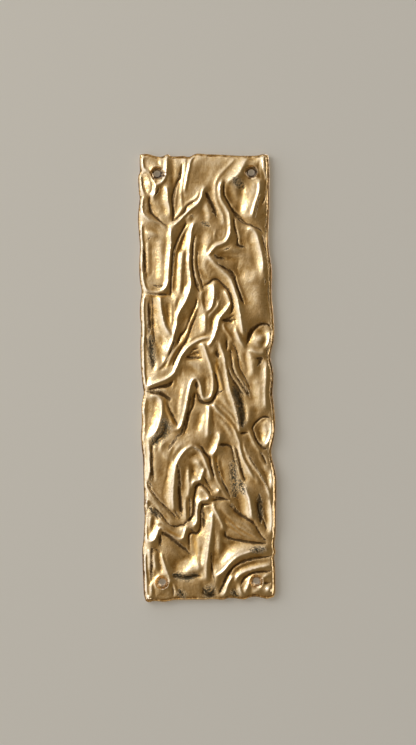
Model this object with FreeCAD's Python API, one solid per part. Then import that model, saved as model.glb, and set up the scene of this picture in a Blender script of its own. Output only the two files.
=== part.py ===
"""Door finger plate: one solid brass casting, 300 mm high.

Its front is one deep, folded relief that looks like molten metal, its four edges are wavy, its back is flat,
and four countersunk screw holes go through its corners.

The plate stands upright: Z is up along its height, X is its width, the back lies in the plane y = 0 and faces
the door (+Y), and the front faces -Y. The origin is the middle of the back.
"""
import FreeCAD
import Part
import Mesh
import math
import os

# the whole plate (mm)
PLATE_WIDTH = 90.5
PLATE_HEIGHT = 300.0

# thickness of the casting, measured forward from the back (mm)
LIP_HEIGHT = 3.0
LIP_WIDTH = 0.8
LIP_CHAMFER = 0.5
FOLD_RISE = 5.5

# how the front rolls down to the lip: the roll's width (mm) and its rise per mm, at the sides and at the ends
SIDE_ROLL = 2.0
SIDE_STEEPNESS = 0.95
END_ROLL = 1.5
END_STEEPNESS = 1.0

# levels in the drawing of the folds: the lip's, and the middle one that the front keeps where nothing is drawn
LIP_LEVEL = 3.0
MIDDLE_LEVEL = 5.6

# screw holes, countersunk for a 4 mm wood screw (mm)
HOLE_FROM_SIDE = 13.75
HOLE_FROM_END = 13.5
HOLE_RADIUS = 2.2
SINK_RADIUS = 4.4
SINK_ANGLE = 90.0
HOLE_SEAT = 5.5
HOLES = [(side * (PLATE_WIDTH / 2 - HOLE_FROM_SIDE), end * (PLATE_HEIGHT / 2 - HOLE_FROM_END))
         for end in (1, -1) for side in (-1, 1)]

# how finely the front is worked out (mm), and how many flat facets it keeps
FIELD_STEP = 0.75
LINE_STEP = 0.4
STRIP = 0.5
OVER_RELAX = 1.7
MESH_STEP = 0.78
FACETS = 9600
FLAT = 0.02

# The drawing of the front, seen from the front: x to the right and z up from the middle, in mm on the drawn size.
LEFT_EDGE = [(-43, 149.5), (-43.2, 143), (-43.1, 138), (-44.3, 134), (-43.9, 124), (-43.5, 120),
             (-44.6, 110), (-44.7, 103), (-44.2, 95.5), (-43.7, 88), (-44.1, 80), (-44.4, 73), (-44, 65),
             (-43, 58), (-44, 50), (-44.3, 42), (-43.7, 35), (-44.1, 25), (-44.3, 19), (-44, 8), (-43.5, 0),
             (-42.8, -6), (-42.3, -10), (-43.2, -14.5), (-44, -20), (-43.9, -30), (-44.5, -38),
             (-44.2, -46), (-43.3, -54), (-43.2, -64), (-43.1, -72), (-42.9, -80), (-43.1, -86),
             (-42.7, -92), (-43.2, -100), (-43.7, -108), (-44.6, -115), (-44.5, -126), (-44.2, -136),
             (-43.9, -144), (-42.8, -149)]
RIGHT_EDGE = [(42.9, 148), (43.6, 141), (43.7, 134), (43.5, 125), (43.4, 114), (42.7, 100), (42.4, 91),
              (43.1, 82), (44.2, 75), (44.6, 68), (44.3, 60), (44.4, 52), (45, 44), (45.5, 36), (45.6, 29),
              (45, 23), (43.4, 17), (42.9, 13), (43.7, 8), (44.7, 3), (44.6, -4), (44, -10), (44.6, -17),
              (45.3, -25), (45.5, -31), (44.9, -39), (43.8, -44), (42.7, -49), (43, -54), (44.6, -61),
              (45.7, -68), (45.7, -80), (45.2, -90), (45.1, -100), (44.7, -107), (43.9, -112),
              (44.7, -117.5), (43.7, -121), (44.2, -127), (44.3, -138), (44.2, -144), (43.2, -147.5)]
TOP_EDGE = [(-43, 149.5), (-38, 149.9), (-33, 148.5), (-28.5, 147.9), (-24.5, 149.5), (-21.5, 148.1),
            (-14, 148.2), (-9.8, 147.7), (-5, 149.7), (2, 149.2), (12, 148.8), (22, 148), (30, 147.8),
            (36, 148), (39.5, 148.8), (42.9, 148)]
BOTTOM_EDGE = [(-42.8, -149), (-40.5, -150), (-36.6, -149.3), (-29.6, -149.9), (-23.3, -148.7),
               (-17.3, -148.7), (-10, -148.6), (-3.5, -148.8), (3, -148.5), (9, -149), (13, -147.9),
               (18, -148.2), (23, -149), (27, -147.6), (31, -147.2), (35.2, -148), (39, -148.7),
               (43.2, -147.5)]

# folds: level of the crest, (width, rise per mm) of its upper left side, the same of its other side, crest line
FOLDS = [
    (7.2, (2.2, 0.62), (1.6, 0.95), [(-41.2, 147), (-41.3, 145), (-40.8, 141.6), (-40.2, 138.9),
        (-37.2, 135.8), (-36.6, 133.3), (-35.3, 131.1), (-33.9, 129.4), (-33.1, 125.8), (-34.3, 122.4),
        (-35, 121)]),
    (6.5, (1.6, 0.62), (1.4, 0.95), [(-42.7, 137), (-43, 132.9), (-42.3, 128.7), (-41, 124.8),
        (-39.8, 122.7)]),
    (7.2, (2.2, 0.62), (1.6, 0.95), [(-24.8, 148.2), (-25.6, 146.5), (-25.6, 143.3), (-25.9, 139.1),
        (-26.4, 135.6), (-27.5, 132.6), (-29.6, 130.9), (-32.2, 129)]),
    (6.5, (2.5, 0.42), (1.2, 0.6), [(-12.2, 146), (-12.4, 141.8), (-13, 137.6), (-13.9, 133.7),
        (-14.6, 128.8), (-15.4, 123.5), (-15, 118), (-14.8, 113.8), (-17.2, 109.8)]),
    (7.3, (2.6, 0.62), (1.4, 0.8), [(-6.3, 148.2), (-8, 146.2), (-9.3, 143), (-9.9, 139.5), (-11.1, 134.9),
        (-11.7, 131.4), (-12.5, 127.1), (-13.3, 123.6)]),
    (7.7, (1.8, 0.62), (1.6, 0.9), [(0.8, 126.6), (0, 126), (-1.2, 123.2), (-1.6, 120.8), (-3.1, 117.6),
        (-4.9, 115.2), (-9.9, 111.5), (-13.9, 107.7), (-16.7, 104.6), (-19.2, 102.5), (-21, 101)]),
    (7.2, (1.9, 0.75), (1.6, 0.8), [(-41.3, 120), (-41.8, 114), (-40.8, 109.5), (-37, 105.8), (-33, 103.9),
        (-30, 103), (-27.5, 101), (-24.8, 98.8)]),
    (7.4, (4.6, 0.62), (1.5, 0.95), [(-24.8, 127), (-24.3, 122.6), (-24.2, 119), (-23.6, 115.5),
        (-22.9, 112), (-22.5, 108.8)]),
    (7.2, (1.9, 0.62), (2.2, 0.95), [(-42.4, 102), (-42.2, 95.8), (-42.3, 90.5), (-42.6, 84.8),
        (-42.7, 79.9), (-42.5, 74.6), (-42, 69.4), (-41.2, 65.2), (-40.1, 61.6), (-38.4, 59.3),
        (-35.5, 58.2), (-32, 58.1), (-29.4, 58.8)]),
    (7.4, (4, 0.62), (1.5, 0.95), [(-29.4, 58.8), (-26.9, 61.3), (-25.2, 64.5), (-24.5, 69), (-24, 74.3),
        (-23.5, 79.5), (-22.9, 84.8), (-22.4, 90.1), (-22.5, 95.4), (-22.1, 99.6)]),
    (8, (2.9, 0.62), (1.6, 0.95), [(-6.9, 103), (-8.6, 98.8), (-9.2, 93.5), (-9.9, 88.2), (-10.4, 82.9),
        (-10.6, 77.6), (-10.7, 72.3), (-10.4, 67), (-10.4, 63.5), (-11.2, 59.6), (-12.4, 56.1), (-14.2, 50),
        (-16.8, 45.4), (-18.8, 40.5), (-19.5, 34.9), (-20.3, 32), (-21.2, 28.6), (-22.3, 24.7),
        (-24.2, 20.1), (-25.9, 15.9)]),
    (5.8, (1.6, 0.46), (1.2, 0.71), [(-6.2, 90), (-6.8, 82), (-6.9, 76), (-6.1, 70), (-4.7, 64),
        (-2.8, 59)]),
    (6.1, (2.6, 0.46), (2.2, 0.71), [(-12.2, 92.6), (-14.7, 84.5), (-15.9, 72.4), (-16.4, 64),
        (-17.2, 56)]),
    (7.7, (2.7, 0.62), (1.8, 0.95), [(12.2, 130.8), (10.7, 126.6), (10.5, 123.4), (11, 119.9),
        (12.3, 116.7), (14, 114.2), (15.4, 111.7), (16.4, 109.2), (16.9, 106.3), (17.2, 102), (17.2, 98.4),
        (16.6, 94.9), (15.3, 92.2), (13.4, 89.7), (10.6, 88.4), (7.7, 87.4), (5.9, 85.7), (4.1, 83.6),
        (2.4, 81.6)]),
    (6.3, (3.4, 0.34), (1.4, 0.25), [(21, 145.6), (18.2, 142.7), (14.8, 139.2), (10.6, 134.8), (8, 129.8),
        (7.5, 125.9), (7.5, 122.4), (8.2, 118.1), (9.2, 114.6), (11.4, 110), (12.4, 107.1), (13, 102.2)]),
    (6, (1.6, 0.46), (1.2, 0.71), [(22, 99), (22.8, 95.5), (23.8, 92)]),
    (8, (3.4, 0.62), (1.5, 0.95), [(2.4, 80.4), (6.3, 75.7), (8.4, 72.5), (10.8, 69.6), (13.2, 67.4),
        (15.3, 65.3), (17, 62.4), (18.3, 59.2), (19.7, 56), (21.1, 53.5), (21.8, 50.3), (22.3, 46.4),
        (23, 42.2), (23.5, 38.7), (24, 35.2), (24.6, 32.1), (25.3, 28.6)]),
    (7, (4, 0.55), (2, 0.8), [(35.5, 131), (36, 126), (34.5, 120.5), (32.8, 115.5), (31.8, 110.5),
        (31.3, 107)]),
    (7, (1.6, 0.62), (1.2, 0.95), [(39.9, 147), (39.9, 144.2), (40.2, 138.9), (41, 136.1), (41.8, 133.2),
        (41.6, 131)]),
    (7.4, (6.5, 0.5), (2.2, 0.8), [(29.5, 99.6), (33, 97.9), (35.1, 94.9), (36, 91.2), (37, 87.6),
        (37.9, 83.7), (38.8, 78.8), (39, 73.5), (38.5, 69.5)]),
    (7.4, (3.3, 0.62), (1.4, 0.95), [(5, 62.5), (5.8, 59), (5.8, 55), (5.3, 51), (4.3, 47.5), (2.7, 45.1),
        (0.8, 44.1)]),
    (7.2, (1.9, 0.62), (1.2, 0.95), [(0.8, 44.1), (-1, 45.2), (-2.1, 48.3), (-2.6, 52.5), (-2.4, 56.5)]),
    (7.8, (2.9, 0.62), (1.6, 0.95), [(13.2, 57.6), (14.8, 54.2), (15.8, 52), (16.3, 49.5), (16.1, 47.6),
        (14.8, 45.9), (13.2, 43.8), (11.3, 41.7), (9.7, 39.6), (8.6, 37.3), (7.9, 34.5), (7.1, 31.4),
        (6, 28.2), (4.7, 25.1), (3.1, 22.6), (1.3, 20.8)]),
    (5.8, (1.7, 0.46), (1.2, 0.71), [(9.5, 52), (8.2, 47.5), (5.2, 43.6), (2.9, 41), (1.8, 38)]),
    (6.3, (6, 0.46), (1.6, 0.71), [(0, 42), (-0.2, 38), (-0.3, 34), (-0.6, 30)]),
    (6, (1.6, 0.46), (1.5, 0.71), [(11.9, 36.5), (12.2, 33.2), (13.9, 30.4), (16, 27.3), (17.7, 24.5)]),
    (6.5, (3, 0.62), (2.4, 0.95), [(19.5, 33), (21, 28.5), (23.3, 23.6), (25.6, 20.2)]),
    (5.9, (1.6, 0.46), (1.2, 0.71), [(18.6, 13), (18.9, 7.5), (20.8, 2), (23.2, -2.2), (25.6, -6.2),
        (28.2, -10.6)]),
    (5.9, (1.6, 0.46), (1.2, 0.71), [(14.8, 12), (15.6, 6.5), (17.2, 1.8), (19.6, -1.6), (22, -5.4),
        (24.4, -9.2), (27, -13)]),
    (7.1, (3.4, 0.62), (1.2, 0.95), [(42.6, 29), (42.6, 26), (42.2, 23.2), (41.2, 20.6), (39.8, 18.2)]),
    (7.2, (3.4, 0.62), (1.5, 0.95), [(28.8, 17.8), (32, 16.4), (35.6, 15.2), (39, 15.6)]),
    (7, (5, 0.62), (2.2, 0.95), [(40.6, 9.5), (40.2, 5), (40.1, 0), (39.6, -6), (39.4, -13), (39.6, -21)]),
    (6.9, (1.9, 0.62), (1.4, 0.95), [(-41.2, 54), (-41.6, 47), (-41.5, 40), (-41.2, 35), (-41.3, 30),
        (-41.9, 24.8), (-42, 19), (-41.8, 10), (-41.8, 4), (-41.4, -1), (-40.8, -6)]),
    (7.6, (4.6, 0.62), (1.6, 0.95), [(-30.2, 54), (-29.9, 50), (-29.3, 44.3), (-28.1, 38), (-26.4, 33.1),
        (-23.9, 29.6), (-22.4, 28.8)]),
    (5.9, (2.4, 0.46), (1.2, 0.71), [(-26, 13), (-27.8, 10.6), (-29.9, 7.9), (-32.5, 5.6)]),
    (6.2, (1.6, 0.46), (1.2, 0.71), [(-5.6, 46.5), (-7.3, 43.2), (-8.8, 39.4), (-10.9, 34.8), (-12.4, 29.9),
        (-14.3, 25.8), (-16.4, 23), (-18.6, 20.6), (-21.1, 17.4), (-22.9, 14.3), (-24.3, 11.5),
        (-26, 7.5)]),
    (7.7, (2.4, 0.62), (1.6, 0.95), [(3.4, 25), (0.4, 26), (-2.9, 25.4), (-6.1, 24), (-9.7, 21.8),
        (-12.5, 19.6), (-14.7, 16.9), (-16.5, 14.5), (-17.6, 12.1), (-19.1, 8.3), (-20.6, 5.2), (-21.6, 3),
        (-23.6, 1), (-26.4, -0.7), (-29.8, -2.2), (-33.3, -3.5), (-37, -4.7), (-39.8, -5.8)]),
    (7.6, (2.4, 0.62), (1.6, 0.95), [(-2.9, 22.6), (-1.2, 20.4), (-0.2, 17.6), (0.7, 14.7), (1.7, 11.8),
        (2.9, 8.3), (3.8, 4), (4.4, 0.5), (4.6, -4), (4.2, -8.3), (3.4, -11.8), (1.9, -14), (0.1, -14.6),
        (-1.8, -14.2), (-3, -12.6), (-3.7, -9.5), (-4.1, -6), (-4.9, -3.2), (-6.4, -1.2), (-8.2, -1.2),
        (-9.6, -2.5), (-10.5, -4.8), (-11.3, -8), (-12, -11.1), (-12.8, -14.6), (-13.5, -18.1),
        (-14.3, -22), (-15.3, -25.9), (-16.2, -28.7), (-17, -31.2), (-18.1, -33.3), (-19.7, -34.7)]),
    (6.1, (1.6, 0.46), (1.6, 0.71), [(6.4, 9), (7.6, 4.8), (8.8, 0.9), (9.5, -3), (10.4, -6.5), (11, -9)]),
    (7.8, (2.2, 0.62), (1.5, 0.95), [(9.2, 22.6), (10.1, 19.5), (11.3, 16.3), (12.1, 13.1), (12.6, 9.9),
        (13.1, 6.8), (13.6, 3.3), (13.9, 0.5), (14.4, -2.1), (15, -5.6), (15.7, -8.7), (16.7, -11.9),
        (17.7, -14.7), (18.5, -17.9), (19.2, -20.7), (19.8, -23.5), (20.3, -26.3), (20.8, -29.2),
        (21.3, -31.6), (21.6, -34.1), (22.1, -36.4)]),
    (7.1, (3.4, 0.62), (1.2, 0.95), [(43, -30.5), (43.2, -35.5), (42.6, -39.5), (41.2, -43.2),
        (39.6, -46)]),
    (6.3, (2, 0.46), (1.2, 0.71), [(28, -36.6), (29.4, -39.5), (30.7, -42.3), (31.9, -44.8), (33.7, -47.9),
        (36, -51.5)]),
    (5.6, (1.6, 0.46), (1.2, 0.71), [(-37, -8.9), (-32, -8.5), (-28, -9), (-24.4, -11.4)]),
    (5.8, (2, 0.46), (1.2, 0.71), [(-28, -15.9), (-26.3, -21.6), (-24.2, -26.5), (-22.6, -30.5)]),
    (6.2, (2.5, 0.46), (1.5, 0.71), [(-29.2, -26), (-27.5, -30), (-25, -33.1), (-22.2, -34.9),
        (-19.7, -34.9)]),
    (7, (7.2, 0.62), (1.8, 0.55), [(-37, -11.6), (-32.5, -12.4), (-30.2, -15.5), (-29.8, -20), (-30.2, -25),
        (-31.5, -30), (-33.5, -35), (-36.5, -40)]),
    (6.5, (2.4, 0.5), (1.2, 0.3), [(-40.4, -10.4), (-41.3, -14.3), (-42, -17.5), (-42.1, -21.4),
        (-42, -26.3), (-41.6, -29.8), (-41.6, -33.4), (-41.8, -36.9), (-42.2, -41), (-42.3, -46)]),
    (7.4, (3.6, 0.6), (1.4, 0.55), [(1.6, -18.4), (1.5, -21), (1.3, -26), (0.8, -31), (0.5, -35),
        (0.4, -40)]),
    (7.1, (2, 0.62), (1.5, 0.95), [(4.2, -18.2), (5.5, -19.8), (7.4, -22.4), (9.9, -25), (12.3, -27.2),
        (14.5, -29.5), (16.8, -32.2), (18.4, -35.4), (19.8, -38.8), (21, -42), (22.4, -46)]),
    (5.9, (1.6, 0.46), (1.2, 0.71), [(8, -18.6), (12, -21.8), (16, -25.8), (18.3, -29.5), (19.6, -33)]),
    (6.7, (3.2, 0.62), (1.6, 0.95), [(-38.9, -44), (-38.6, -52), (-38.6, -58), (-38.8, -63), (-39.8, -68)]),
    (5.9, (1.6, 0.46), (1.2, 0.71), [(-42.3, -46), (-42.1, -52), (-42.1, -60), (-42, -67)]),
    (7.8, (2.2, 0.62), (2.2, 0.95), [(2.4, -67.6), (1.6, -65), (0.6, -61.5), (-0.6, -58), (-2, -54.5),
        (-3.4, -51.3), (-5, -48.8), (-7, -47), (-9.4, -45.8)]),
    (7.8, (4.2, 0.52), (1.6, 0.95), [(-9.4, -45.8), (-12, -46.6), (-14.7, -48.6), (-16.8, -50.8),
        (-18.6, -53.3), (-20, -56.1), (-21, -58.5), (-21.5, -61.3), (-22, -64.1), (-22.3, -67),
        (-22.5, -69.8), (-22.8, -72.6), (-23, -76.1), (-23.1, -79.6), (-23.1, -82.5), (-22.9, -85.3),
        (-22.4, -88.4)]),
    (7.4, (3.8, 0.62), (1.6, 0.95), [(-1.8, -60), (-3, -63.5), (-4.1, -66.5), (-4.8, -68.4), (-6.5, -69.2),
        (-8.4, -69.4), (-9.7, -70.6), (-10.3, -72.7), (-10.6, -75)]),
    (6.1, (2.5, 0.46), (1.9, 0.71), [(-12.6, -60), (-12.7, -67), (-12.5, -74), (-13.2, -80)]),
    (7.6, (2.7, 0.62), (1.5, 0.95), [(-4, -74.4), (-3, -75.3), (-1.2, -76.7), (0.2, -78.9), (0.6, -80.3),
        (0, -81.6), (-1.6, -82.1), (-3.7, -82.2), (-5.5, -83), (-6.6, -85.1), (-7.2, -87.9), (-7.4, -90.7),
        (-7.3, -93.9), (-7.9, -97.2), (-9.6, -99.6)]),
    (6.2, (1.7, 0.46), (1.2, 0.71), [(-14.9, -81), (-14.9, -88), (-14.8, -95)]),
    (6.3, (1.9, 0.46), (1.2, 0.71), [(-42, -69), (-41.3, -71.5), (-40, -74.2), (-38.2, -77.3), (-36.3, -80),
        (-34.2, -82.8), (-31.8, -85.6), (-29, -88), (-26.5, -90)]),
    (6, (1.9, 0.46), (1.2, 0.71), [(-41.5, -77.5), (-39, -80), (-36, -82.8), (-33.4, -85.8), (-31, -89)]),
    (6.1, (1.7, 0.46), (1.2, 0.71), [(-36, -88.4), (-33.8, -90.8), (-31, -94.6)]),
    (6.3, (1.7, 0.46), (1.4, 0.71), [(-34.2, -97.6), (-32.6, -96.8), (-30.7, -97), (-28.7, -98.2),
        (-25.9, -99.9), (-23.8, -100.8)]),
    (7.6, (2, 0.62), (1.4, 0.95), [(-42, -95), (-42.2, -99), (-42.3, -102.9), (-42, -105.7), (-41.2, -108),
        (-39.4, -109.2), (-37.2, -108.8), (-35.7, -107.6), (-34.6, -105.5), (-33.8, -103.1), (-33, -101.1),
        (-31.9, -100.2), (-30.6, -100.7), (-28.8, -101.9), (-26.7, -103.4), (-24.6, -105), (-22.1, -106.7),
        (-20, -107.8), (-18, -107.9), (-16.6, -106.7), (-15.9, -104.6), (-15.3, -102.1), (-14.6, -100.4)]),
    (8.1, (4, 0.6), (1.9, 0.95), [(2.6, -90.5), (2.8, -96), (2.4, -100.7), (1.7, -105), (1, -109.2),
        (0.3, -114.1), (-0.4, -119), (-1.1, -123.6), (-1.4, -127.8), (-1.5, -131.3), (-1.4, -134.6)]),
    (7.4, (1.7, 0.62), (1.2, 0.95), [(3.6, -83.6), (4, -86.9), (5.4, -89.7), (6.8, -92.2), (8.2, -95.3),
        (9.4, -98), (10.2, -101.4)]),
    (6.3, (1.9, 0.46), (1.5, 0.71), [(11.6, -96.6), (16.9, -99.4), (21.8, -100.9), (25.3, -102.5),
        (28.8, -105), (32.3, -107.6), (36.8, -110.4)]),
    (5.9, (1.6, 0.46), (1.2, 0.71), [(12, -91.5), (17, -94.8), (22, -97.2), (26.4, -99.6), (31, -104)]),
    (5.6, (1.6, 0.46), (1.2, 0.71), [(13, -101.5), (18, -104.2), (24, -106), (29.5, -108.6)]),
    (7.6, (7.5, 0.62), (1.5, 0.95), [(24.8, -74), (26, -76.5), (27.4, -79.5), (28.2, -83), (28.9, -87.5),
        (29.3, -91.5), (30, -94.6)]),
    (7.2, (3.7, 0.62), (1.2, 0.95), [(41.4, -82), (42.4, -87.4), (42.6, -90.9), (42.6, -96.2),
        (42.5, -99.5), (42.2, -104)]),
    (7, (3.7, 0.62), (1.2, 0.95), [(42.5, -61.5), (43, -67), (43, -71), (42.5, -76)]),
    (6.7, (1.7, 0.62), (1.2, 0.95), [(27, -53), (28.7, -56.2), (30.4, -59), (32.5, -61.8), (34.6, -64.6),
        (36.7, -68.2), (38.4, -71), (39.7, -74.2), (41, -77.8), (42, -80.6)]),
    (6.7, (2.4, 0.62), (1.8, 0.95), [(21.2, -44), (22.2, -49.2), (23.2, -53.1), (24.9, -57), (26.6, -59.8),
        (28.5, -63.5), (31, -68)]),
    (6.3, (1.7, 0.46), (1.2, 0.71), [(24.2, -44), (25.2, -48), (26.6, -52)]),
    (6.1, (1.6, 0.46), (1.2, 0.71), [(17.2, -46.8), (18.3, -50.6), (19, -53.8), (20, -57.7), (20.8, -61.5),
        (21.8, -65.1), (23.2, -69)]),
    (6.2, (1.6, 0.46), (1.2, 0.71), [(3.3, -54), (3.6, -56), (4.2, -59.5), (5.2, -64.5), (6.5, -68.8),
        (8.2, -72), (9.9, -75.3), (11.6, -78.2), (13.3, -80.4), (15.2, -83.6)]),
    (8.1, (5, 0.62), (1.2, 0.95), [(8.2, -37.5), (8.5, -40.5), (7.9, -43), (7, -46), (5.8, -48.5),
        (4.6, -50.6), (2.8, -52.4)]),
    (7.4, (2.2, 0.62), (1.5, 0.95), [(-31.9, -117.4), (-31, -120), (-30.4, -122.1), (-29.6, -124.6),
        (-28.6, -127.4), (-27.5, -130.3), (-26.3, -132.9), (-25.5, -135.4)]),
    (6.5, (1.6, 0.62), (1.4, 0.95), [(-42.6, -117), (-42.4, -124), (-42.1, -131), (-41.9, -136)]),
    (6.7, (1.7, 0.62), (1.5, 0.95), [(-38.8, -137.6), (-38.5, -141), (-38.6, -145)]),
    (7.8, (2.5, 0.62), (1.8, 0.95), [(38, -114.4), (33.5, -115.4), (29.2, -116.6), (24.9, -118),
        (21.4, -119.2), (18.6, -120.7), (16.1, -122.7), (13.9, -124.9), (11.8, -127.4), (9.6, -129.8),
        (7.1, -131.6), (4.8, -132.8)]),
    (7, (3.4, 0.62), (1.8, 0.95), [(41, -126.6), (37.2, -127), (32.9, -127.7), (29, -128.7), (25.5, -129.7),
        (23.3, -130.6), (21.2, -131.8), (19.4, -133.4), (18, -135.6)]),
    (7.2, (2.2, 0.62), (1.6, 0.95), [(16.4, -132.6), (15.2, -134.2), (13.8, -136.4), (12.7, -138.7),
        (12, -140.8), (11.2, -143.2), (9.6, -145.6)]),
    (6.7, (3.1, 0.62), (1.2, 0.95), [(27.6, -135), (26.8, -138), (25.6, -141), (24.4, -143.6)]),
    (6.5, (2, 0.62), (1.8, 0.95), [(39.8, -132.9), (37.6, -133.4), (35.8, -134.6)]),
    (6.1, (1.6, 0.46), (1.2, 0.71), [(35.4, -141.4), (32.6, -142.8), (29.6, -143.4)]),
    (5.6, (1.6, 0.46), (1.2, 0.71), [(-23.4, -137), (-22.6, -141), (-21, -145)]),
    (6.1, (1.7, 0.46), (1.2, 0.71), [(20.4, -139), (21, -142), (22.4, -146)]),
    (6.8, (2.6, 0.36), (1, 0.45), [(-3, 124.5), (-5.2, 119.8), (-10.8, 116.2), (-15.5, 111),
        (-18.5, 106.5)]),
    (8.2, (6.4, 0.55), (1.8, 0.7), [(28.2, 147.2), (25.5, 143.5), (21, 139.3), (16.7, 134.6),
        (12.4, 130.6)]),
]

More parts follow.
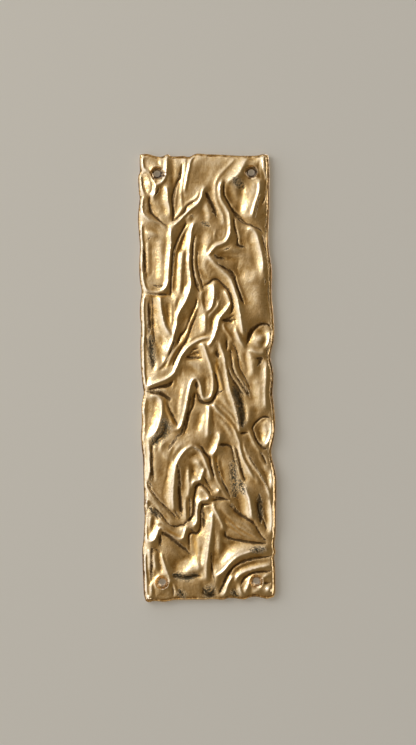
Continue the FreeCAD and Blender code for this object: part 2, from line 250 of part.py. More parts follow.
# grooves: level of the bottom, width of each wall, rise per mm of the walls, line of the bottom
GROOVES = [
    (3.2, 1, 0.85, [(-14.7, 142.8), (-15.9, 134), (-17.4, 131.4), (-19.2, 127.6), (-21.2, 120.6),
        (-21.1, 115.3), (-20.7, 108.3), (-21.3, 104.8)]),
    (3.4, 1, 0.75, [(-7, 117.2), (-11.5, 114.5), (-13.2, 110.9), (-16, 108.3), (-19, 105.8), (-21, 104.6)]),
    (3.8, 0.8, 0.55, [(1.8, 123.6), (4, 118), (7.5, 110)]),
    (3, 1, 0.95, [(-36.7, 121), (-36.8, 115.8), (-35.8, 110.8), (-33.4, 108), (-30.6, 105.4),
        (-27.8, 102.8), (-25, 101.3)]),
    (3, 1, 0.95, [(-12.2, 103.3), (-13.6, 100.1), (-15.7, 96.6), (-18.2, 92), (-19.6, 88.4), (-21.1, 84.4),
        (-21.7, 79.5), (-22.1, 74.2), (-22.5, 68.9), (-23, 63.6), (-23.2, 58.3), (-23.4, 54.8)]),
    (3.2, 1, 0.85, [(-39.9, 57.2), (-37.4, 56.4), (-33.9, 55.9), (-28.6, 55.6), (-23.6, 55.1)]),
    (3.2, 1, 0.85, [(-5.7, 53), (-6.5, 48.5), (-8.3, 44.4), (-10.2, 40.5), (-11.8, 35.9), (-13, 32.8),
        (-14.7, 30.3), (-16.6, 28.3), (-17.9, 25.5), (-18.9, 22.9)]),
    (3.6, 1, 0.65, [(-6.4, 94.9), (-7.9, 88.2), (-8.2, 82.9), (-8.6, 77.6), (-7.6, 68), (-6, 61.6),
        (-3.9, 56.8)]),
    (3.8, 0.8, 0.55, [(-5, 84.6), (-5.4, 77.6), (-4.8, 72.2), (-3.5, 66.9), (-1.9, 61.6), (-1.2, 58.6)]),
    (3.5, 1, 0.7, [(13.6, 130), (13.3, 125), (13.3, 121.5), (14.8, 118.6), (16.5, 115.8), (18.2, 112.9),
        (20.6, 109.7), (23.4, 106.8), (25.5, 104.3), (27.6, 102.1), (31.2, 101), (35.9, 98.9), (38, 97.3),
        (39.6, 95.6)]),
    (3.3, 1, 0.8, [(19.6, 106.5), (19.9, 102), (20.5, 98.4), (21.5, 94.9), (22, 92.4), (21.9, 89.6),
        (22.6, 87.8), (25.4, 86.7), (27.5, 85.9)]),
    (4, 0.8, 0.45, [(9, 86), (13, 87), (17, 88.2)]),
    (4.4, 0.8, 0.25, [(10, 82.6), (20, 81.5), (30, 81)]),
    (3.5, 1, 0.7, [(7.4, 76.8), (9.8, 74.6), (12.6, 73.2), (14.7, 72.1), (17.5, 70.6), (19.6, 67.5),
        (20.4, 63.9), (21.2, 60.7), (22.5, 57.1), (24.2, 52.8), (25.6, 48.6)]),
    (3.6, 1, 0.65, [(42, 128.3), (41.4, 124.8), (40.8, 120.6), (39.9, 117.8), (38.4, 114.3)]),
    (3.6, 1, 0.65, [(40.2, 108.3), (40.9, 106.5), (40.9, 101.9), (40.6, 99.9), (40.5, 95.3)]),
    (3.9, 0.8, 0.5, [(36.9, 145), (36.8, 136.5), (37.8, 132.3)]),
    (4.1, 0.8, 0.4, [(24, 145.6), (30, 146), (35, 146)]),
    (3.6, 1, 0.65, [(38.4, 94.6), (39.4, 89.3), (40.4, 85), (41.3, 80.3), (42.2, 75.7), (42.7, 69.7),
        (42.4, 62.7), (42, 57.5), (42.2, 52.2), (42.8, 48.6), (43.2, 43.3), (43.7, 38), (43.9, 34)]),
    (3.4, 1, 0.75, [(-0.9, 60.8), (2.6, 63), (5.1, 65.2), (7.4, 65.2), (9.8, 63.6), (12.4, 61),
        (14.9, 58.3), (16.8, 54.2), (17.7, 49.7), (18, 46.2), (17.3, 43.3), (16.2, 41.6)]),
    (4, 0.8, 0.45, [(-0.6, 57), (-0.7, 51), (-0.3, 46.6)]),
    (3.9, 0.8, 0.5, [(12.6, 47.3), (10.2, 44.5), (7, 41.9), (5, 38.8), (3.8, 33.5)]),
    (4, 0.8, 0.45, [(6.7, 53.4), (6.9, 50), (6.4, 47)]),
    (3, 1, 0.95, [(13, 40), (15.6, 39.2), (19, 41)]),
    (3.4, 1, 0.75, [(14, 37.4), (17.6, 37)]),
    (3.4, 1, 0.75, [(13.9, 25.4), (13.8, 23.2), (13.9, 20.4), (13.7, 17.3)]),
    (2.8, 1, 1, [(5.8, 16.6), (7.1, 15.4), (8.4, 14.2)]),
    (3.6, 1, 0.65, [(5.2, 24.4), (7.3, 23.6)]),
    (3.8, 0.8, 0.55, [(17.6, 22.8), (19.6, 18.7), (20.8, 15.3), (21.4, 12), (22.3, 6), (25, 0.6),
        (27.5, -4), (29.3, -9)]),
    (3.8, 0.8, 0.55, [(16.2, 19.1), (16.6, 14.6), (17, 10), (17.4, 5.8), (19.2, 1.4), (21.4, -2),
        (23.8, -5.8), (26.4, -9.8), (28.6, -13.8)]),
    (3.8, 0.8, 0.55, [(14.2, 7.6), (15.1, 4), (16.4, 0.4), (18.4, -3.2), (20.6, -6.4), (22.8, -10),
        (25.6, -13.4)]),
    (3, 1, 0.95, [(27.2, 21.4), (28.5, 24.6), (30, 27.9), (31.8, 30.7), (34.3, 33.1), (37.1, 34.7),
        (39.6, 35.3), (41.9, 34.6), (43.2, 32.6), (43.5, 30.8)]),
    (3.9, 0.8, 0.5, [(35, 11.6), (37, 11), (39.4, 11.4)]),
    (3.5, 1, 0.7, [(43.6, 25.5), (42.4, 20.6), (41, 18.2), (40.6, 15.7), (40.8, 12.5), (42, 9.7),
        (42.9, 6.6), (43.3, 2), (43.4, -2), (42.7, -7.3), (42.5, -11.5), (42.8, -15), (43.3, -19.6),
        (43.6, -24), (43.9, -28.5)]),
    (3.8, 0.8, 0.55, [(-35.5, 54), (-35.3, 45), (-35.3, 35), (-34.8, 28), (-34, 23)]),
    (4.2, 0.8, 0.35, [(-28.3, 50), (-27, 42), (-25.4, 35.6), (-24.2, 32.4)]),
    (4.2, 0.8, 0.35, [(-21.8, 50), (-21.8, 42), (-22, 35)]),
    (3.6, 1, 0.65, [(-39.8, 29), (-39.7, 25), (-38.9, 21), (-37.6, 16.6), (-36.4, 14.4), (-35.5, 11.6),
        (-35, 8.5), (-36.3, 5.6)]),
    (3.8, 0.8, 0.55, [(-6, 41.2), (-7.9, 37.6), (-9.7, 33.4), (-11, 29.4), (-13, 24.6), (-15.6, 21),
        (-18.4, 16.6), (-20.8, 12), (-22.6, 7.6)]),
    (3.9, 0.8, 0.5, [(2.4, 27.4), (0.3, 27.9), (-1.8, 27.6), (-4.6, 26.9), (-7.8, 25.4), (-11.4, 23.2)]),
    (3.6, 1, 0.65, [(-5, 19.4), (-8, 18.4), (-11, 15.8)]),
    (4.2, 0.8, 0.35, [(-12, 13.4), (-8, 13), (-4, 13)]),
    (3.2, 1, 0.85, [(5.4, 3.7), (6.3, 0.6), (7, -2.6), (7.5, -5.7), (7.2, -9.2), (6.1, -12.2), (4.8, -14.6),
        (3, -16.6), (0.3, -17.3), (-2.5, -17.1), (-4.6, -15.9), (-5.7, -13.4), (-6.2, -10.4)]),
    (4.4, 0.8, 0.25, [(-0.6, -3), (-0.6, -10)]),
    (2.8, 1, 1, [(-6.8, -3.6), (-6.6, -7.6)]),
    (3.6, 1, 0.65, [(-7.6, -10.3), (-8.4, -14.9), (-9.2, -19.4), (-11, -23), (-12.3, -27), (-13.3, -31),
        (-14.2, -34), (-15, -37.4)]),
    (3.8, 0.8, 0.55, [(16.9, -6.6), (18.8, -11.8), (20.9, -17), (22.4, -24), (24, -31)]),
    (3, 1, 0.95, [(22.6, -37.9), (25, -37.6), (27.3, -37)]),
    (3.1, 1, 0.9, [(43.1, -28.4), (41.2, -27.4), (38.4, -27), (35.9, -28), (33.5, -30.1), (31.4, -32.2),
        (30.4, -34.3), (31, -36.6), (32, -39.6), (33.4, -42.8), (35.2, -46), (37.8, -48.3), (40.2, -48.4)]),
    (3.2, 1, 0.85, [(-39.6, -9.4), (-37, -10.1), (-33, -10.7), (-30, -11.5), (-27, -13), (-24.8, -15.5)]),
    (3.4, 1, 0.75, [(-39.3, -8), (-36.6, -7.6), (-34.5, -6.9), (-31.7, -6.4), (-28.9, -6.4), (-26, -5.8),
        (-23.9, -4.6), (-22.4, -2)]),
    (4.3, 0.8, 0.3, [(-19.3, 2), (-20.5, -3), (-22.2, -8.5)]),
    (3.5, 1, 0.7, [(-26.4, -17), (-24.4, -22.3), (-22.3, -26.5), (-20.6, -30), (-19.8, -32.4)]),
    (3.7, 0.8, 0.6, [(-28.5, -29.6), (-28, -34), (-30, -38.4), (-33.6, -41.6), (-36.6, -45)]),
    (3.9, 0.8, 0.5, [(7, -24.8), (9, -26.6), (12.1, -29), (15.4, -32.2), (17.2, -34.8), (18.6, -38)]),
    (4.2, 0.8, 0.35, [(3.7, -22), (4.1, -28), (4.9, -34)]),
    (3.8, 0.8, 0.55, [(-37.2, -44), (-37, -52), (-36.8, -60), (-36.4, -67)]),
    (3.9, 0.8, 0.5, [(-23.3, -45.5), (-25, -49), (-25.3, -52)]),
    (4.3, 0.8, 0.3, [(-24.9, -55), (-26.8, -61.3), (-27.3, -65.5), (-28.3, -69), (-29.4, -73.2), (-30, -77),
        (-29.6, -81), (-28.7, -84.5)]),
    (3.5, 1, 0.7, [(-5.8, -45.2), (-3.7, -46.8), (-2.2, -49.2), (-0.6, -51.6), (1.2, -53.6), (1.9, -56),
        (2.1, -58.8), (2.9, -61.6), (3.8, -64.8), (4.5, -67.6)]),
    (4.3, 0.8, 0.3, [(-7.5, -50.8), (-6, -52.3), (-4, -53.4)]),
    (3.1, 1, 0.9, [(-3.8, -72), (-6.3, -72.1), (-7.7, -73.9), (-8.4, -76.3), (-9, -79.8), (-9.5, -82.6),
        (-9.6, -86.2), (-9.7, -90), (-10.7, -92.8), (-12.5, -96)]),
    (3.4, 1, 0.75, [(-3.8, -72.2), (-1.8, -73.6), (-0.2, -75), (1.2, -77), (2.2, -79)]),
    (3.5, 1, 0.7, [(-2.4, -66), (-1.2, -68.8), (0.3, -71.6), (1.9, -74.6), (3.6, -76)]),
    (3, 1, 0.95, [(2.4, -84.6), (-0.6, -85), (-3, -85.4), (-4.3, -87.7), (-4.9, -90.5), (-5, -94),
        (-5.1, -99), (-6, -102.6), (-8, -104.4), (-11, -104), (-12.8, -105.4), (-13, -110), (-12.6, -115)]),
    (3.8, 0.8, 0.55, [(-12.2, -80), (-12.1, -87), (-12.4, -93)]),
    (3.6, 1, 0.65, [(-18.9, -74), (-18.3, -81.5), (-18, -86.8), (-17.3, -91)]),
    (3.7, 0.8, 0.6, [(-21.9, -87.6), (-21.5, -90.2), (-20, -92.6), (-18.4, -94.9)]),
    (3.4, 1, 0.75, [(-40.3, -70.2), (-37.9, -75), (-35.4, -78.6), (-32.6, -82.2), (-29.8, -84.9),
        (-27.2, -87.6), (-25, -89.9), (-22.9, -91.9), (-21.4, -94)]),
    (3.7, 0.8, 0.6, [(-37.4, -85.6), (-39.1, -85.3), (-40.6, -87.8), (-41.2, -89.9), (-41, -92.7),
        (-40.2, -95.2)]),
    (3.3, 1, 0.8, [(-37.2, -85.6), (-34.8, -88), (-32.7, -90), (-30, -93.2), (-28, -95.8), (-25.4, -98.4),
        (-21.7, -99.4), (-18.1, -98.5), (-15.6, -99)]),
    (3.5, 1, 0.7, [(-38, -90.5), (-35.5, -92), (-33, -94.6)]),
    (4.1, 0.8, 0.4, [(-27.3, -101.4), (-24.5, -103.2), (-22, -104.6), (-20.4, -106), (-18.8, -106.2)]),
    (3, 1, 0.95, [(-31, -103.6), (-29.9, -104.8), (-27.3, -105.7), (-25.2, -107.5), (-22.4, -110),
        (-19.6, -112.2), (-17.1, -114.3), (-14.7, -116.2), (-11.9, -118.8)]),
    (3.6, 1, 0.65, [(-31.7, -104.5), (-31.9, -108), (-32, -112)]),
    (3.6, 1, 0.65, [(-24.6, -132.8), (-20, -133.4), (-15, -133.6), (-10, -132.9), (-5.6, -132.8)]),
    (2.9, 1, 1, [(-4.2, -141), (-3.6, -144.6), (0, -146), (4.4, -145.8)]),
    (4.2, 0.8, 0.35, [(-1.4, -142.4), (0.6, -141.8)]),
    (4, 0.8, 0.45, [(3.9, -99), (4, -106), (3.9, -111.8), (3.6, -117), (3.2, -122.3), (2.4, -127),
        (1.7, -131.5), (1.6, -134.6)]),
    (3.5, 1, 0.7, [(3.4, -82.2), (7, -81.8), (12, -81.8), (14.4, -82.6)]),
    (3.4, 1, 0.75, [(11.3, -103.3), (11.6, -106.2), (13.6, -107.2), (16, -108.2), (19.9, -109.1),
        (25.1, -109.9), (30.4, -110.9), (35, -111.3), (39, -111.4)]),
    (4, 0.8, 0.45, [(10.6, -95), (12.6, -99.2), (15.4, -101.4)]),
    (3.4, 1, 0.75, [(13.6, -84.2), (16, -87.3), (18.6, -90.2), (21.4, -92.2), (24, -93.8), (26.8, -95.7),
        (28.9, -96.8), (30.8, -98.7), (32.5, -101.4), (34.2, -104.5), (35.9, -107), (37.6, -108.9),
        (39.4, -110.4)]),
    (3.3, 1, 0.8, [(33, -83.5), (34, -89.8), (35.4, -93.3), (37.1, -96.5), (38.2, -100.2), (39, -103)]),
    (3.6, 1, 0.65, [(40.8, -46.4), (40.2, -48.6), (40.7, -52), (41.5, -55.2), (42.2, -58)]),
    (3.2, 1, 0.85, [(35, -50.4), (36.8, -53), (38.2, -56), (39.2, -58.8)]),
    (3.7, 0.8, 0.6, [(18.2, -45.8), (19.5, -49), (20.2, -52.4), (21.3, -56.8), (22.4, -61.2), (23.4, -64.6),
        (25.1, -69)]),
    (3.1, 1, 0.9, [(6.5, -46.6), (8, -45.4), (9.6, -44.9), (11.7, -45.1), (14.2, -45.7), (15.9, -47.2),
        (16.9, -50.4), (17.6, -54.3), (18.4, -58)]),
    (4, 0.8, 0.45, [(6.3, -52), (6.2, -58), (7, -63), (8, -67.3), (9.5, -70), (11, -72.2), (12.6, -75.2),
        (14.4, -78.6), (15, -81)]),
    (3.8, 0.8, 0.55, [(-37.8, -117.5), (-37.8, -120.3), (-37.9, -125.5), (-38.1, -130.8), (-38.7, -135.4)]),
    (3.6, 1, 0.65, [(-36.4, -113.6), (-34.2, -115.2), (-32.8, -116.8)]),
    (3.9, 0.8, 0.5, [(-36.6, -141.3), (-36.2, -145), (-35.6, -147.2)]),
    (4.2, 0.8, 0.35, [(-32.6, -144.9), (-29.4, -146), (-26, -146.2)]),
    (3.4, 1, 0.75, [(-24.4, -139), (-24, -143), (-24, -147)]),
    (3.2, 1, 0.85, [(-19.5, -144), (-17.6, -146.6)]),
    (3.6, 1, 0.65, [(41.8, -120.2), (39, -120.6), (35.5, -120.8), (30.2, -121.4), (26.6, -122.2),
        (23.2, -123.2), (20.2, -124.6), (17.2, -126.8), (14.8, -129.6), (12.8, -132.8), (11.2, -136),
        (9.4, -139.4), (7.8, -142.6), (6.6, -145.6)]),
    (4.2, 0.8, 0.35, [(41, -123.2), (35.5, -123.8), (30.2, -124.8), (26.6, -125.8), (23.4, -126.6),
        (19.9, -128.4), (17.4, -130.6), (15.6, -132.2)]),
    (3.5, 1, 0.7, [(42, -130), (38.9, -130.1), (34.7, -130.2), (30.4, -130.8), (27.6, -132), (24.7, -133.9),
        (23, -135.8), (21.8, -138)]),
    (3.4, 1, 0.75, [(15.6, -141), (17.6, -145), (19.4, -147)]),
    (4.2, 0.8, 0.35, [(16.6, -137.6), (18.6, -139)]),
    (3.3, 1, 0.8, [(37, -138), (39, -137.9), (41.2, -138.2)]),
    (3.9, 0.8, 0.5, [(28.4, -141), (28.2, -145.2)]),
]

# broad slopes: rise per mm away from the upper left (negative: falls), width, middle line
SLOPES = [
    (0.5, 3, [(-41.5, 149), (-41, 143), (-38.5, 138)]),
    (0.5, 3, [(-29.5, 148), (-30, 144), (-29, 141)]),
    (-0.5, 2.5, [(-41.5, 133), (-41.2, 128), (-39.5, 124)]),
    (0.45, 3, [(-38, 132), (-36.5, 127), (-36.5, 124)]),
    (0.6, 3, [(-42.3, 119), (-42, 113), (-40.5, 109)]),
    (-0.75, 3.5, [(-37, 118), (-36, 112), (-33, 108)]),
    (0.5, 5, [(-28, 124), (-27, 116), (-25, 109)]),
    (-0.5, 2.5, [(-29, 128), (-33, 121)]),
    (0.2, 3, [(-19.5, 147), (-19.5, 138), (-20, 131)]),
    (-0.4, 3, [(-22.5, 147), (-22.5, 138), (-22, 128)]),
    (0.5, 4, [(-13.5, 143), (-14, 135), (-15, 126), (-17.5, 115), (-19, 110)]),
    (-0.12, 10, [(-3, 146), (-4, 138), (-5, 130)]),
    (0.12, 8, [(7, 142), (3, 132), (0, 128)]),
    (0.62, 6, [(22, 143), (18.5, 138), (14.5, 133)]),
    (0.35, 6, [(16, 128), (18, 121), (21, 115)]),
    (-0.25, 4, [(25.5, 133), (23, 128)]),
    (0.42, 10, [(29.5, 130), (28.5, 122), (27, 114), (26.5, 107)]),
    (-0.35, 6, [(39, 124), (38.5, 116), (38, 109)]),
    (-0.5, 4, [(2, 122), (5, 115), (8, 108)]),
    (0.3, 6, [(0, 117), (1, 110), (2, 104)]),
    (-0.3, 5, [(-8, 109), (-10, 104)]),
    (-0.8, 3.5, [(-41.3, 92), (-41, 82), (-40.6, 73), (-40, 66)]),
    (-0.2, 4, [(-37, 92), (-37, 80), (-37, 68)]),
    (0.42, 9.5, [(-32, 93), (-31.5, 82), (-31, 72), (-31.5, 64)]),
    (0.45, 4, [(-39, 98), (-34, 97), (-31, 95)]),
    (-0.7, 3, [(-14.5, 98), (-18, 91), (-20, 83), (-20.8, 74), (-21.6, 64), (-22, 57)]),
    (0.35, 3, [(-17, 93), (-18.6, 84), (-19.4, 74), (-19.8, 64), (-20, 56)]),
    (0.4, 4, [(-13.5, 94), (-15, 84), (-16, 74), (-16, 64), (-16, 56)]),
    (-0.35, 2, [(-13.2, 78), (-13, 68), (-13.5, 60)]),
    (-0.5, 3, [(-8.5, 88), (-8.8, 78), (-8, 68), (-5, 60)]),
    (0.32, 10, [(1.5, 99), (0, 90), (-1, 82), (-0.5, 74), (1, 67)]),
    (0.25, 6, [(6, 98), (4, 92)]),
    (0.3, 5, [(12, 99), (11, 93)]),
    (0.35, 8, [(3, 72), (7, 68)]),
    (-0.45, 9, [(9, 82), (16, 82), (24, 81)]),
    (-0.25, 7, [(24, 84), (30, 80), (31, 76)]),
    (-0.5, 4, [(22.5, 95), (23.5, 90), (27, 86)]),
    (0.25, 5, [(27, 98), (28, 92)]),
    (0.48, 13, [(34, 94), (36, 86), (37, 78), (35, 70), (30, 65)]),
    (0.35, 9, [(17, 73), (24, 69.5), (32, 66)]),
    (-0.5, 5, [(14, 72), (20, 66), (24, 58), (26, 50)]),
    (0.22, 18, [(34, 62), (34, 54), (34, 42)]),
    (-0.2, 6, [(27, 48), (28, 42)]),
    (0.6, 5, [(2.8, 60), (3, 53), (3, 47)]),
    (-0.6, 4, [(7.5, 59), (8, 53), (7, 48)]),
    (0.4, 4, [(12, 57), (13.5, 52)]),
    (-0.6, 4, [(-38.3, 52), (-38, 42), (-37.5, 32)]),
    (-0.25, 4, [(-36, 34), (-35, 25), (-33, 16)]),
    (0.62, 7, [(-32.2, 53), (-31.3, 44), (-29, 36), (-25.5, 30), (-22, 27)]),
    (0.45, 5, [(-23.5, 50), (-23.5, 42), (-23.5, 36)]),
    (-0.5, 2.5, [(-27.6, 50), (-26.3, 42), (-24.8, 36)]),
    (0.5, 7, [(-29.5, 29), (-27, 22), (-26.5, 16)]),
    (-0.45, 4, [(-38, 24), (-36.5, 16), (-35, 9)]),
    (0.2, 6, [(-39, 12), (-38, 4)]),
    (0.3, 6, [(-34, 4), (-30, 2), (-25, 5)]),
    (-0.32, 6, [(-11, 50), (-14, 42), (-16.5, 33), (-18.5, 26)]),
    (0.55, 7, [(-3, 42), (-4, 36), (-7, 31)]),
    (-0.4, 4, [(-3.5, 52), (-2.5, 46)]),
    (-0.5, 4, [(2.5, 42), (3, 36), (2.5, 30)]),
    (-0.7, 5, [(-14, 14), (-9, 17), (-4, 17)]),
    (0.35, 6, [(-13, 9), (-7, 6), (-3, 3)]),
    (-0.35, 3, [(-17, 8), (-18.5, 0)]),
    (-0.8, 5, [(6, 20), (7, 15)]),
    (0.35, 4, [(8, 11), (8.6, 4), (9.4, -3)]),
    (-0.9, 5, [(11, 39), (15, 38.5), (19, 40)]),
    (0.35, 4, [(19.5, 37), (20.5, 31), (23, 25)]),
    (-0.3, 4, [(12, 30), (13, 22)]),
    (0.3, 3, [(19.8, 20), (22.5, 12), (25.5, 5)]),
    (-0.35, 3, [(16, 22), (17, 14)]),
    (0.1, 10, [(34, 46), (34, 41)]),
    (-0.8, 4, [(28, 24), (30.5, 30), (35, 34), (40, 35)]),
    (0.45, 6, [(33, 28), (38, 27), (40, 25)]),
    (0.55, 6, [(29.5, 22), (33.5, 18), (37.5, 15.5)]),
    (0.5, 6, [(27.5, 17), (28.5, 9), (29.5, 1)]),
    (-0.65, 4, [(33, 13), (34.5, 8)]),
    (0.42, 6.5, [(38.5, 8), (38.3, 1), (37.5, -6)]),
    (0.35, 5, [(-16, -4), (-17.5, -12), (-18.5, -20), (-19, -27)]),
    (0.25, 3, [(-21.5, 0), (-23, -8)]),
    (-0.6, 3.5, [(-36, -9), (-30, -10.5), (-25, -14)]),
    (0.6, 9, [(-36, -13), (-36, -21), (-36.5, -29), (-38.5, -37)]),
    (-0.45, 3, [(-29, -17), (-26.5, -23), (-24.5, -29)]),
    (0.25, 4, [(-24, -19), (-22.5, -25)]),
    (-0.5, 5, [(-27, -31), (-30, -37), (-34.5, -43)]),
    (-0.6, 3, [(-6.5, -3), (-6.5, -9)]),
    (0.35, 4, [(0.5, 0), (0.5, -10)]),
    (-0.35, 2, [(-2.4, 0), (-2.4, -9)]),
    (-0.55, 3.5, [(-9, -14), (-11.5, -23), (-14, -32), (-18, -39)]),
    (0.15, 5, [(-6, -21), (-9, -28), (-11, -35)]),
    (0.5, 4.5, [(-1.5, -22), (-2.5, -29), (-4.5, -36), (-8, -39.5)]),
    (-0.35, 4, [(3.5, -22), (4, -30), (3, -38)]),
    (0.3, 5, [(8, -29), (12, -34), (16, -40)]),
    (-0.4, 3, [(7, -25.5), (12, -30), (16, -35)]),
    (0.35, 6, [(9, -14), (12, -19), (16, -24)]),
    (0.35, 3.5, [(12.5, -3), (14, -12), (17, -20)]),
    (-0.7, 5, [(18, -5), (21, -13), (23, -22), (24, -30)]),
    (0.3, 8, [(31, -1), (32, -8), (33, -16)]),
    (0.55, 4.5, [(38, -4), (37.8, -12), (38, -19)]),
    (-0.35, 8, [(30, -20), (30, -28), (28, -34)]),
    (-0.8, 4, [(40, -27.5), (34.5, -29), (31, -34), (32, -40), (35, -46)]),
    (0.5, 6, [(36, -33), (37.5, -39), (39, -45)]),
    (0.5, 5, [(41, -31), (41.3, -37)]),
    (-0.3, 6, [(25, -41), (28, -47), (31, -53)]),
    (0.6, 5.5, [(6, -38.5), (4.5, -43), (2.5, -48)]),
    (-0.25, 6, [(9, -44), (15, -44)]),
    (0.4, 3, [(-10, -42), (-15, -46), (-20, -52)]),
    (-0.3, 7, [(-27, -42), (-31, -50)]),
    (0.6, 4, [(-40.5, -40), (-40.3, -48), (-40.3, -56), (-40.5, -64)]),
    (-0.7, 2.5, [(-37.8, -46), (-37.6, -54), (-37.2, -62), (-37, -69)]),
    (-0.1, 8, [(-33, -50), (-32, -60), (-33, -70)]),
    (0.65, 6, [(-22.5, -52), (-24.5, -60), (-25.5, -68), (-26, -76), (-25.5, -83)]),
    (-0.65, 3, [(-19, -58), (-20.2, -66), (-20.7, -74), (-20.3, -82), (-19, -89)]),
    (-0.2, 4, [(-16, -60), (-17, -70)]),
    (0.5, 5, [(-13.5, -62), (-14, -70), (-14.2, -78)]),
    (0.65, 6, [(-9, -57), (-6, -60), (-4.5, -66)]),
    (-0.6, 4, [(-12, -51), (-6, -50), (-3, -53)]),
    (-0.7, 3.5, [(-8.5, -73), (-9.3, -80), (-9.8, -88)]),
    (0.3, 3, [(-12.8, -82), (-13, -90)]),
    (0.55, 4, [(-16, -82), (-15.8, -90), (-15.5, -95)]),
    (0.5, 4, [(-3, -77.5), (-1.5, -80)]),
    (0.5, 2.5, [(-1.5, -53), (0, -58), (1.5, -64)]),
    (-0.6, 3, [(3.6, -55), (4.6, -62), (7, -69), (10, -75)]),
    (-0.45, 3, [(7.5, -55), (8.5, -62), (10.5, -69)]),
    (0.3, 4, [(17.5, -60), (19, -70), (20.5, -77)]),
    (-0.5, 2.5, [(19.5, -56), (21, -62), (23, -69)]),
    (0.45, 4, [(25, -54), (27.5, -60), (30.5, -66), (33, -71)]),
    (-0.5, 3, [(31.5, -53), (35, -58), (38, -62)]),
    (0.45, 5, [(33.5, -55), (37, -60), (40.5, -66), (41.5, -72)]),
    (-0.4, 3.5, [(28, -57), (31, -63), (35, -70)]),
    (0.7, 8, [(23.5, -77), (24.5, -83), (26, -89), (28, -94)]),
    (-0.3, 5, [(10, -82), (16, -86), (20, -91)]),
    (0.3, 5, [(8, -88), (13, -92), (19, -95)]),
    (-0.6, 4, [(31.5, -84), (32.3, -92), (34, -98)]),
    (-0.5, 4, [(36, -86), (37.5, -93), (39, -100)]),
    (0.5, 3, [(41.8, -84), (42, -92), (41.8, -100)]),
    (-0.45, 3, [(-38, -73), (-33, -79.5), (-27, -86)]),
    (0.3, 4, [(-36, -78), (-31, -83)]),
    (-0.5, 4, [(-38, -88), (-35, -92)]),
    (0.3, 3.5, [(-29, -90), (-25, -94.5)]),
    (0.65, 5.5, [(0.3, -92), (0.3, -99), (-1, -107), (-2, -115)]),
    (-0.8, 3, [(-4, -86), (-4.2, -93), (-4.5, -100)]),
    (0.35, 5, [(-38.5, -99), (-38, -104)]),
    (-0.6, 3.5, [(-29, -104.5), (-22, -109), (-15, -115)]),
    (-0.5, 3, [(-32, -106), (-32, -112)]),
    (-0.8, 3.5, [(-38.3, -114), (-38.2, -122), (-38.6, -130)]),
    (0.4, 3.5, [(-41.8, -114), (-41.6, -124), (-41.5, -134)]),
    (0.3, 4, [(-34.5, -120), (-34.5, -127)]),
    (-0.2, 6, [(-25, -111), (-21, -116), (-17, -120)]),
    (-0.5, 3, [(-27.5, -120), (-26, -125), (-23.5, -130)]),
    (0.5, 6, [(-9, -124), (-8, -129)]),
    (0.35, 6, [(-8, -106), (-8, -114), (-8, -120)]),
    (0.65, 5.5, [(-2.5, -112), (-3.5, -120), (-4, -127)]),
    (-0.75, 4, [(2.8, -98), (3, -108), (2.5, -118), (1.5, -128)]),
    (0.3, 4, [(6, -104), (6, -112), (5.5, -121)]),
    (0.6, 10, [(8.5, -127), (13, -121), (20, -116), (28, -113)]),
    (-0.35, 4, [(9, -110), (14, -112)]),
    (0.15, 7, [(17, -103), (25, -106)]),
    (-0.55, 3, [(38, -118), (30, -119.3), (23, -121), (17, -124.5)]),
    (-0.45, 3, [(34, -122.5), (26, -124.5), (19, -128)]),
    (0.5, 3.5, [(41, -125), (33, -126), (26, -127.8), (20, -131)]),
    (-0.5, 3, [(38, -130), (31, -130.5), (25, -133.5)]),
    (-0.35, 5, [(11, -128), (8, -134), (5, -140)]),
    (0.2, 8, [(-18, -137), (-12, -140)]),
    (-0.5, 4, [(-6, -137), (-4.5, -142)]),
    (0.45, 3, [(13.5, -134), (11.8, -139), (10, -144)]),
    (-0.5, 4, [(16.5, -139), (17, -145)]),
    (0.45, 3, [(27, -137), (25, -142)]),
    (0.6, 6, [(-29, -143), (-27.5, -144.5)]),
    (0.5, 3, [(-39, -138), (-38.8, -144)]),
    (0.5, 9, [(-10.5, -57.5), (-7, -62), (-6.5, -68)]),
    (0.38, 15, [(-23, -134), (-15, -126.5), (-6, -118)]),
]

# small bumps and pits: level, radius, middle
SPOTS = [
    (6.6, 1.2, (-41, -82.8)), (6.3, 1.2, (7.2, -75.8)), (6.4, 1, (-40.4, -147)), (6.2, 1.9, (39.8, -142.2)),
]


def smooth_curve(points, step):
    """Points about one step apart on the smooth curve through the given points."""
    first = (2 * points[0][0] - points[1][0], 2 * points[0][1] - points[1][1])
    last = (2 * points[-1][0] - points[-2][0], 2 * points[-1][1] - points[-2][1])
    ends = [first] + list(points) + [last]
    curve = []
    for a, b, c, d in zip(ends[:-3], ends[1:-2], ends[2:-1], ends[3:]):
        count = max(1, int(math.ceil(math.hypot(c[0] - b[0], c[1] - b[1]) / step)))
        for k in range(count):
            t = k / count
            curve.append(tuple(
                0.5 * (2 * b[n] + (c[n] - a[n]) * t + (2 * a[n] - 5 * b[n] + 4 * c[n] - d[n]) * t * t
                       + (3 * b[n] - a[n] - 3 * c[n] + d[n]) * t ** 3)
                for n in (0, 1)))
    curve.append(tuple(points[-1]))
    return curve


def drawn_span(low_edge, high_edge, axis):
    """How far apart the outermost points of two opposite edges of the drawing lie."""
    lowest = min(point[axis] for point in smooth_curve(low_edge, LINE_STEP))
    highest = max(point[axis] for point in smooth_curve(high_edge, LINE_STEP))
    return highest - lowest


# how far the drawing is stretched to the plate's size
STRETCH_X = PLATE_WIDTH / drawn_span(LEFT_EDGE, RIGHT_EDGE, 0)
STRETCH_Z = PLATE_HEIGHT / drawn_span(BOTTOM_EDGE, TOP_EDGE, 1)


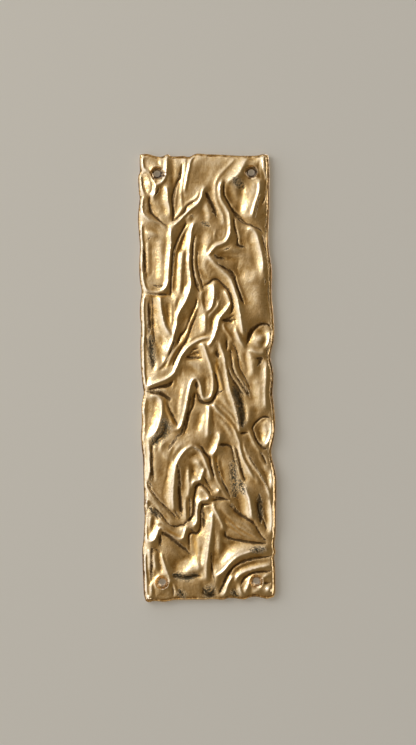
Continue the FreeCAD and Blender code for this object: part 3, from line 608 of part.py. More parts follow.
def right_hand(curve):
    """For each point of a curve, the direction to the right hand of someone walking along it."""
    last = len(curve) - 1
    directions = []
    for k in range(last + 1):
        ahead = curve[min(k + 4, last)]
        behind = curve[max(k - 4, 0)]
        dx = ahead[0] - behind[0]
        dz = ahead[1] - behind[1]
        length = math.hypot(dx, dz) or 1.0
        directions.append((dz / length, -dx / length))
    return directions


def upper_left_hand(curve):
    """The directions across a curve, all on the side that lies more to the upper left."""
    directions = right_hand(curve)
    towards = sum(0.43 * nz - 0.90 * nx for nx, nz in directions)
    return directions if towards > 0 else [(-nx, -nz) for nx, nz in directions]


def fading(count, length, least):
    """How strongly each point of a stroke counts: it fades in and out over a length at its ends."""
    return [min(1.0, max(least, min(k, count - 1 - k) * LINE_STEP / length)) for k in range(count)]


def height_of(level):
    """The height above the back, in mm, of a level in the drawing of the folds."""
    return LIP_HEIGHT + level - LIP_LEVEL


def drawn_edge(points):
    """An edge of the drawing, stretched to the plate's size."""
    return [(STRETCH_X * x, STRETCH_Z * z) for x, z in points]


def lean_beside(leans, curve, directions, side, width, steepness, shape, strengths):
    """Lean the front beside a curve, in strips from the curve outwards."""
    count = max(3, int(math.ceil(width / STRIP)))
    for strip in range(count):
        s = (strip + 0.5) / count
        lean = side * steepness * shape(s)
        for (x, z), (nx, nz), strength in zip(curve, directions, strengths):
            leans.append((STRETCH_X * x + side * s * width * nx, STRETCH_Z * z + side * s * width * nz,
                          lean * nx, lean * nz, strength * LINE_STEP * width / count))


def crest_shape(s):
    """How steep the side of a fold is, from its crest (0) to its foot (1)."""
    return -min(1.0, 3.0 * s + 0.15, 1.8 * (1 - s) + 0.1)


def groove_shape(s):
    """How steep the wall of a groove is, from its bottom (0) to its brim (1)."""
    return min(1.0, 4.0 * s + 0.3, 1.6 * (1 - s) + 0.1)


def strokes():
    """The drawing as narrow leans, broad leans (x, z, rise per mm in x and z, weight) and heights."""
    narrow = []
    broad = []
    heights = []
    for crest, lit, shaded, points in FOLDS:
        curve = smooth_curve(points, LINE_STEP)
        directions = upper_left_hand(curve)
        strengths = fading(len(curve), 2.5, 0.1)
        for side, (width, steepness) in ((1, lit), (-1, shaded)):
            lean_beside(narrow, curve, directions, side, width, steepness, crest_shape, strengths)
        heights += [(STRETCH_X * x, STRETCH_Z * z, height_of(crest), 0.05 * strength)
                    for (x, z), strength in zip(curve, strengths)]
    for level, width, steepness, points in GROOVES:
        curve = smooth_curve(points, LINE_STEP)
        directions = upper_left_hand(curve)
        strengths = fading(len(curve), 2.0, 0.1)
        for side in (1, -1):
            lean_beside(narrow, curve, directions, side, width, steepness, groove_shape,
                        [0.8 * strength for strength in strengths])
        heights += [(STRETCH_X * x, STRETCH_Z * z, height_of(level), 0.05 * strength)
                    for (x, z), strength in zip(curve, strengths)]
    for steepness, width, points in SLOPES:
        curve = smooth_curve(points, LINE_STEP)
        directions = upper_left_hand(curve)
        strengths = fading(len(curve), max(2.0, 0.4 * width), 0.1)
        count = max(3, int(math.ceil(width / STRIP)))
        for strip in range(count):
            across = (strip + 0.5) / count - 0.5
            share = math.cos(math.pi * across) ** 2 * LINE_STEP * width / count
            for (x, z), (nx, nz), strength in zip(curve, directions, strengths):
                broad.append((STRETCH_X * x + across * width * nx, STRETCH_Z * z + across * width * nz,
                              -steepness * nx, -steepness * nz, strength * share))
    return narrow, broad, heights


def table(points, axis):
    """A curve as a list of (place along the axis, place across it), sorted along the axis."""
    rows = [(p[axis], p[1 - axis]) for p in smooth_curve(points, 0.5)]
    rows.sort()
    return rows


def look_up(rows, places):
    """The curve's value at each of the given places, which are in rising order."""
    values = []
    k = 0
    for place in places:
        while k < len(rows) - 2 and rows[k + 1][0] < place:
            k += 1
        (a, fa), (b, fb) = rows[k], rows[k + 1]
        t = min(1.0, max(0.0, (place - a) / (b - a))) if b > a else 0.0
        values.append(fa + t * (fb - fa))
    return values


def edge_distances(xs, zs):
    """How far each point of a grid lies inside the left, right, top and bottom edge, row by row."""
    left = look_up(table(drawn_edge(LEFT_EDGE), 1), zs)
    right = look_up(table(drawn_edge(RIGHT_EDGE), 1), zs)
    top = look_up(table(drawn_edge(TOP_EDGE), 0), xs)
    bottom = look_up(table(drawn_edge(BOTTOM_EDGE), 0), xs)
    return [[(x - left[j], right[j] - x, top[i] - z, z - bottom[i]) for i, x in enumerate(xs)]
            for j, z in enumerate(zs)]


def spread_on_grid(marks, xs, zs, step):
    """The marks' values and weights, each shared by the four grid points around it."""
    columns = len(xs)
    rows = len(zs)
    values = len(marks[0]) - 3
    sums = [[0.0] * (columns * rows) for _ in range(values + 1)]
    for mark in marks:
        across = (mark[0] - xs[0]) / step
        along = (mark[1] - zs[0]) / step
        i = int(across)
        j = int(along)
        if not (0 <= i < columns - 1 and 0 <= j < rows - 1):
            continue
        tx = across - i
        tz = along - j
        n = j * columns + i
        for place, share in ((n, (1 - tx) * (1 - tz)), (n + 1, tx * (1 - tz)),
                             (n + columns, (1 - tx) * tz), (n + columns + 1, tx * tz)):
            weight = share * mark[-1]
            sums[0][place] += weight
            for k in range(values):
                sums[k + 1][place] += weight * mark[2 + k]
    return sums


def edge_lean(distances, trust, lean_x, lean_z):
    """Round the front down to the lip along the four edges."""
    left, right, top, bottom = distances
    for distance, width, steepness, way_x, way_z in (
            (left, SIDE_ROLL, SIDE_STEEPNESS, 1, 0), (right, SIDE_ROLL, SIDE_STEEPNESS, -1, 0),
            (top, END_ROLL, END_STEEPNESS, 0, -1), (bottom, END_ROLL, END_STEEPNESS, 0, 1)):
        if 0 < distance < width:
            share = min(1.0, (width - distance) / (0.5 * width))
            lean_x = lean_x * (1 - share) + way_x * steepness * share
            lean_z = lean_z * (1 - share) + way_z * steepness * share
            trust = max(trust, share)
    return trust, lean_x, lean_z


def relax(step, drawing, start, sweeps):
    """Fit a skin to the leans and heights on a grid of the given step; start gives the first guess."""
    narrow, broad, heights = drawing
    reach_x = 0.5 * PLATE_WIDTH + 1.5
    reach_z = 0.5 * PLATE_HEIGHT + 1.5
    xs = [step * i - reach_x for i in range(int(2 * reach_x / step) + 2)]
    zs = [step * j - reach_z for j in range(int(2 * reach_z / step) + 2)]
    columns = len(xs)
    rows = len(zs)
    size = columns * rows
    area = step * step
    narrow_sum, narrow_x, narrow_z = spread_on_grid(narrow, xs, zs, step)
    broad_sum, broad_x, broad_z = spread_on_grid(broad, xs, zs, step)
    height_sum, height_level = spread_on_grid(heights, xs, zs, step)
    edges = edge_distances(xs, zs)
    trust = [0.0] * size
    lean_x = [0.0] * size
    lean_z = [0.0] * size
    pull = [0.0] * size
    goal = [0.0] * size
    for j, z in enumerate(zs):
        for i, x in enumerate(xs):
            n = j * columns + i
            near = min(1.0, narrow_sum[n] / area)
            far = min(1.0, broad_sum[n] / area)
            narrow_share = 1.0 / max(narrow_sum[n], area)
            broad_share = (1.0 - near) / max(broad_sum[n], area)
            x_lean = narrow_x[n] * narrow_share + broad_x[n] * broad_share
            z_lean = narrow_z[n] * narrow_share + broad_z[n] * broad_share
            sure = 0.10 + 0.90 * max(near, 0.6 * far)
            left, right, top, bottom = edges[j][i]
            sure, x_lean, z_lean = edge_lean((left, right, top, bottom), sure, x_lean, z_lean)
            pull[n] = 0.0035 * area + height_sum[n]
            goal[n] = 0.0035 * area * height_of(MIDDLE_LEVEL) + height_level[n]
            for hole_x, hole_z in HOLES:
                if math.hypot(x - hole_x, z - hole_z) < SINK_RADIUS:
                    sure, x_lean, z_lean = 1.0, 0.0, 0.0
                    pull[n], goal[n] = 0.02 * area, 0.02 * area * HOLE_SEAT
            if min(left, right, top, bottom) < LIP_WIDTH:
                pull[n], goal[n] = 1000.0, 1000.0 * LIP_HEIGHT
            trust[n], lean_x[n], lean_z[n] = sure, x_lean, z_lean
    for level, radius, (x, z) in SPOTS:
        reach = max(0.6 * radius, 0.75 * step)
        middle_x = STRETCH_X * x
        middle_z = STRETCH_Z * z
        for j in range(rows):
            if abs(zs[j] - middle_z) < reach:
                for i in range(columns):
                    if math.hypot(xs[i] - middle_x, zs[j] - middle_z) < reach:
                        pull[j * columns + i] += 2.0
                        goal[j * columns + i] += 2.0 * height_of(level)
    east = [0.0] * size
    north = [0.0] * size
    push = goal
    total = pull
    for n in range(size):
        if (n + 1) % columns:
            east[n] = 0.5 * (trust[n] + trust[n + 1])
            rise = east[n] * 0.5 * (lean_x[n] + lean_x[n + 1]) * step
            push[n] -= rise
            push[n + 1] += rise
            total[n] += east[n]
            total[n + 1] += east[n]
        if n + columns < size:
            north[n] = 0.5 * (trust[n] + trust[n + columns])
            rise = north[n] * 0.5 * (lean_z[n] + lean_z[n + columns]) * step
            push[n] -= rise
            push[n + columns] += rise
            total[n] += north[n]
            total[n + columns] += north[n]
    height = [start(x, z) for z in zs for x in xs]
    height += [0.0] * columns
    east += [0.0] * columns
    north += [0.0] * columns
    for _ in range(sweeps):
        for n in range(size):
            level = (push[n] + east[n] * height[n + 1] + east[n - 1] * height[n - 1]
                     + north[n] * height[n + columns] + north[n - columns] * height[n - columns]) / total[n]
            height[n] += OVER_RELAX * (level - height[n])
    return xs, zs, height[:size]


def reader(xs, zs, height):
    """A function that gives the height at any place of a grid, by straight mixing."""
    columns = len(xs)
    step = xs[1] - xs[0]

    def read(x, z):
        across = min(max((x - xs[0]) / step, 0.0), len(xs) - 1.001)
        along = min(max((z - zs[0]) / step, 0.0), len(zs) - 1.001)
        i = int(across)
        j = int(along)
        tx = across - i
        tz = along - j
        n = j * columns + i
        low = height[n] * (1 - tx) + height[n + 1] * tx
        high = height[n + columns] * (1 - tx) + height[n + columns + 1] * tx
        return low * (1 - tz) + high * tz

    return read


def solved_front():
    """The height of the front at any place, found on ever finer grids."""
    drawing = strokes()
    read = lambda x, z: height_of(MIDDLE_LEVEL)
    for step, sweeps in ((8 * FIELD_STEP, 90), (4 * FIELD_STEP, 90), (2 * FIELD_STEP, 80), (FIELD_STEP, 70)):
        xs, zs, height = relax(step, drawing, read, sweeps)
        read = reader(xs, zs, height)
    rise = FOLD_RISE / (max(height) - LIP_HEIGHT)
    raised = [LIP_HEIGHT + rise * (level - LIP_HEIGHT) for level in height]
    return reader(xs, zs, raised)


def outline_points(columns, rows):
    """The plate's plan as a grid of points that follows the four wavy edges."""
    def spread(points, count):
        curve = smooth_curve(points, 0.25)
        runs = [0.0]
        for a, b in zip(curve[:-1], curve[1:]):
            runs.append(runs[-1] + math.hypot(b[0] - a[0], b[1] - a[1]))
        out = []
        k = 0
        for n in range(count + 1):
            run = runs[-1] * n / count
            while k < len(runs) - 2 and runs[k + 1] < run:
                k += 1
            t = (run - runs[k]) / ((runs[k + 1] - runs[k]) or 1.0)
            a, b = curve[k], curve[k + 1]
            out.append((a[0] + t * (b[0] - a[0]), a[1] + t * (b[1] - a[1])))
        return out

    left = spread(drawn_edge(LEFT_EDGE)[::-1], rows)
    right = spread(drawn_edge(RIGHT_EDGE)[::-1], rows)
    top = spread(drawn_edge(TOP_EDGE), columns)
    bottom = spread(drawn_edge(BOTTOM_EDGE), columns)
    grid = []
    for j in range(rows + 1):
        v = j / rows
        row = []
        for i in range(columns + 1):
            u = i / columns
            row.append(tuple(
                (1 - v) * bottom[i][n] + v * top[i][n] + (1 - u) * left[j][n] + u * right[j][n]
                - (1 - u) * (1 - v) * bottom[0][n] - u * (1 - v) * bottom[-1][n]
                - (1 - u) * v * top[0][n] - u * v * top[-1][n]
                for n in (0, 1)))
        grid.append(row)
    return grid


def fine_mesh(read):
    """The closed plate as a fine mesh: folded front, sides and flat back."""
    columns = int(round(PLATE_WIDTH / MESH_STEP))
    rows = int(round(PLATE_HEIGHT / MESH_STEP))
    grid = outline_points(columns, rows)
    points = []
    for j, row in enumerate(grid):
        for i, (x, z) in enumerate(row):
            on_edge = i in (0, columns) or j in (0, rows)
            height = LIP_HEIGHT - LIP_CHAMFER if on_edge else read(x, z)
            points.append((x, -height, z))
    width = columns + 1
    triangles = []
    for j in range(rows):
        for i in range(columns):
            a = j * width + i
            b, c, d = a + 1, a + width + 1, a + width
            if (i + j) % 2:
                triangles += [(a, b, c), (a, c, d)]
            else:
                triangles += [(a, b, d), (b, c, d)]
    ring = [i for i in range(columns)]
    ring += [j * width + columns for j in range(rows)]
    ring += [rows * width + i for i in range(columns, 0, -1)]
    ring += [j * width for j in range(rows, 0, -1)]
    base = len(points)
    points += [(points[n][0], 0.0, points[n][2]) for n in ring]
    count = len(ring)
    for k in range(count):
        a, b = ring[k], ring[(k + 1) % count]
        c, d = base + (k + 1) % count, base + k
        triangles += [(b, a, d), (b, d, c)]
    return Mesh.Mesh([[points[n] for n in triangle] for triangle in triangles])


def ordered_loop(edges):
    """The corner numbers of one closed loop, from its directed edges."""
    following = dict(edges)
    start = edges[0][0]
    loop = [start]
    place = following[start]
    while place != start:
        loop.append(place)
        place = following[place]
    return loop


def plate_solid():
    """The whole plate as one solid of flat facets with a single flat back face."""
    mesh = fine_mesh(solved_front())
    mesh.decimate(int(FACETS))
    corners, triangles = mesh.Topology
    points = [FreeCAD.Vector(p.x, 0.0 if abs(p.y) < FLAT else p.y, p.z) for p in corners]
    skin = Part.Shape()
    skin.makeShapeFromMesh((points, [tuple(t) for t in triangles]), 0.0005)
    used = set()
    for a, b, c in triangles:
        used.update(((a, b), (b, c), (c, a)))
    open_edges = [(b, a) for a, b in used if (b, a) not in used]
    loop = ordered_loop(open_edges)
    outline = [points[n] for n in loop]
    back = Part.Face(Part.makePolygon(outline + [outline[0]]))
    shell = Part.makeCompound([skin, back]).copy()
    shell.sewShape()
    solid = Part.Solid(shell.Shells[0] if shell.ShapeType != "Shell" else shell)
    if solid.Volume < 0:
        solid.reverse()
    return solid


def screw_hole(x, z):
    """A cutter for one screw hole: a clear bore with a cone for the screw's head in front of it."""
    forward = FreeCAD.Vector(0, -1, 0)
    cone_depth = (SINK_RADIUS - HOLE_RADIUS) / math.tan(math.radians(SINK_ANGLE / 2))
    cone_from = HOLE_SEAT - cone_depth
    bore = Part.makeCylinder(HOLE_RADIUS, cone_from + 1.0, FreeCAD.Vector(x, 1.0, z), forward)
    cone = Part.makeCone(HOLE_RADIUS, SINK_RADIUS, cone_depth, FreeCAD.Vector(x, -cone_from, z), forward)
    clear = Part.makeCylinder(SINK_RADIUS, 10.0, FreeCAD.Vector(x, -HOLE_SEAT, z), forward)
    return bore.fuse(cone).fuse(clear)


os.makedirs("parts", exist_ok=True)
plate = plate_solid()
for hole_x, hole_z in HOLES:
    plate = plate.cut(screw_hole(hole_x, hole_z))
plate = plate.Solids[0]
plate.exportStep("parts/finger_plate.step")
print("valid", plate.isValid(), "faces", len(plate.Faces), "box", plate.BoundBox)
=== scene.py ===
"""A cast brass door finger plate, its front worked into soft molten folds, lying on a pale board."""

import math

import bpy
import numpy as np
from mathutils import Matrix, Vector


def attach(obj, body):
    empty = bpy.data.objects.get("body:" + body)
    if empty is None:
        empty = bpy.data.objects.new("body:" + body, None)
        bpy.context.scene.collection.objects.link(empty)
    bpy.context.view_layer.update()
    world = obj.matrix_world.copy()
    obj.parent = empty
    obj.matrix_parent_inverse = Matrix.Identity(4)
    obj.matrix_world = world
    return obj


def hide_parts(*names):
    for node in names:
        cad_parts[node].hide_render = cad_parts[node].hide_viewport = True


MM = 0.001

# the whole plate (mm)
PLATE_WIDTH = 90.4
PLATE_HEIGHT = 299.8

# the casting, forward from its back (mm): the lip, and how far the highest fold stands above it
LIP_HEIGHT = 3.0
LIP_WIDTH = 0.8
LIP_ROUND = 0.55
FOLD_RISE = 5.4

# the bead along the lip (mm), and the width of the dip inside it as a share of the bead's
BEAD_WIDTH = 1.25
BEAD_DEPTH = 0.6
DIP_SHARE = 0.4

# the roll down to the lip: its width (mm) and its rise per mm, along the sides and along the ends
SIDE_ROLL = 1.8
SIDE_STEEPNESS = 1.5
END_ROLL = 1.1
END_STEEPNESS = 1.2

# levels in the drawing of the folds: the lip's, and the one that the front keeps where nothing is drawn
LIP_LEVEL = 3.0
MIDDLE_LEVEL = 5.6

# screw holes, countersunk for a 4 mm wood screw (mm): upper left, upper right, lower left, lower right
HOLE_FROM_SIDE = 13.7
HOLE_FROM_END = 13.4
HOLE_RADIUS = 2.2
SINK_RADIUS = 4.4
HOLE_SEAT = 5.5
HOLES = [(side * (PLATE_WIDTH / 2 - HOLE_FROM_SIDE), end * (PLATE_HEIGHT / 2 - HOLE_FROM_END))
         for end in (1, -1) for side in (-1, 1)]

# the cutter that drills a hole: its sides, and how far it stands out behind and in front of the plate (mm)
CUTTER_SIDES = 48
CUTTER_SPARE = 2.0
CUTTER_REACH = 3.5

# the lines of the drawing and the strips beside them (mm), and how many points to each side give a line
# its way
LINE_STEP = 0.4
STRIP = 0.4
EDGE_STEP = 0.5
WAY_POINTS = 4

# how a stroke counts: the length over which it fades in at its ends (mm; for a broad slope at least this,
# or a share of its width), what is left at the very ends, a groove's share beside a fold, and the weight of
# a stroke's level
FOLD_FADE = 2.5
GROOVE_FADE = 2.0
SLOPE_FADE = 2.0
SLOPE_FADE_SHARE = 0.4
END_STRENGTH = 0.1
GROOVE_SHARE = 0.8
LEVEL_WEIGHT = 0.05

# the grid on which the front is worked out (mm): its finest step, its margin round the plate, how far the
# sharp corners are rubbed down, and how often and how boldly each point is moved
FIELD_STEP = 0.45
FIELD_MARGIN = 1.5
EDGE_SOFTNESS = 0.22
SWEEPS = 120
BOLDNESS = 1.7

# how firmly a place follows its lean where little or only a broad slope is drawn
LEAST_TRUST = 0.10
BROAD_TRUST = 0.6

# how hard the front is pulled to the middle level, to the level of a spot, to a screw's seat and to the lip
MIDDLE_PULL = 0.0035
SPOT_PULL = 2.0
SEAT_PULL = 0.3
LIP_PULL = 1000.0

# how much of a spot is held at its level: a share of its radius, and never less than this share of a step of
# the grid, so that a coarse grid still finds it
SPOT_CORE = 0.6
SPOT_LEAST = 0.75

# the mesh laid over the front, with finer lines (mm) along its edges to shape the lip
COLUMNS = 162
ROWS = 506
FINE_LINES = 12
FINE_STEP = 0.3
SMOOTH_ANGLE = 45

# the brass from its hollows (0) to its crests (1): patina and painted shade low, rubbed brass and painted
# highlight high;
# then golden streaks (bare brass and painted reflection), specks, tarnish with painted shade, and pitted
# brass
PATINA_AND_PAINTED_LIGHT_TONES = (
    (0.00, (0.36, 0.188, 0.054)),
    (0.24, (0.60, 0.358, 0.120)),
    (0.45, (0.80, 0.548, 0.258)),
    (1.00, (0.92, 0.725, 0.465)),
)
GOLD_AND_GLINT_TONE = (0.76, 0.41, 0.085)
SPECK_TONE = (0.34, 0.19, 0.06)
TARNISH_AND_SHADE_TONE = (0.125, 0.074, 0.030)
PIT_TONE = (0.060, 0.054, 0.034)

# the patterns in the brass, in bumps per metre
WORKED_SCALE = 150.0
CLOUD_SCALE = 240.0
PATCH_SCALE = 380.0
SPECK_SCALE = 850.0
FLECK_SCALE = 1050.0
GRAIN_SCALE = 1400.0

# how rough the polished brass is, from its smoothest to its dullest, and how much rougher it is where tarnish
# and painted shade lie
POLISHED = 0.11
DULL = 0.20
TARNISH_AND_SHADE_ROUGHNESS = 0.22

# how deep the skin's unevenness, its fine grain and its pits are (m), and how strongly each shows
WORKED_DEPTH = 0.0009
WORKED_STRENGTH = 0.5
GRAIN_DEPTH = 0.00010
PIT_DEPTH = 0.0003
SKIN_STRENGTH = 0.7

# over what reach (mm) a crest or a hollow is told from the front around it, finely and broadly
FINE_REACH = 1.2
BROAD_REACH = 4.0

# a mark of wear: the length over which it narrows at its ends (mm), the share of its width left there, how
# firm its middle is, and how far it reaches as a share of its width
STROKE_TAPER = 5.0
STROKE_END = 0.35
STROKE_FIRMNESS = 1.3
STROKE_REACH = 0.72

# the dark in the steeper grooves, partly tarnish and partly painted shade: how wide (mm) and how strong
CREASE_DIRT_AND_SHADE_WIDTH = 1.5
CREASE_DIRT_AND_SHADE = 0.8
CREASE_STEEPNESS = 0.5

# how dark each screw hole's seat is made, partly tarnish and partly painted shade in the countersink, in the
# order of the holes (over 1: dark right through), and how far round the seat that goes (mm)
HOLE_TARNISH_AND_SHADE = (1.15, 1.2, 0.75, 0.75)
HOLE_RING = 0.35

# how dark the hollow inside the edge bead (tarnish and painted shade) and the outer wall are made, from 0 to
# 1: the hollow's middle lies this far inside the bead, and the dark of the wall starts this far above its top
#    (mm)
BEAD_TARNISH_AND_SHADE = 0.55
BEAD_HOLLOW = 0.3
WALL_DARKENING = 0.45
WALL_TOP = 0.1

# the width over which the darkening at the holes and the bead, and that on the wall, ends (mm)
TARNISH_EDGE = 0.5
WALL_EDGE = 0.3

# the flat back stays as it was cast: dull all over, on everything this near to it (mm)
BACK_TARNISH = 0.62
BACK_SKIN = 0.05

# the board behind (m), and how much it glows by itself so that the plate's shadow stays faint
BOARD_SIZE = 4.0
BOARD_BEHIND = 0.0012
BOARD_TONE = (0.530, 0.498, 0.428)
BOARD_GLOW = 0.16

# the way to the big white cloth at the upper left that lights the plate (x, z)
TO_CLOTH = (-0.90, 0.43)

# the light of the room, from the dim lower right (0) past the front (0.5) to the white cloth (1)
ROOM_STRENGTH = 2.6
ROOM_LIGHT = (
    (0.06, (0.062, 0.048, 0.026)),
    (0.34, (0.088, 0.070, 0.043)),
    (0.48, (0.153, 0.131, 0.100)),
    (0.60, (0.218, 0.207, 0.190)),
    (0.70, (0.340, 0.350, 0.380)),
    (0.79, (0.410, 0.440, 0.520)),
    (0.94, (0.500, 0.560, 0.680)),
)

# soft lamps: name, place (m), size (m), power (W), colour
LAMPS = (
    ("key", (-1.3, -1.1, 0.7), (0.9, 0.9), 10, (1.0, 0.97, 0.92)),
    ("back_fill", (0.9, 1.6, 0.7), (1.2, 1.2), 16, (1.0, 1.0, 1.0)),
    ("edge_strip", (1.1, 0.45, -0.25), (0.5, 1.6), 5, (1.0, 0.95, 0.88)),
)

# the camera, straight in front: how far away, to the right and up (mm), its roll (degrees), its lens (mm)
CAMERA_AWAY = 1386.0
CAMERA_RIGHT = 0.94
CAMERA_UP = 3.15
CAMERA_ROLL = 0.70
CAMERA_LENS = 100.0

# The drawing of the front, seen from the front: x to the right and z up from the middle, in mm.
LEFT_EDGE = [(-43, 149.5), (-43.2, 143), (-43.1, 138), (-44.3, 134), (-43.9, 124), (-43.5, 120),
             (-44.6, 110), (-44.7, 103), (-44.2, 95.5), (-43.7, 88), (-44.1, 80), (-44.4, 73), (-44, 65),
             (-43, 58), (-44, 50), (-44.3, 42), (-43.7, 35), (-44.1, 25), (-44.3, 19), (-44, 8), (-43.5, 0),
             (-42.8, -6), (-42.3, -10), (-43.2, -14.5), (-44, -20), (-43.9, -30), (-44.5, -38),
             (-44.2, -46), (-43.3, -54), (-43.2, -64), (-43.1, -72), (-42.9, -80), (-43.1, -86),
             (-42.7, -92), (-43.2, -100), (-43.7, -108), (-44.6, -115), (-44.5, -126), (-44.2, -136),
             (-43.9, -144), (-42.8, -149)]
RIGHT_EDGE = [(42.9, 148), (43.6, 141), (43.7, 134), (43.5, 125), (43.4, 114), (42.7, 100), (42.4, 91),
              (43.1, 82), (44.2, 75), (44.6, 68), (44.3, 60), (44.4, 52), (45, 44), (45.5, 36), (45.6, 29),
              (45, 23), (43.4, 17), (42.9, 13), (43.7, 8), (44.7, 3), (44.6, -4), (44, -10), (44.6, -17),
              (45.3, -25), (45.5, -31), (44.9, -39), (43.8, -44), (42.7, -49), (43, -54), (44.6, -61),
              (45.7, -68), (45.7, -80), (45.2, -90), (45.1, -100), (44.7, -107), (43.9, -112),
              (44.7, -117.5), (43.7, -121), (44.2, -127), (44.3, -138), (44.2, -144), (43.2, -147.5)]
TOP_EDGE = [(-43, 149.5), (-38, 149.9), (-33, 148.5), (-28.5, 147.9), (-24.5, 149.5), (-21.5, 148.1),
            (-14, 148.2), (-9.8, 147.7), (-5, 149.7), (2, 149.2), (12, 148.8), (22, 148), (30, 147.8),
            (36, 148), (39.5, 148.8), (42.9, 148)]
BOTTOM_EDGE = [(-42.8, -149), (-40.5, -150), (-36.6, -149.3), (-29.6, -149.9), (-23.3, -148.7),
               (-17.3, -148.7), (-10, -148.6), (-3.5, -148.8), (3, -148.5), (9, -149), (13, -147.9),
               (18, -148.2), (23, -149), (27, -147.6), (31, -147.2), (35.2, -148), (39, -148.7),
               (43.2, -147.5)]

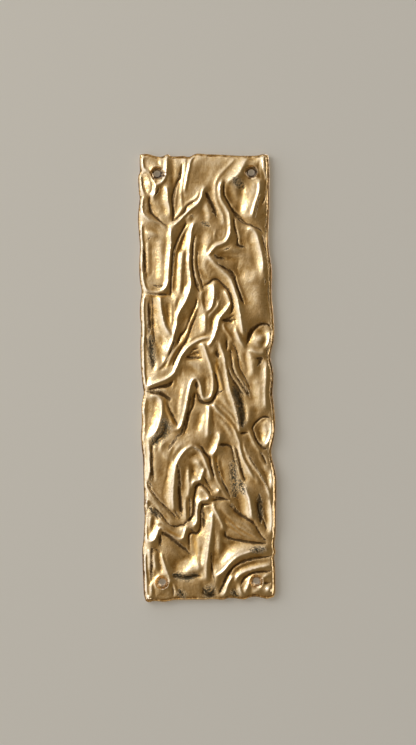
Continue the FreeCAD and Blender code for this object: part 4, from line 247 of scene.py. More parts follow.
# folds: level of the crest, (width, rise per mm) of its upper left side and then of its other side, and the
# line of the crest
FOLDS = [
    (7.2, (1.6, 0.7), (1.6, 0.95), [(-41.2, 147), (-41.3, 145), (-40.8, 141.6), (-39.6, 139.2),
        (-36.4, 136.6), (-34.8, 134), (-33.6, 131.3), (-32.8, 129), (-32.4, 125.8), (-33.3, 122.4),
        (-34.4, 120.6)]),
    (6.5, (1.6, 0.62), (1.4, 0.95), [(-42.7, 137), (-43, 132.9), (-42.3, 128.7), (-41, 124.8),
        (-39.8, 122.7)]),
    (7.2, (2.6, 0.62), (1.6, 0.95), [(-24.2, 148.2), (-24.8, 146.5), (-24.8, 143.3), (-25, 139.1),
        (-25.6, 135.6), (-26.8, 132.2), (-29, 129.8), (-31.8, 128.2), (-33.4, 124.5)]),
    (6.5, (1.5, 0.3), (1.2, 0.6), [(-12.2, 146), (-12.4, 141.8), (-13, 137.6), (-13.9, 133.7),
        (-14.6, 128.8), (-15.4, 123.5), (-15, 118), (-14.8, 113.8), (-17.2, 109.8)]),
    (7.3, (2.6, 0.62), (1.4, 0.8), [(-6.3, 148.2), (-8, 146.2), (-9.3, 143), (-9.9, 139.5), (-11.1, 134.9),
        (-11.7, 131.4), (-12.5, 127.1), (-13.3, 123.6)]),
    (7.7, (1.8, 0.62), (1.6, 0.9), [(0.8, 126.6), (0, 126), (-1.2, 123.2), (-1.6, 120.8), (-3.1, 117.6),
        (-4.9, 115.2), (-9.9, 111.5), (-13.9, 107.7), (-16.7, 104.6), (-19.2, 102.5), (-21, 101)]),
    (7.2, (1.9, 0.75), (1.6, 0.8), [(-41.3, 120), (-41.8, 114), (-40.8, 109.5), (-37, 105.8), (-33, 103.9),
        (-30, 103), (-27.5, 101), (-24.8, 98.8)]),
    (7.4, (4.6, 0.62), (1.5, 0.95), [(-24.8, 127), (-24.3, 122.6), (-24.2, 119), (-23.6, 115.5),
        (-22.9, 112), (-22.5, 108.8)]),
    (7.2, (1.9, 0.62), (1.4, 0.95), [(-42.4, 102), (-42.2, 95.8), (-42.3, 90.5), (-42.6, 84.8),
        (-42.7, 79.9), (-42.5, 74.6), (-42, 69.4), (-41.2, 64.4), (-40.1, 60.4), (-38.4, 58), (-35.5, 57.1),
        (-32, 57), (-29.2, 57.6)]),
    (7.4, (4, 0.62), (1.5, 0.95), [(-29.2, 57.6), (-26.4, 60), (-24.9, 63.8), (-24.4, 69), (-24, 74.3),
        (-23.5, 79.5), (-22.9, 84.8), (-22.4, 90.1), (-22.5, 95.4), (-22.1, 99.6)]),
    (8, (2.6, 0.55), (1.4, 0.9), [(-6.9, 103), (-8.6, 98.8), (-9.2, 93.5), (-9.9, 88.2), (-10.4, 82.9),
        (-10.6, 77.6), (-10.5, 72.3), (-9.8, 67), (-9.5, 63.5), (-9.9, 59.6), (-11, 56.1), (-13.6, 50),
        (-16.6, 45.4), (-18.8, 40.5), (-19.5, 34.9), (-20.3, 32), (-21.2, 28.6), (-22.3, 24.7),
        (-24.2, 20.1), (-25.9, 15.9)]),
    (5.8, (1.6, 0.46), (1.2, 0.71), [(-6.2, 90), (-6.8, 82), (-6.9, 76), (-6.1, 70), (-4.7, 64),
        (-2.8, 59)]),
    (6.1, (1.6, 0.3), (2.2, 0.71), [(-14.7, 84.5), (-15.9, 72.4), (-16.4, 64), (-17.2, 56)]),
    (7.7, (2.7, 0.62), (1.8, 0.95), [(12.2, 130.8), (10.7, 126.6), (10.5, 123.4), (11, 119.9),
        (12.3, 116.7), (14, 114.2), (15.4, 111.7), (16.4, 109.2), (16.9, 106.3), (17.2, 102), (17.2, 98.4),
        (16.6, 94.9), (15.3, 92.2), (13.4, 89.7), (10.6, 88.4), (7.7, 87.4), (5.9, 85.7), (4.1, 83.6),
        (2.4, 81.6)]),
    (6.3, (3.4, 0.34), (1.4, 0.25), [(21, 145.6), (18.2, 142.7), (14.8, 139.2), (10.6, 134.8), (8, 129.8),
        (7.5, 125.9), (7.5, 122.4), (8.2, 118.1), (9.2, 114.6), (11.4, 110), (12.4, 107.1), (13, 102.2)]),
    (6, (1.6, 0.46), (1.2, 0.71), [(22, 99), (22.8, 95.5), (23.8, 92)]),
    (8, (4.2, 0.75), (1.5, 0.85), [(2.4, 80.4), (6.3, 76.4), (9, 73.7), (12, 70.9), (14.7, 68.3),
        (16.8, 65.9), (18.2, 62.7), (19.2, 59.4), (20.2, 56.2), (21.2, 53.5), (21.8, 50.3), (22.3, 46.4),
        (23, 42.2), (23.5, 38.7), (24, 35.2), (24.6, 32.1), (25.3, 28.6)]),
    (7, (3.4, 0.6), (2, 0.8), [(36.8, 131), (37.2, 126), (36, 120.5), (34.2, 115.5), (32.8, 110.5),
        (31.8, 107)]),
    (7, (1.6, 0.62), (1.2, 0.95), [(39.9, 147), (39.9, 144.2), (40.2, 138.9), (41, 136.1), (41.8, 133.2),
        (41.6, 131)]),
    (7.4, (6.5, 0.5), (2.2, 0.8), [(29.5, 99.6), (33, 97.9), (35.1, 94.9), (36, 91.2), (37, 87.6),
        (37.9, 83.7), (38.8, 78.8), (39, 73.5), (38.5, 69.5)]),
    (7.4, (3.3, 0.62), (1.4, 0.95), [(5, 62.5), (5.8, 59), (5.8, 55), (5.3, 51), (4.3, 47.5), (2.7, 45.1),
        (0.8, 44.1)]),
    (6.8, (1, 0.4), (1.2, 0.95), [(0.8, 44.1), (-1, 45.2), (-2.1, 48.3), (-2.6, 52.5), (-2.4, 56.5)]),
    (7.8, (2.9, 0.62), (1.6, 0.95), [(13.2, 57.6), (14.8, 54.2), (15.8, 52), (16.3, 49.5), (16.1, 47.6),
        (14.8, 45.9), (13.2, 43.8), (11.3, 41.7), (9.7, 39.6), (8.6, 37.3), (7.9, 34.5), (7.1, 31.4),
        (6, 28.2), (4.7, 25.1), (3.1, 22.6), (1.3, 20.8)]),
    (5.8, (1.7, 0.46), (1.2, 0.71), [(9.5, 52), (8.2, 47.5), (5.2, 43.6), (2.9, 41), (1.8, 38)]),
    (6.3, (6, 0.46), (1.6, 0.71), [(0, 42), (-0.2, 38), (-0.3, 34), (-0.6, 30)]),
    (6, (1.6, 0.46), (1.5, 0.71), [(11.9, 36.5), (12.2, 33.2), (13.9, 30.4), (16, 27.3), (17.7, 24.5)]),
    (6.5, (3, 0.62), (2.4, 0.95), [(19.5, 33), (21, 28.5), (23.3, 23.6), (25.6, 20.2)]),
    (5.9, (1.6, 0.46), (1.2, 0.71), [(18.6, 13), (18.9, 7.5), (20.8, 2), (23.2, -2.2), (25.6, -6.2),
        (28.2, -10.6)]),
    (5.9, (1.6, 0.46), (1.2, 0.71), [(14.8, 12), (15.6, 6.5), (17.2, 1.8), (19.6, -1.6), (22, -5.4),
        (24.4, -9.2), (27, -13)]),
    (7.1, (3.4, 0.62), (1.2, 0.95), [(42.6, 29), (42.6, 26), (42.2, 23.2), (41.2, 20.6), (39.8, 18.2)]),
    (7.2, (3.4, 0.62), (1.5, 0.95), [(28.8, 17.8), (32, 16.4), (35.6, 15.2), (39, 15.6)]),
    (7, (4, 0.34), (1.8, 0.8), [(40.6, 9.5), (40.2, 5), (40.1, 0), (39.6, -6), (39.4, -13), (39.6, -21)]),
    (6.9, (1.9, 0.62), (1.4, 0.95), [(-41.2, 54), (-41.6, 47), (-41.5, 40), (-41.2, 35), (-41.3, 30),
        (-41.9, 24.8), (-42, 19), (-41.8, 10), (-41.8, 4), (-41.4, -1), (-40.8, -6)]),
    (7.6, (4.6, 0.62), (1.6, 0.95), [(-30.2, 54), (-29.9, 50), (-29.3, 44.3), (-28.1, 38), (-26.4, 33.1),
        (-23.9, 29.6), (-22.4, 28.8)]),
    (5.9, (1, 0.1), (1.2, 0.71), [(-26, 13), (-27.8, 10.6), (-29.9, 7.9), (-32.5, 5.6)]),
    (6.2, (1.6, 0.46), (1.2, 0.71), [(-5.6, 46.5), (-7.3, 43.2), (-8.8, 39.4), (-10.9, 34.8), (-12.4, 29.9),
        (-14.3, 25.8), (-16.4, 23), (-18.6, 20.6), (-21.1, 17.4), (-22.9, 14.3), (-24.3, 11.5),
        (-26, 7.5)]),
    (7.7, (2.4, 0.62), (1.6, 0.95), [(3.4, 25), (0.4, 26), (-2.9, 25.4), (-6.1, 24), (-9.7, 21.8),
        (-12.5, 19.6), (-14.7, 16.9), (-16.5, 14.5), (-17.6, 12.1), (-19.1, 8.3), (-20.6, 5.2), (-21.6, 3),
        (-23.6, 1), (-26.4, -0.7), (-29.8, -2.2), (-33.3, -3.5), (-37, -4.7), (-39.8, -5.8)]),
    (7.6, (2.4, 0.62), (1.6, 0.95), [(-2.9, 22.6), (-1.2, 20.4), (-0.2, 17.6), (0.7, 14.7), (1.7, 11.8),
        (2.9, 8.3), (3.8, 4), (4.4, 0.5), (4.6, -4), (4.2, -8.3), (3.4, -11.8), (1.9, -14), (0.1, -14.6),
        (-1.8, -14.2), (-3, -12.6), (-3.7, -9.5), (-4.1, -6), (-4.9, -3.2), (-6.4, -1.2), (-8.2, -1.2),
        (-9.6, -2.5), (-10.5, -4.8), (-11.3, -8), (-12, -11.1), (-12.8, -14.6), (-13.5, -18.1),
        (-14.3, -22), (-15.3, -25.9), (-16.2, -28.7), (-17, -31.2), (-18.1, -33.3), (-19.7, -34.7)]),
    (6.1, (1.6, 0.46), (1.6, 0.71), [(6.4, 9), (7.6, 4.8), (8.8, 0.9), (9.5, -3), (10.4, -6.5), (11, -9)]),
    (7.8, (2.2, 0.62), (1.5, 0.95), [(9.2, 22.6), (10.1, 19.5), (11.3, 16.3), (12.1, 13.1), (12.6, 9.9),
        (13.1, 6.8), (13.6, 3.3), (13.9, 0.5), (14.4, -2.1), (15, -5.6), (15.7, -8.7), (16.7, -11.9),
        (17.7, -14.7), (18.5, -17.9), (19.2, -20.7), (19.8, -23.5), (20.3, -26.3), (20.8, -29.2),
        (21.3, -31.6), (21.6, -34.1), (22.1, -36.4)]),
    (7.1, (3.4, 0.62), (1.2, 0.95), [(43, -30.5), (43.2, -35.5), (42.6, -39.5), (41.2, -43.2),
        (39.6, -46)]),
    (6.3, (2, 0.46), (1.2, 0.71), [(28, -36.6), (29.4, -39.5), (30.7, -42.3), (31.9, -44.8), (33.7, -47.9),
        (36, -51.5)]),
    (5.6, (1.6, 0.46), (1.2, 0.71), [(-37, -8.9), (-32, -8.5), (-28, -9), (-24.4, -11.4)]),
    (5.8, (2, 0.46), (1.2, 0.71), [(-28, -15.9), (-26.3, -21.6), (-24.2, -26.5), (-22.6, -30.5)]),
    (6.2, (2, 0.6), (1.5, 0.71), [(-29.2, -26), (-27.5, -30), (-25, -33.1), (-22.2, -34.9),
        (-19.7, -34.9)]),
    (7, (7.2, 0.62), (1.8, 0.55), [(-37, -11.6), (-32.5, -12.4), (-30.2, -15.5), (-29.8, -20), (-30.2, -25),
        (-31.5, -30), (-33.5, -35), (-36.5, -40)]),
    (7.4, (3, 0.5), (0.8, 0.5), [(1.6, -18.4), (1.5, -21), (1.3, -26), (0.8, -31), (0.5, -35), (0.4, -40)]),
    (7.1, (2, 0.62), (1.5, 0.95), [(4.2, -18.2), (5.5, -19.8), (7.4, -22.4), (9.9, -25), (12.3, -27.2),
        (14.5, -29.5), (16.8, -32.2), (18.4, -35.4), (19.8, -38.8), (21, -42), (22.4, -46)]),
    (5.9, (1.6, 0.46), (1.2, 0.71), [(8, -18.6), (12, -21.8), (16, -25.8), (18.3, -29.5), (19.6, -33)]),
    (6.7, (3.2, 0.62), (1.6, 0.95), [(-38.9, -44), (-38.6, -52), (-38.6, -58), (-38.8, -63), (-39.8, -68)]),
    (5.9, (1.4, 0.4), (1.2, 0.71), [(-42.3, -46), (-42.1, -52), (-42.1, -60), (-42, -67)]),
    (7.8, (2.2, 0.62), (2.2, 0.95), [(2.4, -67.6), (1.6, -65), (0.6, -61.5), (-0.6, -58), (-2, -54.5),
        (-3.4, -51.3), (-5, -48.8), (-7, -47), (-9.4, -45.8)]),
    (7.8, (2.4, 0.5), (1.4, 0.7), [(-9.4, -45.8), (-12, -46.6), (-14.7, -48.6), (-16.8, -50.8),
        (-18.6, -53.3), (-20, -56.1), (-21, -58.5), (-21.5, -61.3), (-22, -64.1), (-22.3, -67),
        (-22.5, -69.8), (-22.8, -72.6), (-23, -76.1), (-23.1, -79.6), (-23.1, -82.5), (-22.9, -85.3),
        (-22.4, -88.4)]),
    (7.4, (3.8, 0.62), (1.6, 0.95), [(-1.8, -60), (-3, -63.5), (-4.1, -66.5), (-4.8, -68.4), (-6.5, -69.2),
        (-8.4, -69.4), (-9.7, -70.6), (-10.3, -72.7), (-10.6, -75)]),
    (6.1, (2.5, 0.46), (1.9, 0.71), [(-12.6, -60), (-12.7, -67), (-12.5, -74), (-13.2, -80)]),
    (7.6, (2.7, 0.62), (1.5, 0.95), [(-4, -74.4), (-3, -75.3), (-1.2, -76.7), (0.2, -78.9), (0.6, -80.3),
        (0, -81.6), (-1.6, -82.1), (-3.7, -82.2), (-5.5, -83), (-6.6, -85.1), (-7.2, -87.9), (-7.4, -90.7),
        (-7.3, -93.9), (-7.9, -97.2), (-9.6, -99.6)]),
    (6.2, (1.7, 0.46), (1.2, 0.71), [(-14.9, -81), (-14.9, -88), (-14.8, -95)]),
    (6.3, (1.9, 0.46), (1.2, 0.71), [(-42, -69), (-41.3, -71.5), (-40, -74.2), (-38.2, -77.3), (-36.3, -80),
        (-34.2, -82.8), (-31.8, -85.6), (-29, -88), (-26.5, -90)]),
    (6, (1.9, 0.46), (1.2, 0.71), [(-41.5, -77.5), (-39, -80), (-36, -82.8), (-33.4, -85.8), (-31, -89)]),
    (6.1, (1.7, 0.46), (1.2, 0.71), [(-36, -88.4), (-33.8, -90.8), (-31, -94.6)]),
    (6.3, (1.7, 0.46), (1.4, 0.71), [(-34.2, -97.6), (-32.6, -96.8), (-30.7, -97), (-28.7, -98.2),
        (-25.9, -99.9), (-23.8, -100.8)]),
    (7.6, (2, 0.62), (1.4, 0.95), [(-42, -95), (-42.2, -99), (-42.3, -102.9), (-42, -105.7), (-41.2, -108),
        (-39.4, -109.2), (-37.2, -108.8), (-35.7, -107.6), (-34.6, -105.5), (-33.8, -103.1), (-33, -101.1),
        (-31.9, -100.2), (-30.6, -100.7), (-28.8, -101.9), (-26.7, -103.4), (-24.6, -105), (-22.1, -106.7),
        (-20, -107.8), (-18, -107.9), (-16.6, -106.7), (-15.9, -104.6), (-15.3, -102.1), (-14.6, -100.4)]),
    (8.1, (2.5, 0.45), (1.5, 0.6), [(2.6, -90.5), (2.8, -96), (2.4, -100.7), (1.7, -105), (1, -109.2),
        (0.3, -114.1), (-0.4, -119), (-1.1, -123.6), (-1.4, -127.8), (-1.5, -131.3), (-1.4, -134.6)]),
    (7.4, (1.7, 0.62), (1.2, 0.95), [(3.6, -83.6), (4, -86.9), (5.4, -89.7), (6.8, -92.2), (8.2, -95.3),
        (9.4, -98), (10.2, -101.4)]),
    (6.3, (1.9, 0.46), (1.5, 0.71), [(11.6, -96.6), (16.9, -99.4), (21.8, -100.9), (25.3, -102.5),
        (28.8, -105), (32.3, -107.6), (36.8, -110.4)]),
    (5.9, (1.6, 0.46), (1.2, 0.71), [(12, -91.5), (17, -94.8), (22, -97.2), (26.4, -99.6), (31, -104)]),
    (5.6, (1.6, 0.46), (1.2, 0.71), [(13, -101.5), (18, -104.2), (24, -106), (29.5, -108.6)]),
    (7.6, (7.5, 0.9), (1.5, 0.95), [(24.8, -74), (26, -76.5), (27.4, -79.5), (28.2, -83), (28.9, -87.5),
        (29.3, -91.5), (30, -94.6)]),
    (7.2, (3.7, 0.62), (1.2, 0.95), [(41.4, -82), (42.4, -87.4), (42.6, -90.9), (42.6, -96.2),
        (42.5, -99.5), (42.2, -104)]),
    (7, (3.7, 0.62), (1.2, 0.95), [(42.5, -61.5), (43, -67), (43, -71), (42.5, -76)]),
    (6.7, (1.7, 0.62), (1.2, 0.95), [(27, -53), (28.7, -56.2), (30.4, -59), (32.5, -61.8), (34.6, -64.6),
        (36.7, -68.2), (38.4, -71), (39.7, -74.2), (41, -77.8), (42, -80.6)]),
    (6.7, (2.4, 0.62), (1.8, 0.95), [(21.2, -44), (22.2, -49.2), (23.2, -53.1), (24.9, -57), (26.6, -59.8),
        (28.5, -63.5), (31, -68)]),
    (6.3, (1.7, 0.46), (1.2, 0.71), [(24.2, -44), (25.2, -48), (26.6, -52)]),
    (6.1, (1.6, 0.46), (1.2, 0.71), [(17.2, -46.8), (18.3, -50.6), (19, -53.8), (20, -57.7), (20.8, -61.5),
        (21.8, -65.1), (23.2, -69)]),
    (6.2, (1.6, 0.46), (1.2, 0.71), [(3.3, -54), (3.6, -56), (4.2, -59.5), (5.2, -64.5), (6.5, -68.8),
        (8.2, -72), (9.9, -75.3), (11.6, -78.2), (13.3, -80.4), (15.2, -83.6)]),
    (8.1, (5, 0.62), (1.2, 0.95), [(8.2, -37.5), (8.5, -40.5), (7.9, -43), (7, -46), (5.8, -48.5),
        (4.6, -50.6), (2.8, -52.4)]),
    (7.4, (1.5, 0.6), (1.5, 0.95), [(-31.9, -117.4), (-31, -120), (-30.4, -122.1), (-29.6, -124.6),
        (-28.6, -127.4), (-27.5, -130.3), (-26.3, -132.9), (-25.5, -135.4)]),
    (6.5, (1.6, 0.62), (1.4, 0.95), [(-42.6, -117), (-42.4, -124), (-42.1, -131), (-41.9, -136)]),
    (6.7, (1.2, 0.62), (1.5, 0.95), [(-38.8, -137.6), (-38.5, -141), (-38.6, -145)]),
    (7.8, (2.5, 0.62), (1.8, 0.95), [(38, -114.4), (33.5, -115.4), (29.2, -116.6), (24.9, -118),
        (21.4, -119.2), (18.6, -120.7), (16.1, -122.7), (13.9, -124.9), (11.8, -127.4), (9.6, -129.8),
        (7.1, -131.6), (4.8, -132.8)]),
    (7, (3.4, 0.62), (1.8, 0.95), [(41, -126.6), (37.2, -127), (32.9, -127.7), (29, -128.7), (25.5, -129.7),
        (23.3, -130.6), (21.2, -131.8), (19.4, -133.4), (18, -135.6)]),
    (7.2, (2.2, 0.62), (1.6, 0.95), [(16.4, -132.6), (15.2, -134.2), (13.8, -136.4), (12.7, -138.7),
        (12, -140.8), (11.2, -143.2), (9.6, -145.6)]),
    (6.7, (3.1, 0.62), (1.2, 0.95), [(27.6, -135), (26.8, -138), (25.6, -141), (24.4, -143.6)]),
    (6.5, (2, 0.62), (1.8, 0.95), [(39.8, -132.9), (37.6, -133.4), (35.8, -134.6)]),
    (6.1, (1.6, 0.46), (1.2, 0.71), [(35.4, -141.4), (32.6, -142.8), (29.6, -143.4)]),
    (5.6, (1.6, 0.46), (1.2, 0.71), [(-23.4, -137), (-22.6, -141), (-21, -145)]),
    (6.1, (1.7, 0.46), (1.2, 0.71), [(20.4, -139), (21, -142), (22.4, -146)]),
    (6.8, (2.6, 0.36), (1, 0.45), [(-3, 124.5), (-5.2, 119.8), (-10.8, 116.2), (-15.5, 111),
        (-18.5, 106.5)]),
    (8.2, (8, 0.45), (1, 0.25), [(29.5, 146.2), (27, 142.3), (25.2, 138.4), (23, 135), (19.5, 132),
        (15.5, 129.4)]),
    (6.2, (1.2, 0.45), (0.8, 0.4), [(7.6, 98.6), (6.6, 95.2), (6, 92)]),
]

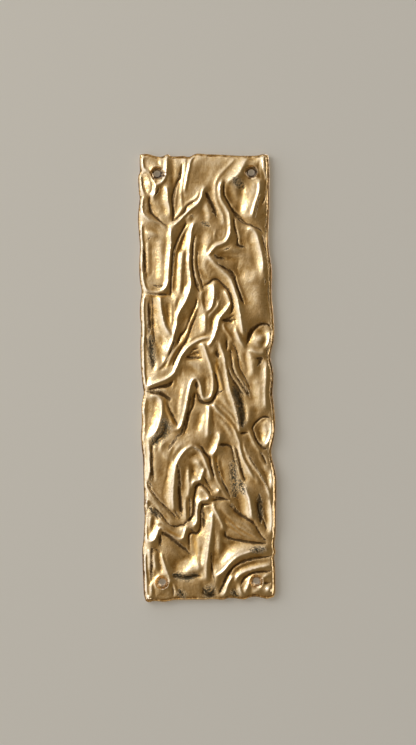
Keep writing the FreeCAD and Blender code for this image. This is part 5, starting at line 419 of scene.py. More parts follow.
# grooves: level of the bottom, width of each wall, rise per mm of the walls, line of the bottom
GROOVES = [
    (3.2, 1, 0.85, [(-14.7, 142.8), (-15.9, 134), (-17.4, 131.4), (-19.2, 127.6), (-21.2, 120.6),
        (-21.1, 115.3), (-20.7, 108.3), (-21.3, 104.8)]),
    (3.4, 1, 0.75, [(-7, 117.2), (-11.5, 114.5), (-13.2, 110.9), (-16, 108.3), (-19, 105.8), (-21, 104.6)]),
    (3.8, 0.8, 0.55, [(1.8, 123.6), (4, 118), (7.5, 110)]),
    (3, 1, 0.95, [(-36.7, 121), (-36.8, 115.8), (-35.8, 110.8), (-33.4, 108), (-30.6, 105.4),
        (-27.8, 102.8), (-25, 101.3)]),
    (3, 1, 0.95, [(-12.2, 103.3), (-13.6, 100.1), (-15.7, 96.6), (-18.2, 92), (-19.6, 88.4), (-21.1, 84.4),
        (-21.7, 79.5), (-22.1, 74.2), (-22.5, 68.9), (-23, 63.6), (-23.2, 58.3), (-23.4, 54.8)]),
    (3.2, 1, 0.85, [(-39.9, 57.2), (-37.4, 56.4), (-33.9, 55.9), (-28.6, 55.6), (-23.6, 55.1)]),
    (3.2, 1, 0.85, [(-5.7, 53), (-6.5, 48.5), (-8.3, 44.4), (-10.2, 40.5), (-11.8, 35.9), (-13, 32.8),
        (-14.7, 30.3), (-16.6, 28.3), (-17.9, 25.5), (-18.9, 22.9)]),
    (3.6, 1, 0.65, [(-6.4, 94.9), (-7.9, 88.2), (-8.2, 82.9), (-8.6, 77.6), (-7.6, 68), (-6, 61.6),
        (-3.9, 56.8)]),
    (3.8, 0.8, 0.55, [(-5, 84.6), (-5.4, 77.6), (-4.8, 72.2), (-3.5, 66.9), (-1.9, 61.6), (-1.2, 58.6)]),
    (3.5, 1, 0.7, [(13.6, 130), (13.3, 125), (13.3, 121.5), (14.8, 118.6), (16.5, 115.8), (18.2, 112.9),
        (20.6, 109.7), (23.4, 106.8), (25.5, 104.3), (27.6, 102.1), (31.2, 101), (35.9, 98.9), (38, 97.3),
        (39.6, 95.6)]),
    (3.3, 1, 0.8, [(19.6, 106.5), (19.9, 102), (20.5, 98.4), (21.5, 94.9), (22, 92.4), (21.9, 89.6),
        (22.6, 87.8), (25.4, 86.7), (27.5, 85.9)]),
    (4, 0.8, 0.45, [(9, 86), (13, 87), (17, 88.2)]),
    (4.4, 0.8, 0.25, [(10, 82.6), (20, 81.5), (30, 81)]),
    (3.5, 1, 0.7, [(7.4, 76.8), (9.8, 74.6), (12.6, 73.2), (14.7, 72.1), (17.5, 70.6), (19.6, 67.5),
        (20.4, 63.9), (21.2, 60.7), (22.5, 57.1), (24.2, 52.8), (25.6, 48.6)]),
    (3.6, 1, 0.65, [(42, 128.3), (41.4, 124.8), (40.8, 120.6), (39.9, 117.8), (38.4, 114.3)]),
    (3.6, 1, 0.65, [(40.2, 108.3), (40.9, 106.5), (40.9, 101.9), (40.6, 99.9), (40.5, 95.3)]),
    (3.9, 0.8, 0.5, [(36.9, 145), (36.8, 136.5), (37.8, 132.3)]),
    (4.1, 0.8, 0.4, [(24, 145.6), (30, 146), (35, 146)]),
    (3.6, 1, 0.65, [(38.4, 94.6), (39.4, 89.3), (40.4, 85), (41.3, 80.3), (42.2, 75.7), (42.7, 69.7),
        (42.4, 62.7), (42, 57.5), (42.2, 52.2), (42.8, 48.6), (43.2, 43.3), (43.7, 38), (43.9, 34)]),
    (3.4, 1, 0.75, [(-0.9, 60.8), (2.6, 63), (5.1, 65.2), (7.4, 65.2), (9.8, 63.6), (12.4, 61),
        (14.9, 58.3), (16.8, 54.2), (17.7, 49.7), (18, 46.2), (17.3, 43.3), (16.2, 41.6)]),
    (4, 0.8, 0.45, [(-0.6, 57), (-0.7, 51), (-0.3, 46.6)]),
    (3.9, 0.8, 0.5, [(12.6, 47.3), (10.2, 44.5), (7, 41.9), (5, 38.8), (3.8, 33.5)]),
    (4, 0.8, 0.45, [(6.7, 53.4), (6.9, 50), (6.4, 47)]),
    (3, 1, 0.95, [(13, 40), (15.6, 39.2), (19, 41)]),
    (3.4, 1, 0.75, [(14, 37.4), (17.6, 37)]),
    (3.4, 1, 0.75, [(13.9, 25.4), (13.8, 23.2), (13.9, 20.4), (13.7, 17.3)]),
    (2.8, 1, 1, [(5.8, 16.6), (7.1, 15.4), (8.4, 14.2)]),
    (3.6, 1, 0.65, [(5.2, 24.4), (7.3, 23.6)]),
    (3.8, 0.8, 0.55, [(17.6, 22.8), (19.6, 18.7), (20.8, 15.3), (21.4, 12), (22.3, 6), (25, 0.6),
        (27.5, -4), (29.3, -9)]),
    (3.8, 0.8, 0.55, [(16.2, 19.1), (16.6, 14.6), (17, 10), (17.4, 5.8), (19.2, 1.4), (21.4, -2),
        (23.8, -5.8), (26.4, -9.8), (28.6, -13.8)]),
    (3.8, 0.8, 0.55, [(14.2, 7.6), (15.1, 4), (16.4, 0.4), (18.4, -3.2), (20.6, -6.4), (22.8, -10),
        (25.6, -13.4)]),
    (3, 1, 0.95, [(27.2, 21.4), (28.5, 24.6), (30, 27.9), (31.8, 30.7), (34.3, 33.1), (37.1, 34.7),
        (39.6, 35.3), (41.9, 34.6), (43.2, 32.6), (43.5, 30.8)]),
    (3.9, 0.8, 0.5, [(35, 11.6), (37, 11), (39.4, 11.4)]),
    (3.5, 1, 0.7, [(43.6, 25.5), (42.4, 20.6), (41, 18.2), (40.6, 15.7), (40.8, 12.5), (42, 9.7),
        (42.9, 6.6), (43.3, 2), (43.4, -2), (42.7, -7.3), (42.5, -11.5), (42.8, -15), (43.3, -19.6),
        (43.6, -24), (43.9, -28.5)]),
    (3.8, 0.8, 0.55, [(-35.5, 54), (-35.3, 45), (-35.3, 35), (-34.8, 28), (-34, 23)]),
    (4.2, 0.8, 0.35, [(-28.3, 50), (-27, 42), (-25.4, 35.6), (-24.2, 32.4)]),
    (4.2, 0.8, 0.35, [(-21.8, 50), (-21.8, 42), (-22, 35)]),
    (3.6, 1, 0.65, [(-39.8, 29), (-39.7, 25), (-38.9, 21), (-37.6, 16.6), (-36.4, 14.4), (-35.5, 11.6),
        (-35, 8.5), (-36.3, 5.6)]),
    (3.8, 0.8, 0.55, [(-6, 41.2), (-7.9, 37.6), (-9.7, 33.4), (-11, 29.4), (-13, 24.6), (-15.6, 21),
        (-18.4, 16.6), (-20.8, 12), (-22.6, 7.6)]),
    (3.9, 0.8, 0.5, [(2.4, 27.4), (0.3, 27.9), (-1.8, 27.6), (-4.6, 26.9), (-7.8, 25.4), (-11.4, 23.2)]),
    (3.6, 1, 0.65, [(-5, 19.4), (-8, 18.4), (-11, 15.8)]),
    (4.2, 0.8, 0.35, [(-12, 13.4), (-8, 13), (-4, 13)]),
    (3.2, 1, 0.85, [(5.4, 3.7), (6.3, 0.6), (7, -2.6), (7.5, -5.7), (7.2, -9.2), (6.1, -12.2), (4.8, -14.6),
        (3, -16.6), (0.3, -17.3), (-2.5, -17.1), (-4.6, -15.9), (-5.7, -13.4), (-6.2, -10.4)]),
    (4.4, 0.8, 0.25, [(-0.6, -3), (-0.6, -10)]),
    (2.8, 1, 1, [(-6.8, -3.6), (-6.6, -7.6)]),
    (3.6, 1, 0.65, [(-7.6, -10.3), (-8.4, -14.9), (-9.2, -19.4), (-11, -23), (-12.3, -27), (-13.3, -31),
        (-14.2, -34), (-15, -37.4)]),
    (3.8, 0.8, 0.55, [(16.9, -6.6), (18.8, -11.8), (20.9, -17), (22.4, -24), (24, -31)]),
    (3, 1, 0.95, [(22.6, -37.9), (25, -37.6), (27.3, -37)]),
    (3.1, 1, 0.9, [(43.1, -28.4), (41.2, -27.4), (38.4, -27), (35.9, -28), (33.5, -30.1), (31.4, -32.2),
        (30.4, -34.3), (31, -36.6), (32, -39.6), (33.4, -42.8), (35.2, -46), (37.8, -48.3), (40.2, -48.4)]),
    (3.2, 1, 0.85, [(-39.6, -9.4), (-37, -10.1), (-33, -10.7), (-30, -11.5), (-27, -13), (-24.8, -15.5)]),
    (3.4, 1, 0.75, [(-39.3, -8), (-36.6, -7.6), (-34.5, -6.9), (-31.7, -6.4), (-28.9, -6.4), (-26, -5.8),
        (-23.9, -4.6), (-22.4, -2)]),
    (4.3, 0.8, 0.3, [(-19.3, 2), (-20.5, -3), (-22.2, -8.5)]),
    (3.5, 1, 0.7, [(-26.4, -17), (-24.4, -22.3), (-22.3, -26.5), (-20.6, -30), (-19.8, -32.4)]),
    (3.7, 0.8, 0.6, [(-28.5, -29.6), (-28, -34), (-30, -38.4), (-33.6, -41.6), (-36.6, -45)]),
    (3.9, 0.8, 0.5, [(7, -24.8), (9, -26.6), (12.1, -29), (15.4, -32.2), (17.2, -34.8), (18.6, -38)]),
    (4.2, 0.8, 0.35, [(3.7, -22), (4.1, -28), (4.9, -34)]),
    (3.8, 0.8, 0.55, [(-37.2, -44), (-37, -52), (-36.8, -60), (-36.4, -67)]),
    (4.3, 0.8, 0.3, [(-24.9, -55), (-26.8, -61.3), (-27.3, -65.5), (-28.3, -69), (-29.4, -73.2), (-30, -77),
        (-29.6, -81), (-28.7, -84.5)]),
    (3.5, 1, 0.7, [(-5.8, -45.2), (-3.7, -46.8), (-2.2, -49.2), (-0.6, -51.6), (1.2, -53.6), (1.9, -56),
        (2.1, -58.8), (2.9, -61.6), (3.8, -64.8), (4.5, -67.6)]),
    (4.3, 0.8, 0.3, [(-7.5, -50.8), (-6, -52.3), (-4, -53.4)]),
    (3.1, 1, 0.9, [(-3.8, -72), (-6.3, -72.1), (-7.7, -73.9), (-8.4, -76.3), (-9, -79.8), (-9.5, -82.6),
        (-9.6, -86.2), (-9.7, -90), (-10.7, -92.8), (-12.5, -96)]),
    (3.4, 1, 0.75, [(-3.8, -72.2), (-1.8, -73.6), (-0.2, -75), (1.2, -77), (2.2, -79)]),
    (3.5, 1, 0.7, [(-2.4, -66), (-1.2, -68.8), (0.3, -71.6), (1.9, -74.6), (3.6, -76)]),
    (3, 1, 0.95, [(2.4, -84.6), (-0.6, -85), (-3, -85.4), (-4.3, -87.7), (-4.9, -90.5), (-5, -94),
        (-5.1, -99), (-6, -102.6), (-8, -104.4), (-11, -104), (-12.8, -105.4), (-13, -110), (-12.6, -115)]),
    (3.8, 0.8, 0.55, [(-12.2, -80), (-12.1, -87), (-12.4, -93)]),
    (3.6, 1, 0.65, [(-18.9, -74), (-18.3, -81.5), (-18, -86.8), (-17.3, -91)]),
    (3.7, 0.8, 0.6, [(-21.9, -87.6), (-21.5, -90.2), (-20, -92.6), (-18.4, -94.9)]),
    (3.4, 1, 0.75, [(-40.3, -70.2), (-37.9, -75), (-35.4, -78.6), (-32.6, -82.2), (-29.8, -84.9),
        (-27.2, -87.6), (-25, -89.9), (-22.9, -91.9), (-21.4, -94)]),
    (3.7, 0.8, 0.6, [(-37.4, -85.6), (-39.1, -85.3), (-40.6, -87.8), (-41.2, -89.9), (-41, -92.7),
        (-40.2, -95.2)]),
    (3.3, 1, 0.8, [(-37.2, -85.6), (-34.8, -88), (-32.7, -90), (-30, -93.2), (-28, -95.8), (-25.4, -98.4),
        (-21.7, -99.4), (-18.1, -98.5), (-15.6, -99)]),
    (3.5, 1, 0.7, [(-38, -90.5), (-35.5, -92), (-33, -94.6)]),
    (4.1, 0.8, 0.4, [(-27.3, -101.4), (-24.5, -103.2), (-22, -104.6), (-20.4, -106), (-18.8, -106.2)]),
    (3, 1, 0.95, [(-31, -103.6), (-29.9, -104.8), (-27.3, -105.7), (-25.2, -107.5), (-22.4, -110),
        (-19.6, -112.2), (-17.1, -114.3), (-14.7, -116.2), (-11.9, -118.8)]),
    (3.6, 1, 0.65, [(-31.7, -104.5), (-31.9, -108), (-32, -112)]),
    (3.6, 1, 0.65, [(-24.6, -132.8), (-20, -133.4), (-15, -133.6), (-10, -132.9), (-5.6, -132.8)]),
    (2.9, 1, 1, [(-4.2, -141), (-3.6, -144.6), (0, -146), (4.4, -145.8)]),
    (4.2, 0.8, 0.35, [(-1.4, -142.4), (0.6, -141.8)]),
    (4, 0.8, 0.45, [(3.9, -99), (4, -106), (3.9, -111.8), (3.6, -117), (3.2, -122.3), (2.4, -127),
        (1.7, -131.5), (1.6, -134.6)]),
    (3.5, 1, 0.7, [(3.4, -82.2), (7, -81.8), (12, -81.8), (14.4, -82.6)]),
    (3.4, 1, 0.75, [(11.3, -103.3), (11.6, -106.2), (13.6, -107.2), (16, -108.2), (19.9, -109.1),
        (25.1, -109.9), (30.4, -110.9), (35, -111.3), (39, -111.4)]),
    (4, 0.8, 0.45, [(10.6, -95), (12.6, -99.2), (15.4, -101.4)]),
    (3.4, 1, 0.75, [(13.6, -84.2), (16, -87.3), (18.6, -90.2), (21.4, -92.2), (24, -93.8), (26.8, -95.7),
        (28.9, -96.8), (30.8, -98.7), (32.5, -101.4), (34.2, -104.5), (35.9, -107), (37.6, -108.9),
        (39.4, -110.4)]),
    (3.3, 1, 0.8, [(33, -83.5), (34, -89.8), (35.4, -93.3), (37.1, -96.5), (38.2, -100.2), (39, -103)]),
    (3.6, 1, 0.65, [(40.8, -46.4), (40.2, -48.6), (40.7, -52), (41.5, -55.2), (42.2, -58)]),
    (3.2, 1, 0.85, [(35, -50.4), (36.8, -53), (38.2, -56), (39.2, -58.8)]),
    (3.7, 0.8, 0.6, [(18.2, -45.8), (19.5, -49), (20.2, -52.4), (21.3, -56.8), (22.4, -61.2), (23.4, -64.6),
        (25.1, -69)]),
    (3.1, 1, 0.9, [(6.5, -46.6), (8, -45.4), (9.6, -44.9), (11.7, -45.1), (14.2, -45.7), (15.9, -47.2),
        (16.9, -50.4), (17.6, -54.3), (18.4, -58)]),
    (4, 0.8, 0.45, [(6.3, -52), (6.2, -58), (7, -63), (8, -67.3), (9.5, -70), (11, -72.2), (12.6, -75.2),
        (14.4, -78.6), (15, -81)]),
    (3.8, 0.8, 0.55, [(-37.8, -117.5), (-37.8, -120.3), (-37.9, -125.5), (-38.1, -130.8), (-38.7, -135.4)]),
    (3.6, 1, 0.65, [(-36.4, -113.6), (-34.2, -115.2), (-32.8, -116.8)]),
    (3.9, 0.8, 0.5, [(-36.6, -141.3), (-36.2, -145), (-35.6, -147.2)]),
    (4.2, 0.8, 0.35, [(-32.6, -144.9), (-29.4, -146), (-26, -146.2)]),
    (3.4, 1, 0.75, [(-24.4, -139), (-24, -143), (-24, -147)]),
    (3.2, 1, 0.85, [(-19.5, -144), (-17.6, -146.6)]),
    (3.6, 1, 0.65, [(41.8, -120.2), (39, -120.6), (35.5, -120.8), (30.2, -121.4), (26.6, -122.2),
        (23.2, -123.2), (20.2, -124.6), (17.2, -126.8), (14.8, -129.6), (12.8, -132.8), (11.2, -136),
        (9.4, -139.4), (7.8, -142.6), (6.6, -145.6)]),
    (4.2, 0.8, 0.35, [(41, -123.2), (35.5, -123.8), (30.2, -124.8), (26.6, -125.8), (23.4, -126.6),
        (19.9, -128.4), (17.4, -130.6), (15.6, -132.2)]),
    (3.5, 1, 0.7, [(42, -130), (38.9, -130.1), (34.7, -130.2), (30.4, -130.8), (27.6, -132), (24.7, -133.9),
        (23, -135.8), (21.8, -138)]),
    (3.4, 1, 0.75, [(15.6, -141), (17.6, -145), (19.4, -147)]),
    (4.2, 0.8, 0.35, [(16.6, -137.6), (18.6, -139)]),
    (3.3, 1, 0.8, [(37, -138), (39, -137.9), (41.2, -138.2)]),
    (3.9, 0.8, 0.5, [(28.4, -141), (28.2, -145.2)]),
    (4.6, 0.8, 0.45, [(1.2, 82.6), (3.2, 86.8), (6.6, 90), (9.5, 91), (12.4, 91.6), (14.2, 94),
        (14.6, 99)]),
    (4.8, 0.7, 0.4, [(0.2, 72.5), (1.4, 75.5), (3.4, 76.8), (4.6, 75.2)]),
    (4.8, 0.7, 0.35, [(2.2, 73.4), (1.6, 71), (2.6, 68.6)]),
    (4.8, 0.7, 0.35, [(4.6, 71.5), (3.8, 69), (3, 65.8)]),
    (4.8, 0.7, 0.35, [(5.4, 97.5), (5, 94), (5.2, 91.2)]),
    (5, 0.7, 0.3, [(8.6, 98), (8.2, 94.5), (9.4, 91.8)]),
    (5, 0.7, 0.3, [(11.8, 100), (11.6, 96), (11, 93)]),
    (3.8, 0.8, 0.5, [(-41.8, 134.5), (-39.5, 136.6), (-37.2, 135.4), (-35.6, 132.5), (-34.8, 129),
        (-35.1, 125.5), (-36.7, 123)]),
    (3.6, 1.5, 0.2, [(-39.4, -15), (-39.6, -22), (-40, -30), (-40.4, -38)]),
    (3.6, 1.5, 0.2, [(22.5, 79), (21.5, 72), (23.5, 66)]),
]

# broad slopes: rise per mm away from the upper left (negative: falls), width, middle line
SLOPES = [
    (0.5, 3, [(-41.5, 149), (-41, 143), (-38.5, 138)]),
    (0.5, 3, [(-29.5, 148), (-30, 144), (-29, 141)]),
    (-0.5, 2.5, [(-41.5, 133), (-41.2, 128), (-39.5, 124)]),
    (0.3, 2, [(-36.9, 129), (-36.6, 126)]),
    (0.6, 3, [(-42.3, 119), (-42, 113), (-40.5, 109)]),
    (-0.75, 3.5, [(-37, 118), (-36, 112), (-33, 108)]),
    (0.5, 5, [(-28, 124), (-27, 116), (-25, 109)]),
    (-0.5, 2.5, [(-29, 128), (-33, 121)]),
    (0.2, 3, [(-19.5, 147), (-19.5, 138), (-20, 131)]),
    (-0.4, 3, [(-22.5, 147), (-22.5, 138), (-22, 128)]),
    (0.1, 4, [(-13.5, 143), (-14, 135), (-15, 126), (-17.5, 115), (-19, 110)]),
    (-0.12, 10, [(-3, 146), (-4, 138), (-5, 130)]),
    (0.12, 8, [(7, 142), (3, 132), (0, 128)]),
    (0.6, 8, [(24, 143), (21, 138), (17, 133)]),
    (0.34, 10, [(18, 131), (19.5, 123), (22, 114)]),
    (-0.25, 4, [(25.5, 133), (23, 128)]),
    (0.55, 11, [(28, 130), (27, 122), (26, 114), (25.5, 107)]),
    (-0.15, 5, [(39, 124), (38.5, 116), (38, 109)]),
    (-0.5, 4, [(2, 122), (5, 115), (8, 108)]),
    (0.3, 6, [(0, 117), (1, 110), (2, 104)]),
    (-0.3, 5, [(-8, 109), (-10, 104)]),
    (-0.8, 3.5, [(-41.3, 92), (-41, 82), (-40.6, 73), (-40, 66)]),
    (-0.2, 4, [(-37, 92), (-37, 80), (-37, 68)]),
    (0.3, 9, [(-32, 93), (-31.5, 82), (-31, 72), (-31.5, 64)]),
    (0.45, 4, [(-39, 98), (-34, 97), (-31, 95)]),
    (-0.7, 3, [(-14.5, 98), (-18, 91), (-20, 83), (-20.8, 74), (-21.6, 64), (-22, 57)]),
    (-0.1, 3, [(-17, 93), (-18.6, 84), (-19.4, 74), (-19.8, 64), (-20, 56)]),
    (0.12, 3, [(-15, 84), (-16, 74), (-16, 64), (-16, 56)]),
    (-0.35, 2, [(-13.2, 78), (-13, 68), (-13.5, 60)]),
    (-0.5, 3, [(-8.5, 88), (-8.8, 78), (-8, 68), (-5, 60)]),
    (0.3, 10, [(1.5, 99), (0, 90), (-1, 82), (-0.5, 74), (1, 67)]),
    (0.25, 6, [(6, 98), (4, 92)]),
    (0.3, 5, [(12, 99), (11, 93)]),
    (0.35, 8, [(3, 72), (7, 68)]),
    (-0.5, 9, [(9, 82), (16, 82), (24, 81)]),
    (-0.35, 7, [(24, 84), (29, 80.5)]),
    (-0.5, 4, [(22.5, 95), (23.5, 90), (27, 86)]),
    (0.25, 5, [(27, 98), (28, 92)]),
    (0.3, 8, [(35, 97), (37.5, 90), (38, 81), (36, 73)]),
    (0.45, 12, [(24, 70), (30, 68), (36, 70)]),
    (-0.4, 3.5, [(14, 72), (20, 66), (24, 58), (26, 50)]),
    (0.24, 16, [(30, 62), (31, 54), (32, 43)]),
    (0.6, 5, [(2.8, 60), (3, 53), (3, 47)]),
    (-0.6, 4, [(7.5, 59), (8, 53), (7, 48)]),
    (0.4, 4, [(12, 57), (13.5, 52)]),
    (-0.6, 4, [(-38.3, 52), (-38, 42), (-37.5, 32)]),
    (-0.25, 4, [(-36, 34), (-35, 25), (-33, 16)]),
    (0.62, 7, [(-32.2, 53), (-31.3, 44), (-29, 36), (-25.5, 30), (-22, 27)]),
    (0.45, 5, [(-23.5, 50), (-23.5, 42), (-23.5, 36)]),
    (-0.5, 2.5, [(-27.6, 50), (-26.3, 42), (-24.8, 36)]),
    (0.5, 6, [(-29.5, 29), (-27.5, 24), (-27, 20)]),
    (-0.45, 4, [(-38, 24), (-36.5, 16), (-35, 9)]),
    (0.2, 6, [(-39, 12), (-38, 4)]),
    (-0.05, 6, [(-34, 4), (-30, 2), (-25, 5)]),
    (-0.1, 6, [(-11, 50), (-14, 42), (-16.5, 33), (-18.5, 26)]),
    (0.3, 6, [(-4, 38), (-5, 35), (-7, 31)]),
    (-0.4, 4, [(-3.5, 52), (-2.5, 46)]),
    (-0.5, 4, [(2.5, 42), (3, 36), (2.5, 30)]),
    (-0.7, 5, [(-14, 14), (-9, 17), (-4, 17)]),
    (0.35, 6, [(-13, 9), (-7, 6), (-3, 3)]),
    (-0.35, 3, [(-17, 8), (-18.5, 0)]),
    (-0.8, 5, [(6, 20), (7, 15)]),
    (0.35, 4, [(8, 11), (8.6, 4), (9.4, -3)]),
    (-0.9, 5, [(11, 39), (15, 38.5), (19, 40)]),
    (0.35, 4, [(19.5, 37), (20.5, 31), (23, 25)]),
    (-0.3, 4, [(12, 30), (13, 22)]),
    (0.3, 3, [(19.8, 20), (22.5, 12), (25.5, 5)]),
    (-0.35, 3, [(16, 22), (17, 14)]),
    (0.1, 10, [(34, 46), (34, 41)]),
    (-0.8, 4, [(28, 24), (30.5, 30), (35, 34), (40, 35)]),
    (0.7, 8, [(33, 28), (38, 27), (40, 25)]),
    (0.7, 8, [(29.5, 22), (33.5, 18), (37.5, 15.5)]),
    (0.5, 6, [(27.5, 17), (28.5, 9), (29.5, 1)]),
    (-0.65, 4, [(33, 13), (34.5, 8)]),
    (0.42, 6.5, [(38.5, 8), (38.3, 1), (37.5, -6)]),
    (0.35, 5, [(-16, -4), (-17.5, -12), (-18.5, -20), (-19, -27)]),
    (0.25, 3, [(-21.5, 0), (-23, -8)]),
    (-0.6, 3.5, [(-36, -9), (-30, -10.5), (-25, -14)]),
    (0.55, 12, [(-35.5, -14), (-35, -21), (-36, -28), (-38, -36)]),
    (-0.45, 3, [(-29, -17), (-26.5, -23), (-24.5, -29)]),
    (0.25, 4, [(-24, -19), (-22.5, -25)]),
    (-0.5, 5, [(-27, -31), (-30, -37), (-34.5, -43)]),
    (-0.6, 3, [(-6.5, -3), (-6.5, -9)]),
    (0.35, 4, [(0.5, 0), (0.5, -10)]),
    (-0.35, 2, [(-2.4, 0), (-2.4, -9)]),
    (-0.28, 3, [(-9, -14), (-11.5, -23), (-14, -32), (-18, -39)]),
    (0.42, 9, [(-1.5, -22), (-3.5, -30), (-6, -38)]),
    (-0.12, 4, [(3.5, -22), (4, -30), (3, -38)]),
    (0.3, 5, [(8, -29), (12, -34), (16, -40)]),
    (-0.4, 3, [(7, -25.5), (12, -30), (16, -35)]),
    (0.35, 6, [(9, -14), (12, -19), (16, -24)]),
    (0.35, 3.5, [(12.5, -3), (14, -12), (17, -20)]),
    (-0.7, 5, [(18, -5), (21, -13), (23, -22), (24, -30)]),
    (0.3, 8, [(31, -1), (32, -8), (33, -16)]),
    (0.3, 9, [(35, -3), (34.5, -11), (34, -19)]),
    (-0.35, 8, [(30, -20), (30, -28), (28, -34)]),
    (-0.8, 4, [(40, -27.5), (34.5, -29), (31, -34), (32, -40), (35, -46)]),
    (0.65, 9, [(37, -32), (38, -38), (39, -45)]),
    (-0.3, 6, [(25, -41), (28, -47), (31, -53)]),
    (0.6, 5.5, [(6, -38.5), (4.5, -43), (2.5, -48)]),
    (-0.25, 6, [(9, -44), (15, -44)]),
    (0.1, 3, [(-10, -42), (-15, -46), (-20, -52)]),
    (-0.3, 7, [(-27, -42), (-31, -50)]),
    (0.6, 4, [(-40.5, -40), (-40.3, -48), (-40.3, -56), (-40.5, -64)]),
    (-0.7, 2.5, [(-37.8, -46), (-37.6, -54), (-37.2, -62), (-37, -69)]),
    (-0.1, 8, [(-33, -50), (-32, -60), (-33, -70)]),
    (0.6, 5, [(-24, -60), (-25.5, -68), (-26, -76), (-25.5, -83)]),
    (-0.4, 2.5, [(-19, -58), (-20.2, -66), (-20.7, -74), (-20.3, -82), (-19, -89)]),
    (-0.2, 4, [(-16, -60), (-17, -70)]),
    (0.5, 5, [(-13.5, -62), (-14, -70), (-14.2, -78)]),
    (0.65, 6, [(-9, -57), (-6, -60), (-4.5, -66)]),
    (-0.6, 4, [(-12, -51), (-6, -50), (-3, -53)]),
    (-0.7, 3.5, [(-8.5, -73), (-9.3, -80), (-9.8, -88)]),
    (0.3, 3, [(-12.8, -82), (-13, -90)]),
    (0.55, 4, [(-16, -82), (-15.8, -90), (-15.5, -95)]),
    (0.5, 4, [(-3, -77.5), (-1.5, -80)]),
    (0.5, 2.5, [(-1.5, -53), (0, -58), (1.5, -64)]),
    (-0.6, 3, [(3.6, -55), (4.6, -62), (7, -69), (10, -75)]),
    (-0.45, 3, [(7.5, -55), (8.5, -62), (10.5, -69)]),
    (0.3, 4, [(17.5, -60), (19, -70), (20.5, -77)]),
    (-0.5, 2.5, [(19.5, -56), (21, -62), (23, -69)]),
    (0.45, 4, [(25, -54), (27.5, -60), (30.5, -66), (33, -71)]),
    (-0.5, 3, [(31.5, -53), (35, -58), (38, -62)]),
    (0.45, 5, [(33.5, -55), (37, -60), (40.5, -66), (41.5, -72)]),
    (-0.4, 3.5, [(28, -57), (31, -63), (35, -70)]),
    (0.9, 7, [(23.5, -77), (24.5, -83), (26, -89), (28, -94)]),
    (-0.3, 5, [(10, -82), (16, -86), (20, -91)]),
    (0.3, 5, [(8, -88), (13, -92), (19, -95)]),
    (-0.6, 4, [(31.5, -84), (32.3, -92), (34, -98)]),
    (-0.5, 4, [(36, -86), (37.5, -93), (39, -100)]),
    (0.5, 3, [(41.8, -84), (42, -92), (41.8, -100)]),
    (-0.45, 3, [(-38, -73), (-33, -79.5), (-27, -86)]),
    (0.3, 4, [(-36, -78), (-31, -83)]),
    (-0.5, 4, [(-38, -88), (-35, -92)]),
    (0.3, 3.5, [(-29, -90), (-25, -94.5)]),
    (0.5, 4, [(0.3, -98), (-1, -107), (-2, -115)]),
    (-0.8, 3, [(-4, -86), (-4.2, -93), (-4.5, -100)]),
    (0.35, 5, [(-38.5, -99), (-38, -104)]),
    (-0.6, 3.5, [(-29, -104.5), (-22, -109), (-15, -115)]),
    (-0.5, 3, [(-32, -106), (-32, -112)]),
    (-0.8, 3.5, [(-38.3, -114), (-38.2, -122), (-38.6, -130)]),
    (0.4, 3.5, [(-41.8, -114), (-41.6, -124), (-41.5, -134)]),
    (-0.8, 7, [(-35, -116), (-34.5, -122), (-33.5, -130)]),
    (-0.2, 6, [(-25, -111), (-21, -116), (-17, -120)]),
    (-0.5, 3, [(-27.5, -120), (-26, -125), (-23.5, -130)]),
    (0.5, 6, [(-9, -124), (-8, -129)]),
    (0.35, 6, [(-8, -106), (-8, -114), (-8, -120)]),
    (0.65, 5.5, [(-2.5, -112), (-3.5, -120), (-4, -127)]),
    (-0.2, 4, [(2.8, -98), (3, -108), (2.5, -118), (1.5, -128)]),
    (0.3, 4, [(6, -104), (6, -112), (5.5, -121)]),
    (0.55, 14, [(7.5, -127), (12, -119.5), (20, -114), (29, -112.5)]),
    (-0.35, 4, [(9, -110), (14, -112)]),
    (0.15, 7, [(17, -103), (25, -106)]),
    (-0.55, 3, [(38, -118), (30, -119.3), (23, -121), (17, -124.5)]),
    (-0.45, 3, [(34, -122.5), (26, -124.5), (19, -128)]),
    (0.5, 3.5, [(41, -125), (33, -126), (26, -127.8), (20, -131)]),
    (-0.5, 3, [(38, -130), (31, -130.5), (25, -133.5)]),
    (-0.35, 5, [(11, -128), (8, -134), (5, -140)]),
    (-0.1, 8, [(-18, -137), (-12, -140)]),
    (-0.5, 4, [(-6, -137), (-4.5, -142)]),
    (0.45, 3, [(13.5, -134), (11.8, -139), (10, -144)]),
    (-0.5, 4, [(16.5, -139), (17, -145)]),
    (0.45, 3, [(27, -137), (25, -142)]),
    (0.6, 6, [(-29, -143), (-27.5, -144.5)]),
    (0.5, 3, [(-39, -138), (-38.8, -144)]),
    (0.6, 9, [(-10.5, -57.5), (-7, -62), (-6.5, -68)]),
    (0.62, 14, [(-22, -131), (-14, -126), (-6, -120)]),
    (0.3, 10, [(-20, -130), (-17, -125), (-15, -120)]),
    (0.3, 6, [(24, 143), (29, 145)]),
    (-0.45, 2, [(-41.5, 134), (-39.2, 136), (-37.4, 134.6)]),
    (0.85, 1.4, [(-40.5, 110), (-37, 106.4), (-33, 104.5), (-30, 103.5), (-27.5, 101.6)]),
    (0.38, 6, [(32, 130), (31, 120), (29.5, 112)]),
    (0.5, 15, [(27, 76), (28, 70), (28, 63)]),
    (0.3, 8, [(37, 78), (38, 71), (36.5, 64)]),
    (0.42, 8, [(-3, 76), (1, 70), (4, 66)]),
    (-0.7, 4, [(-37, -92), (-38, -98), (-38.5, -103)]),
    (1.1, 5, [(23.5, -80), (24.5, -86), (26.3, -91)]),
    (0.35, 7, [(-11, 41), (-14, 33), (-17, 27)]),
    (-0.16, 10, [(-20, -140), (-10, -140), (0, -141)]),
    (-0.25, 9, [(-35, 20), (-32, 12), (-30, 6)]),
    (-0.1, 5, [(-27, -45), (-27.5, -54)]),
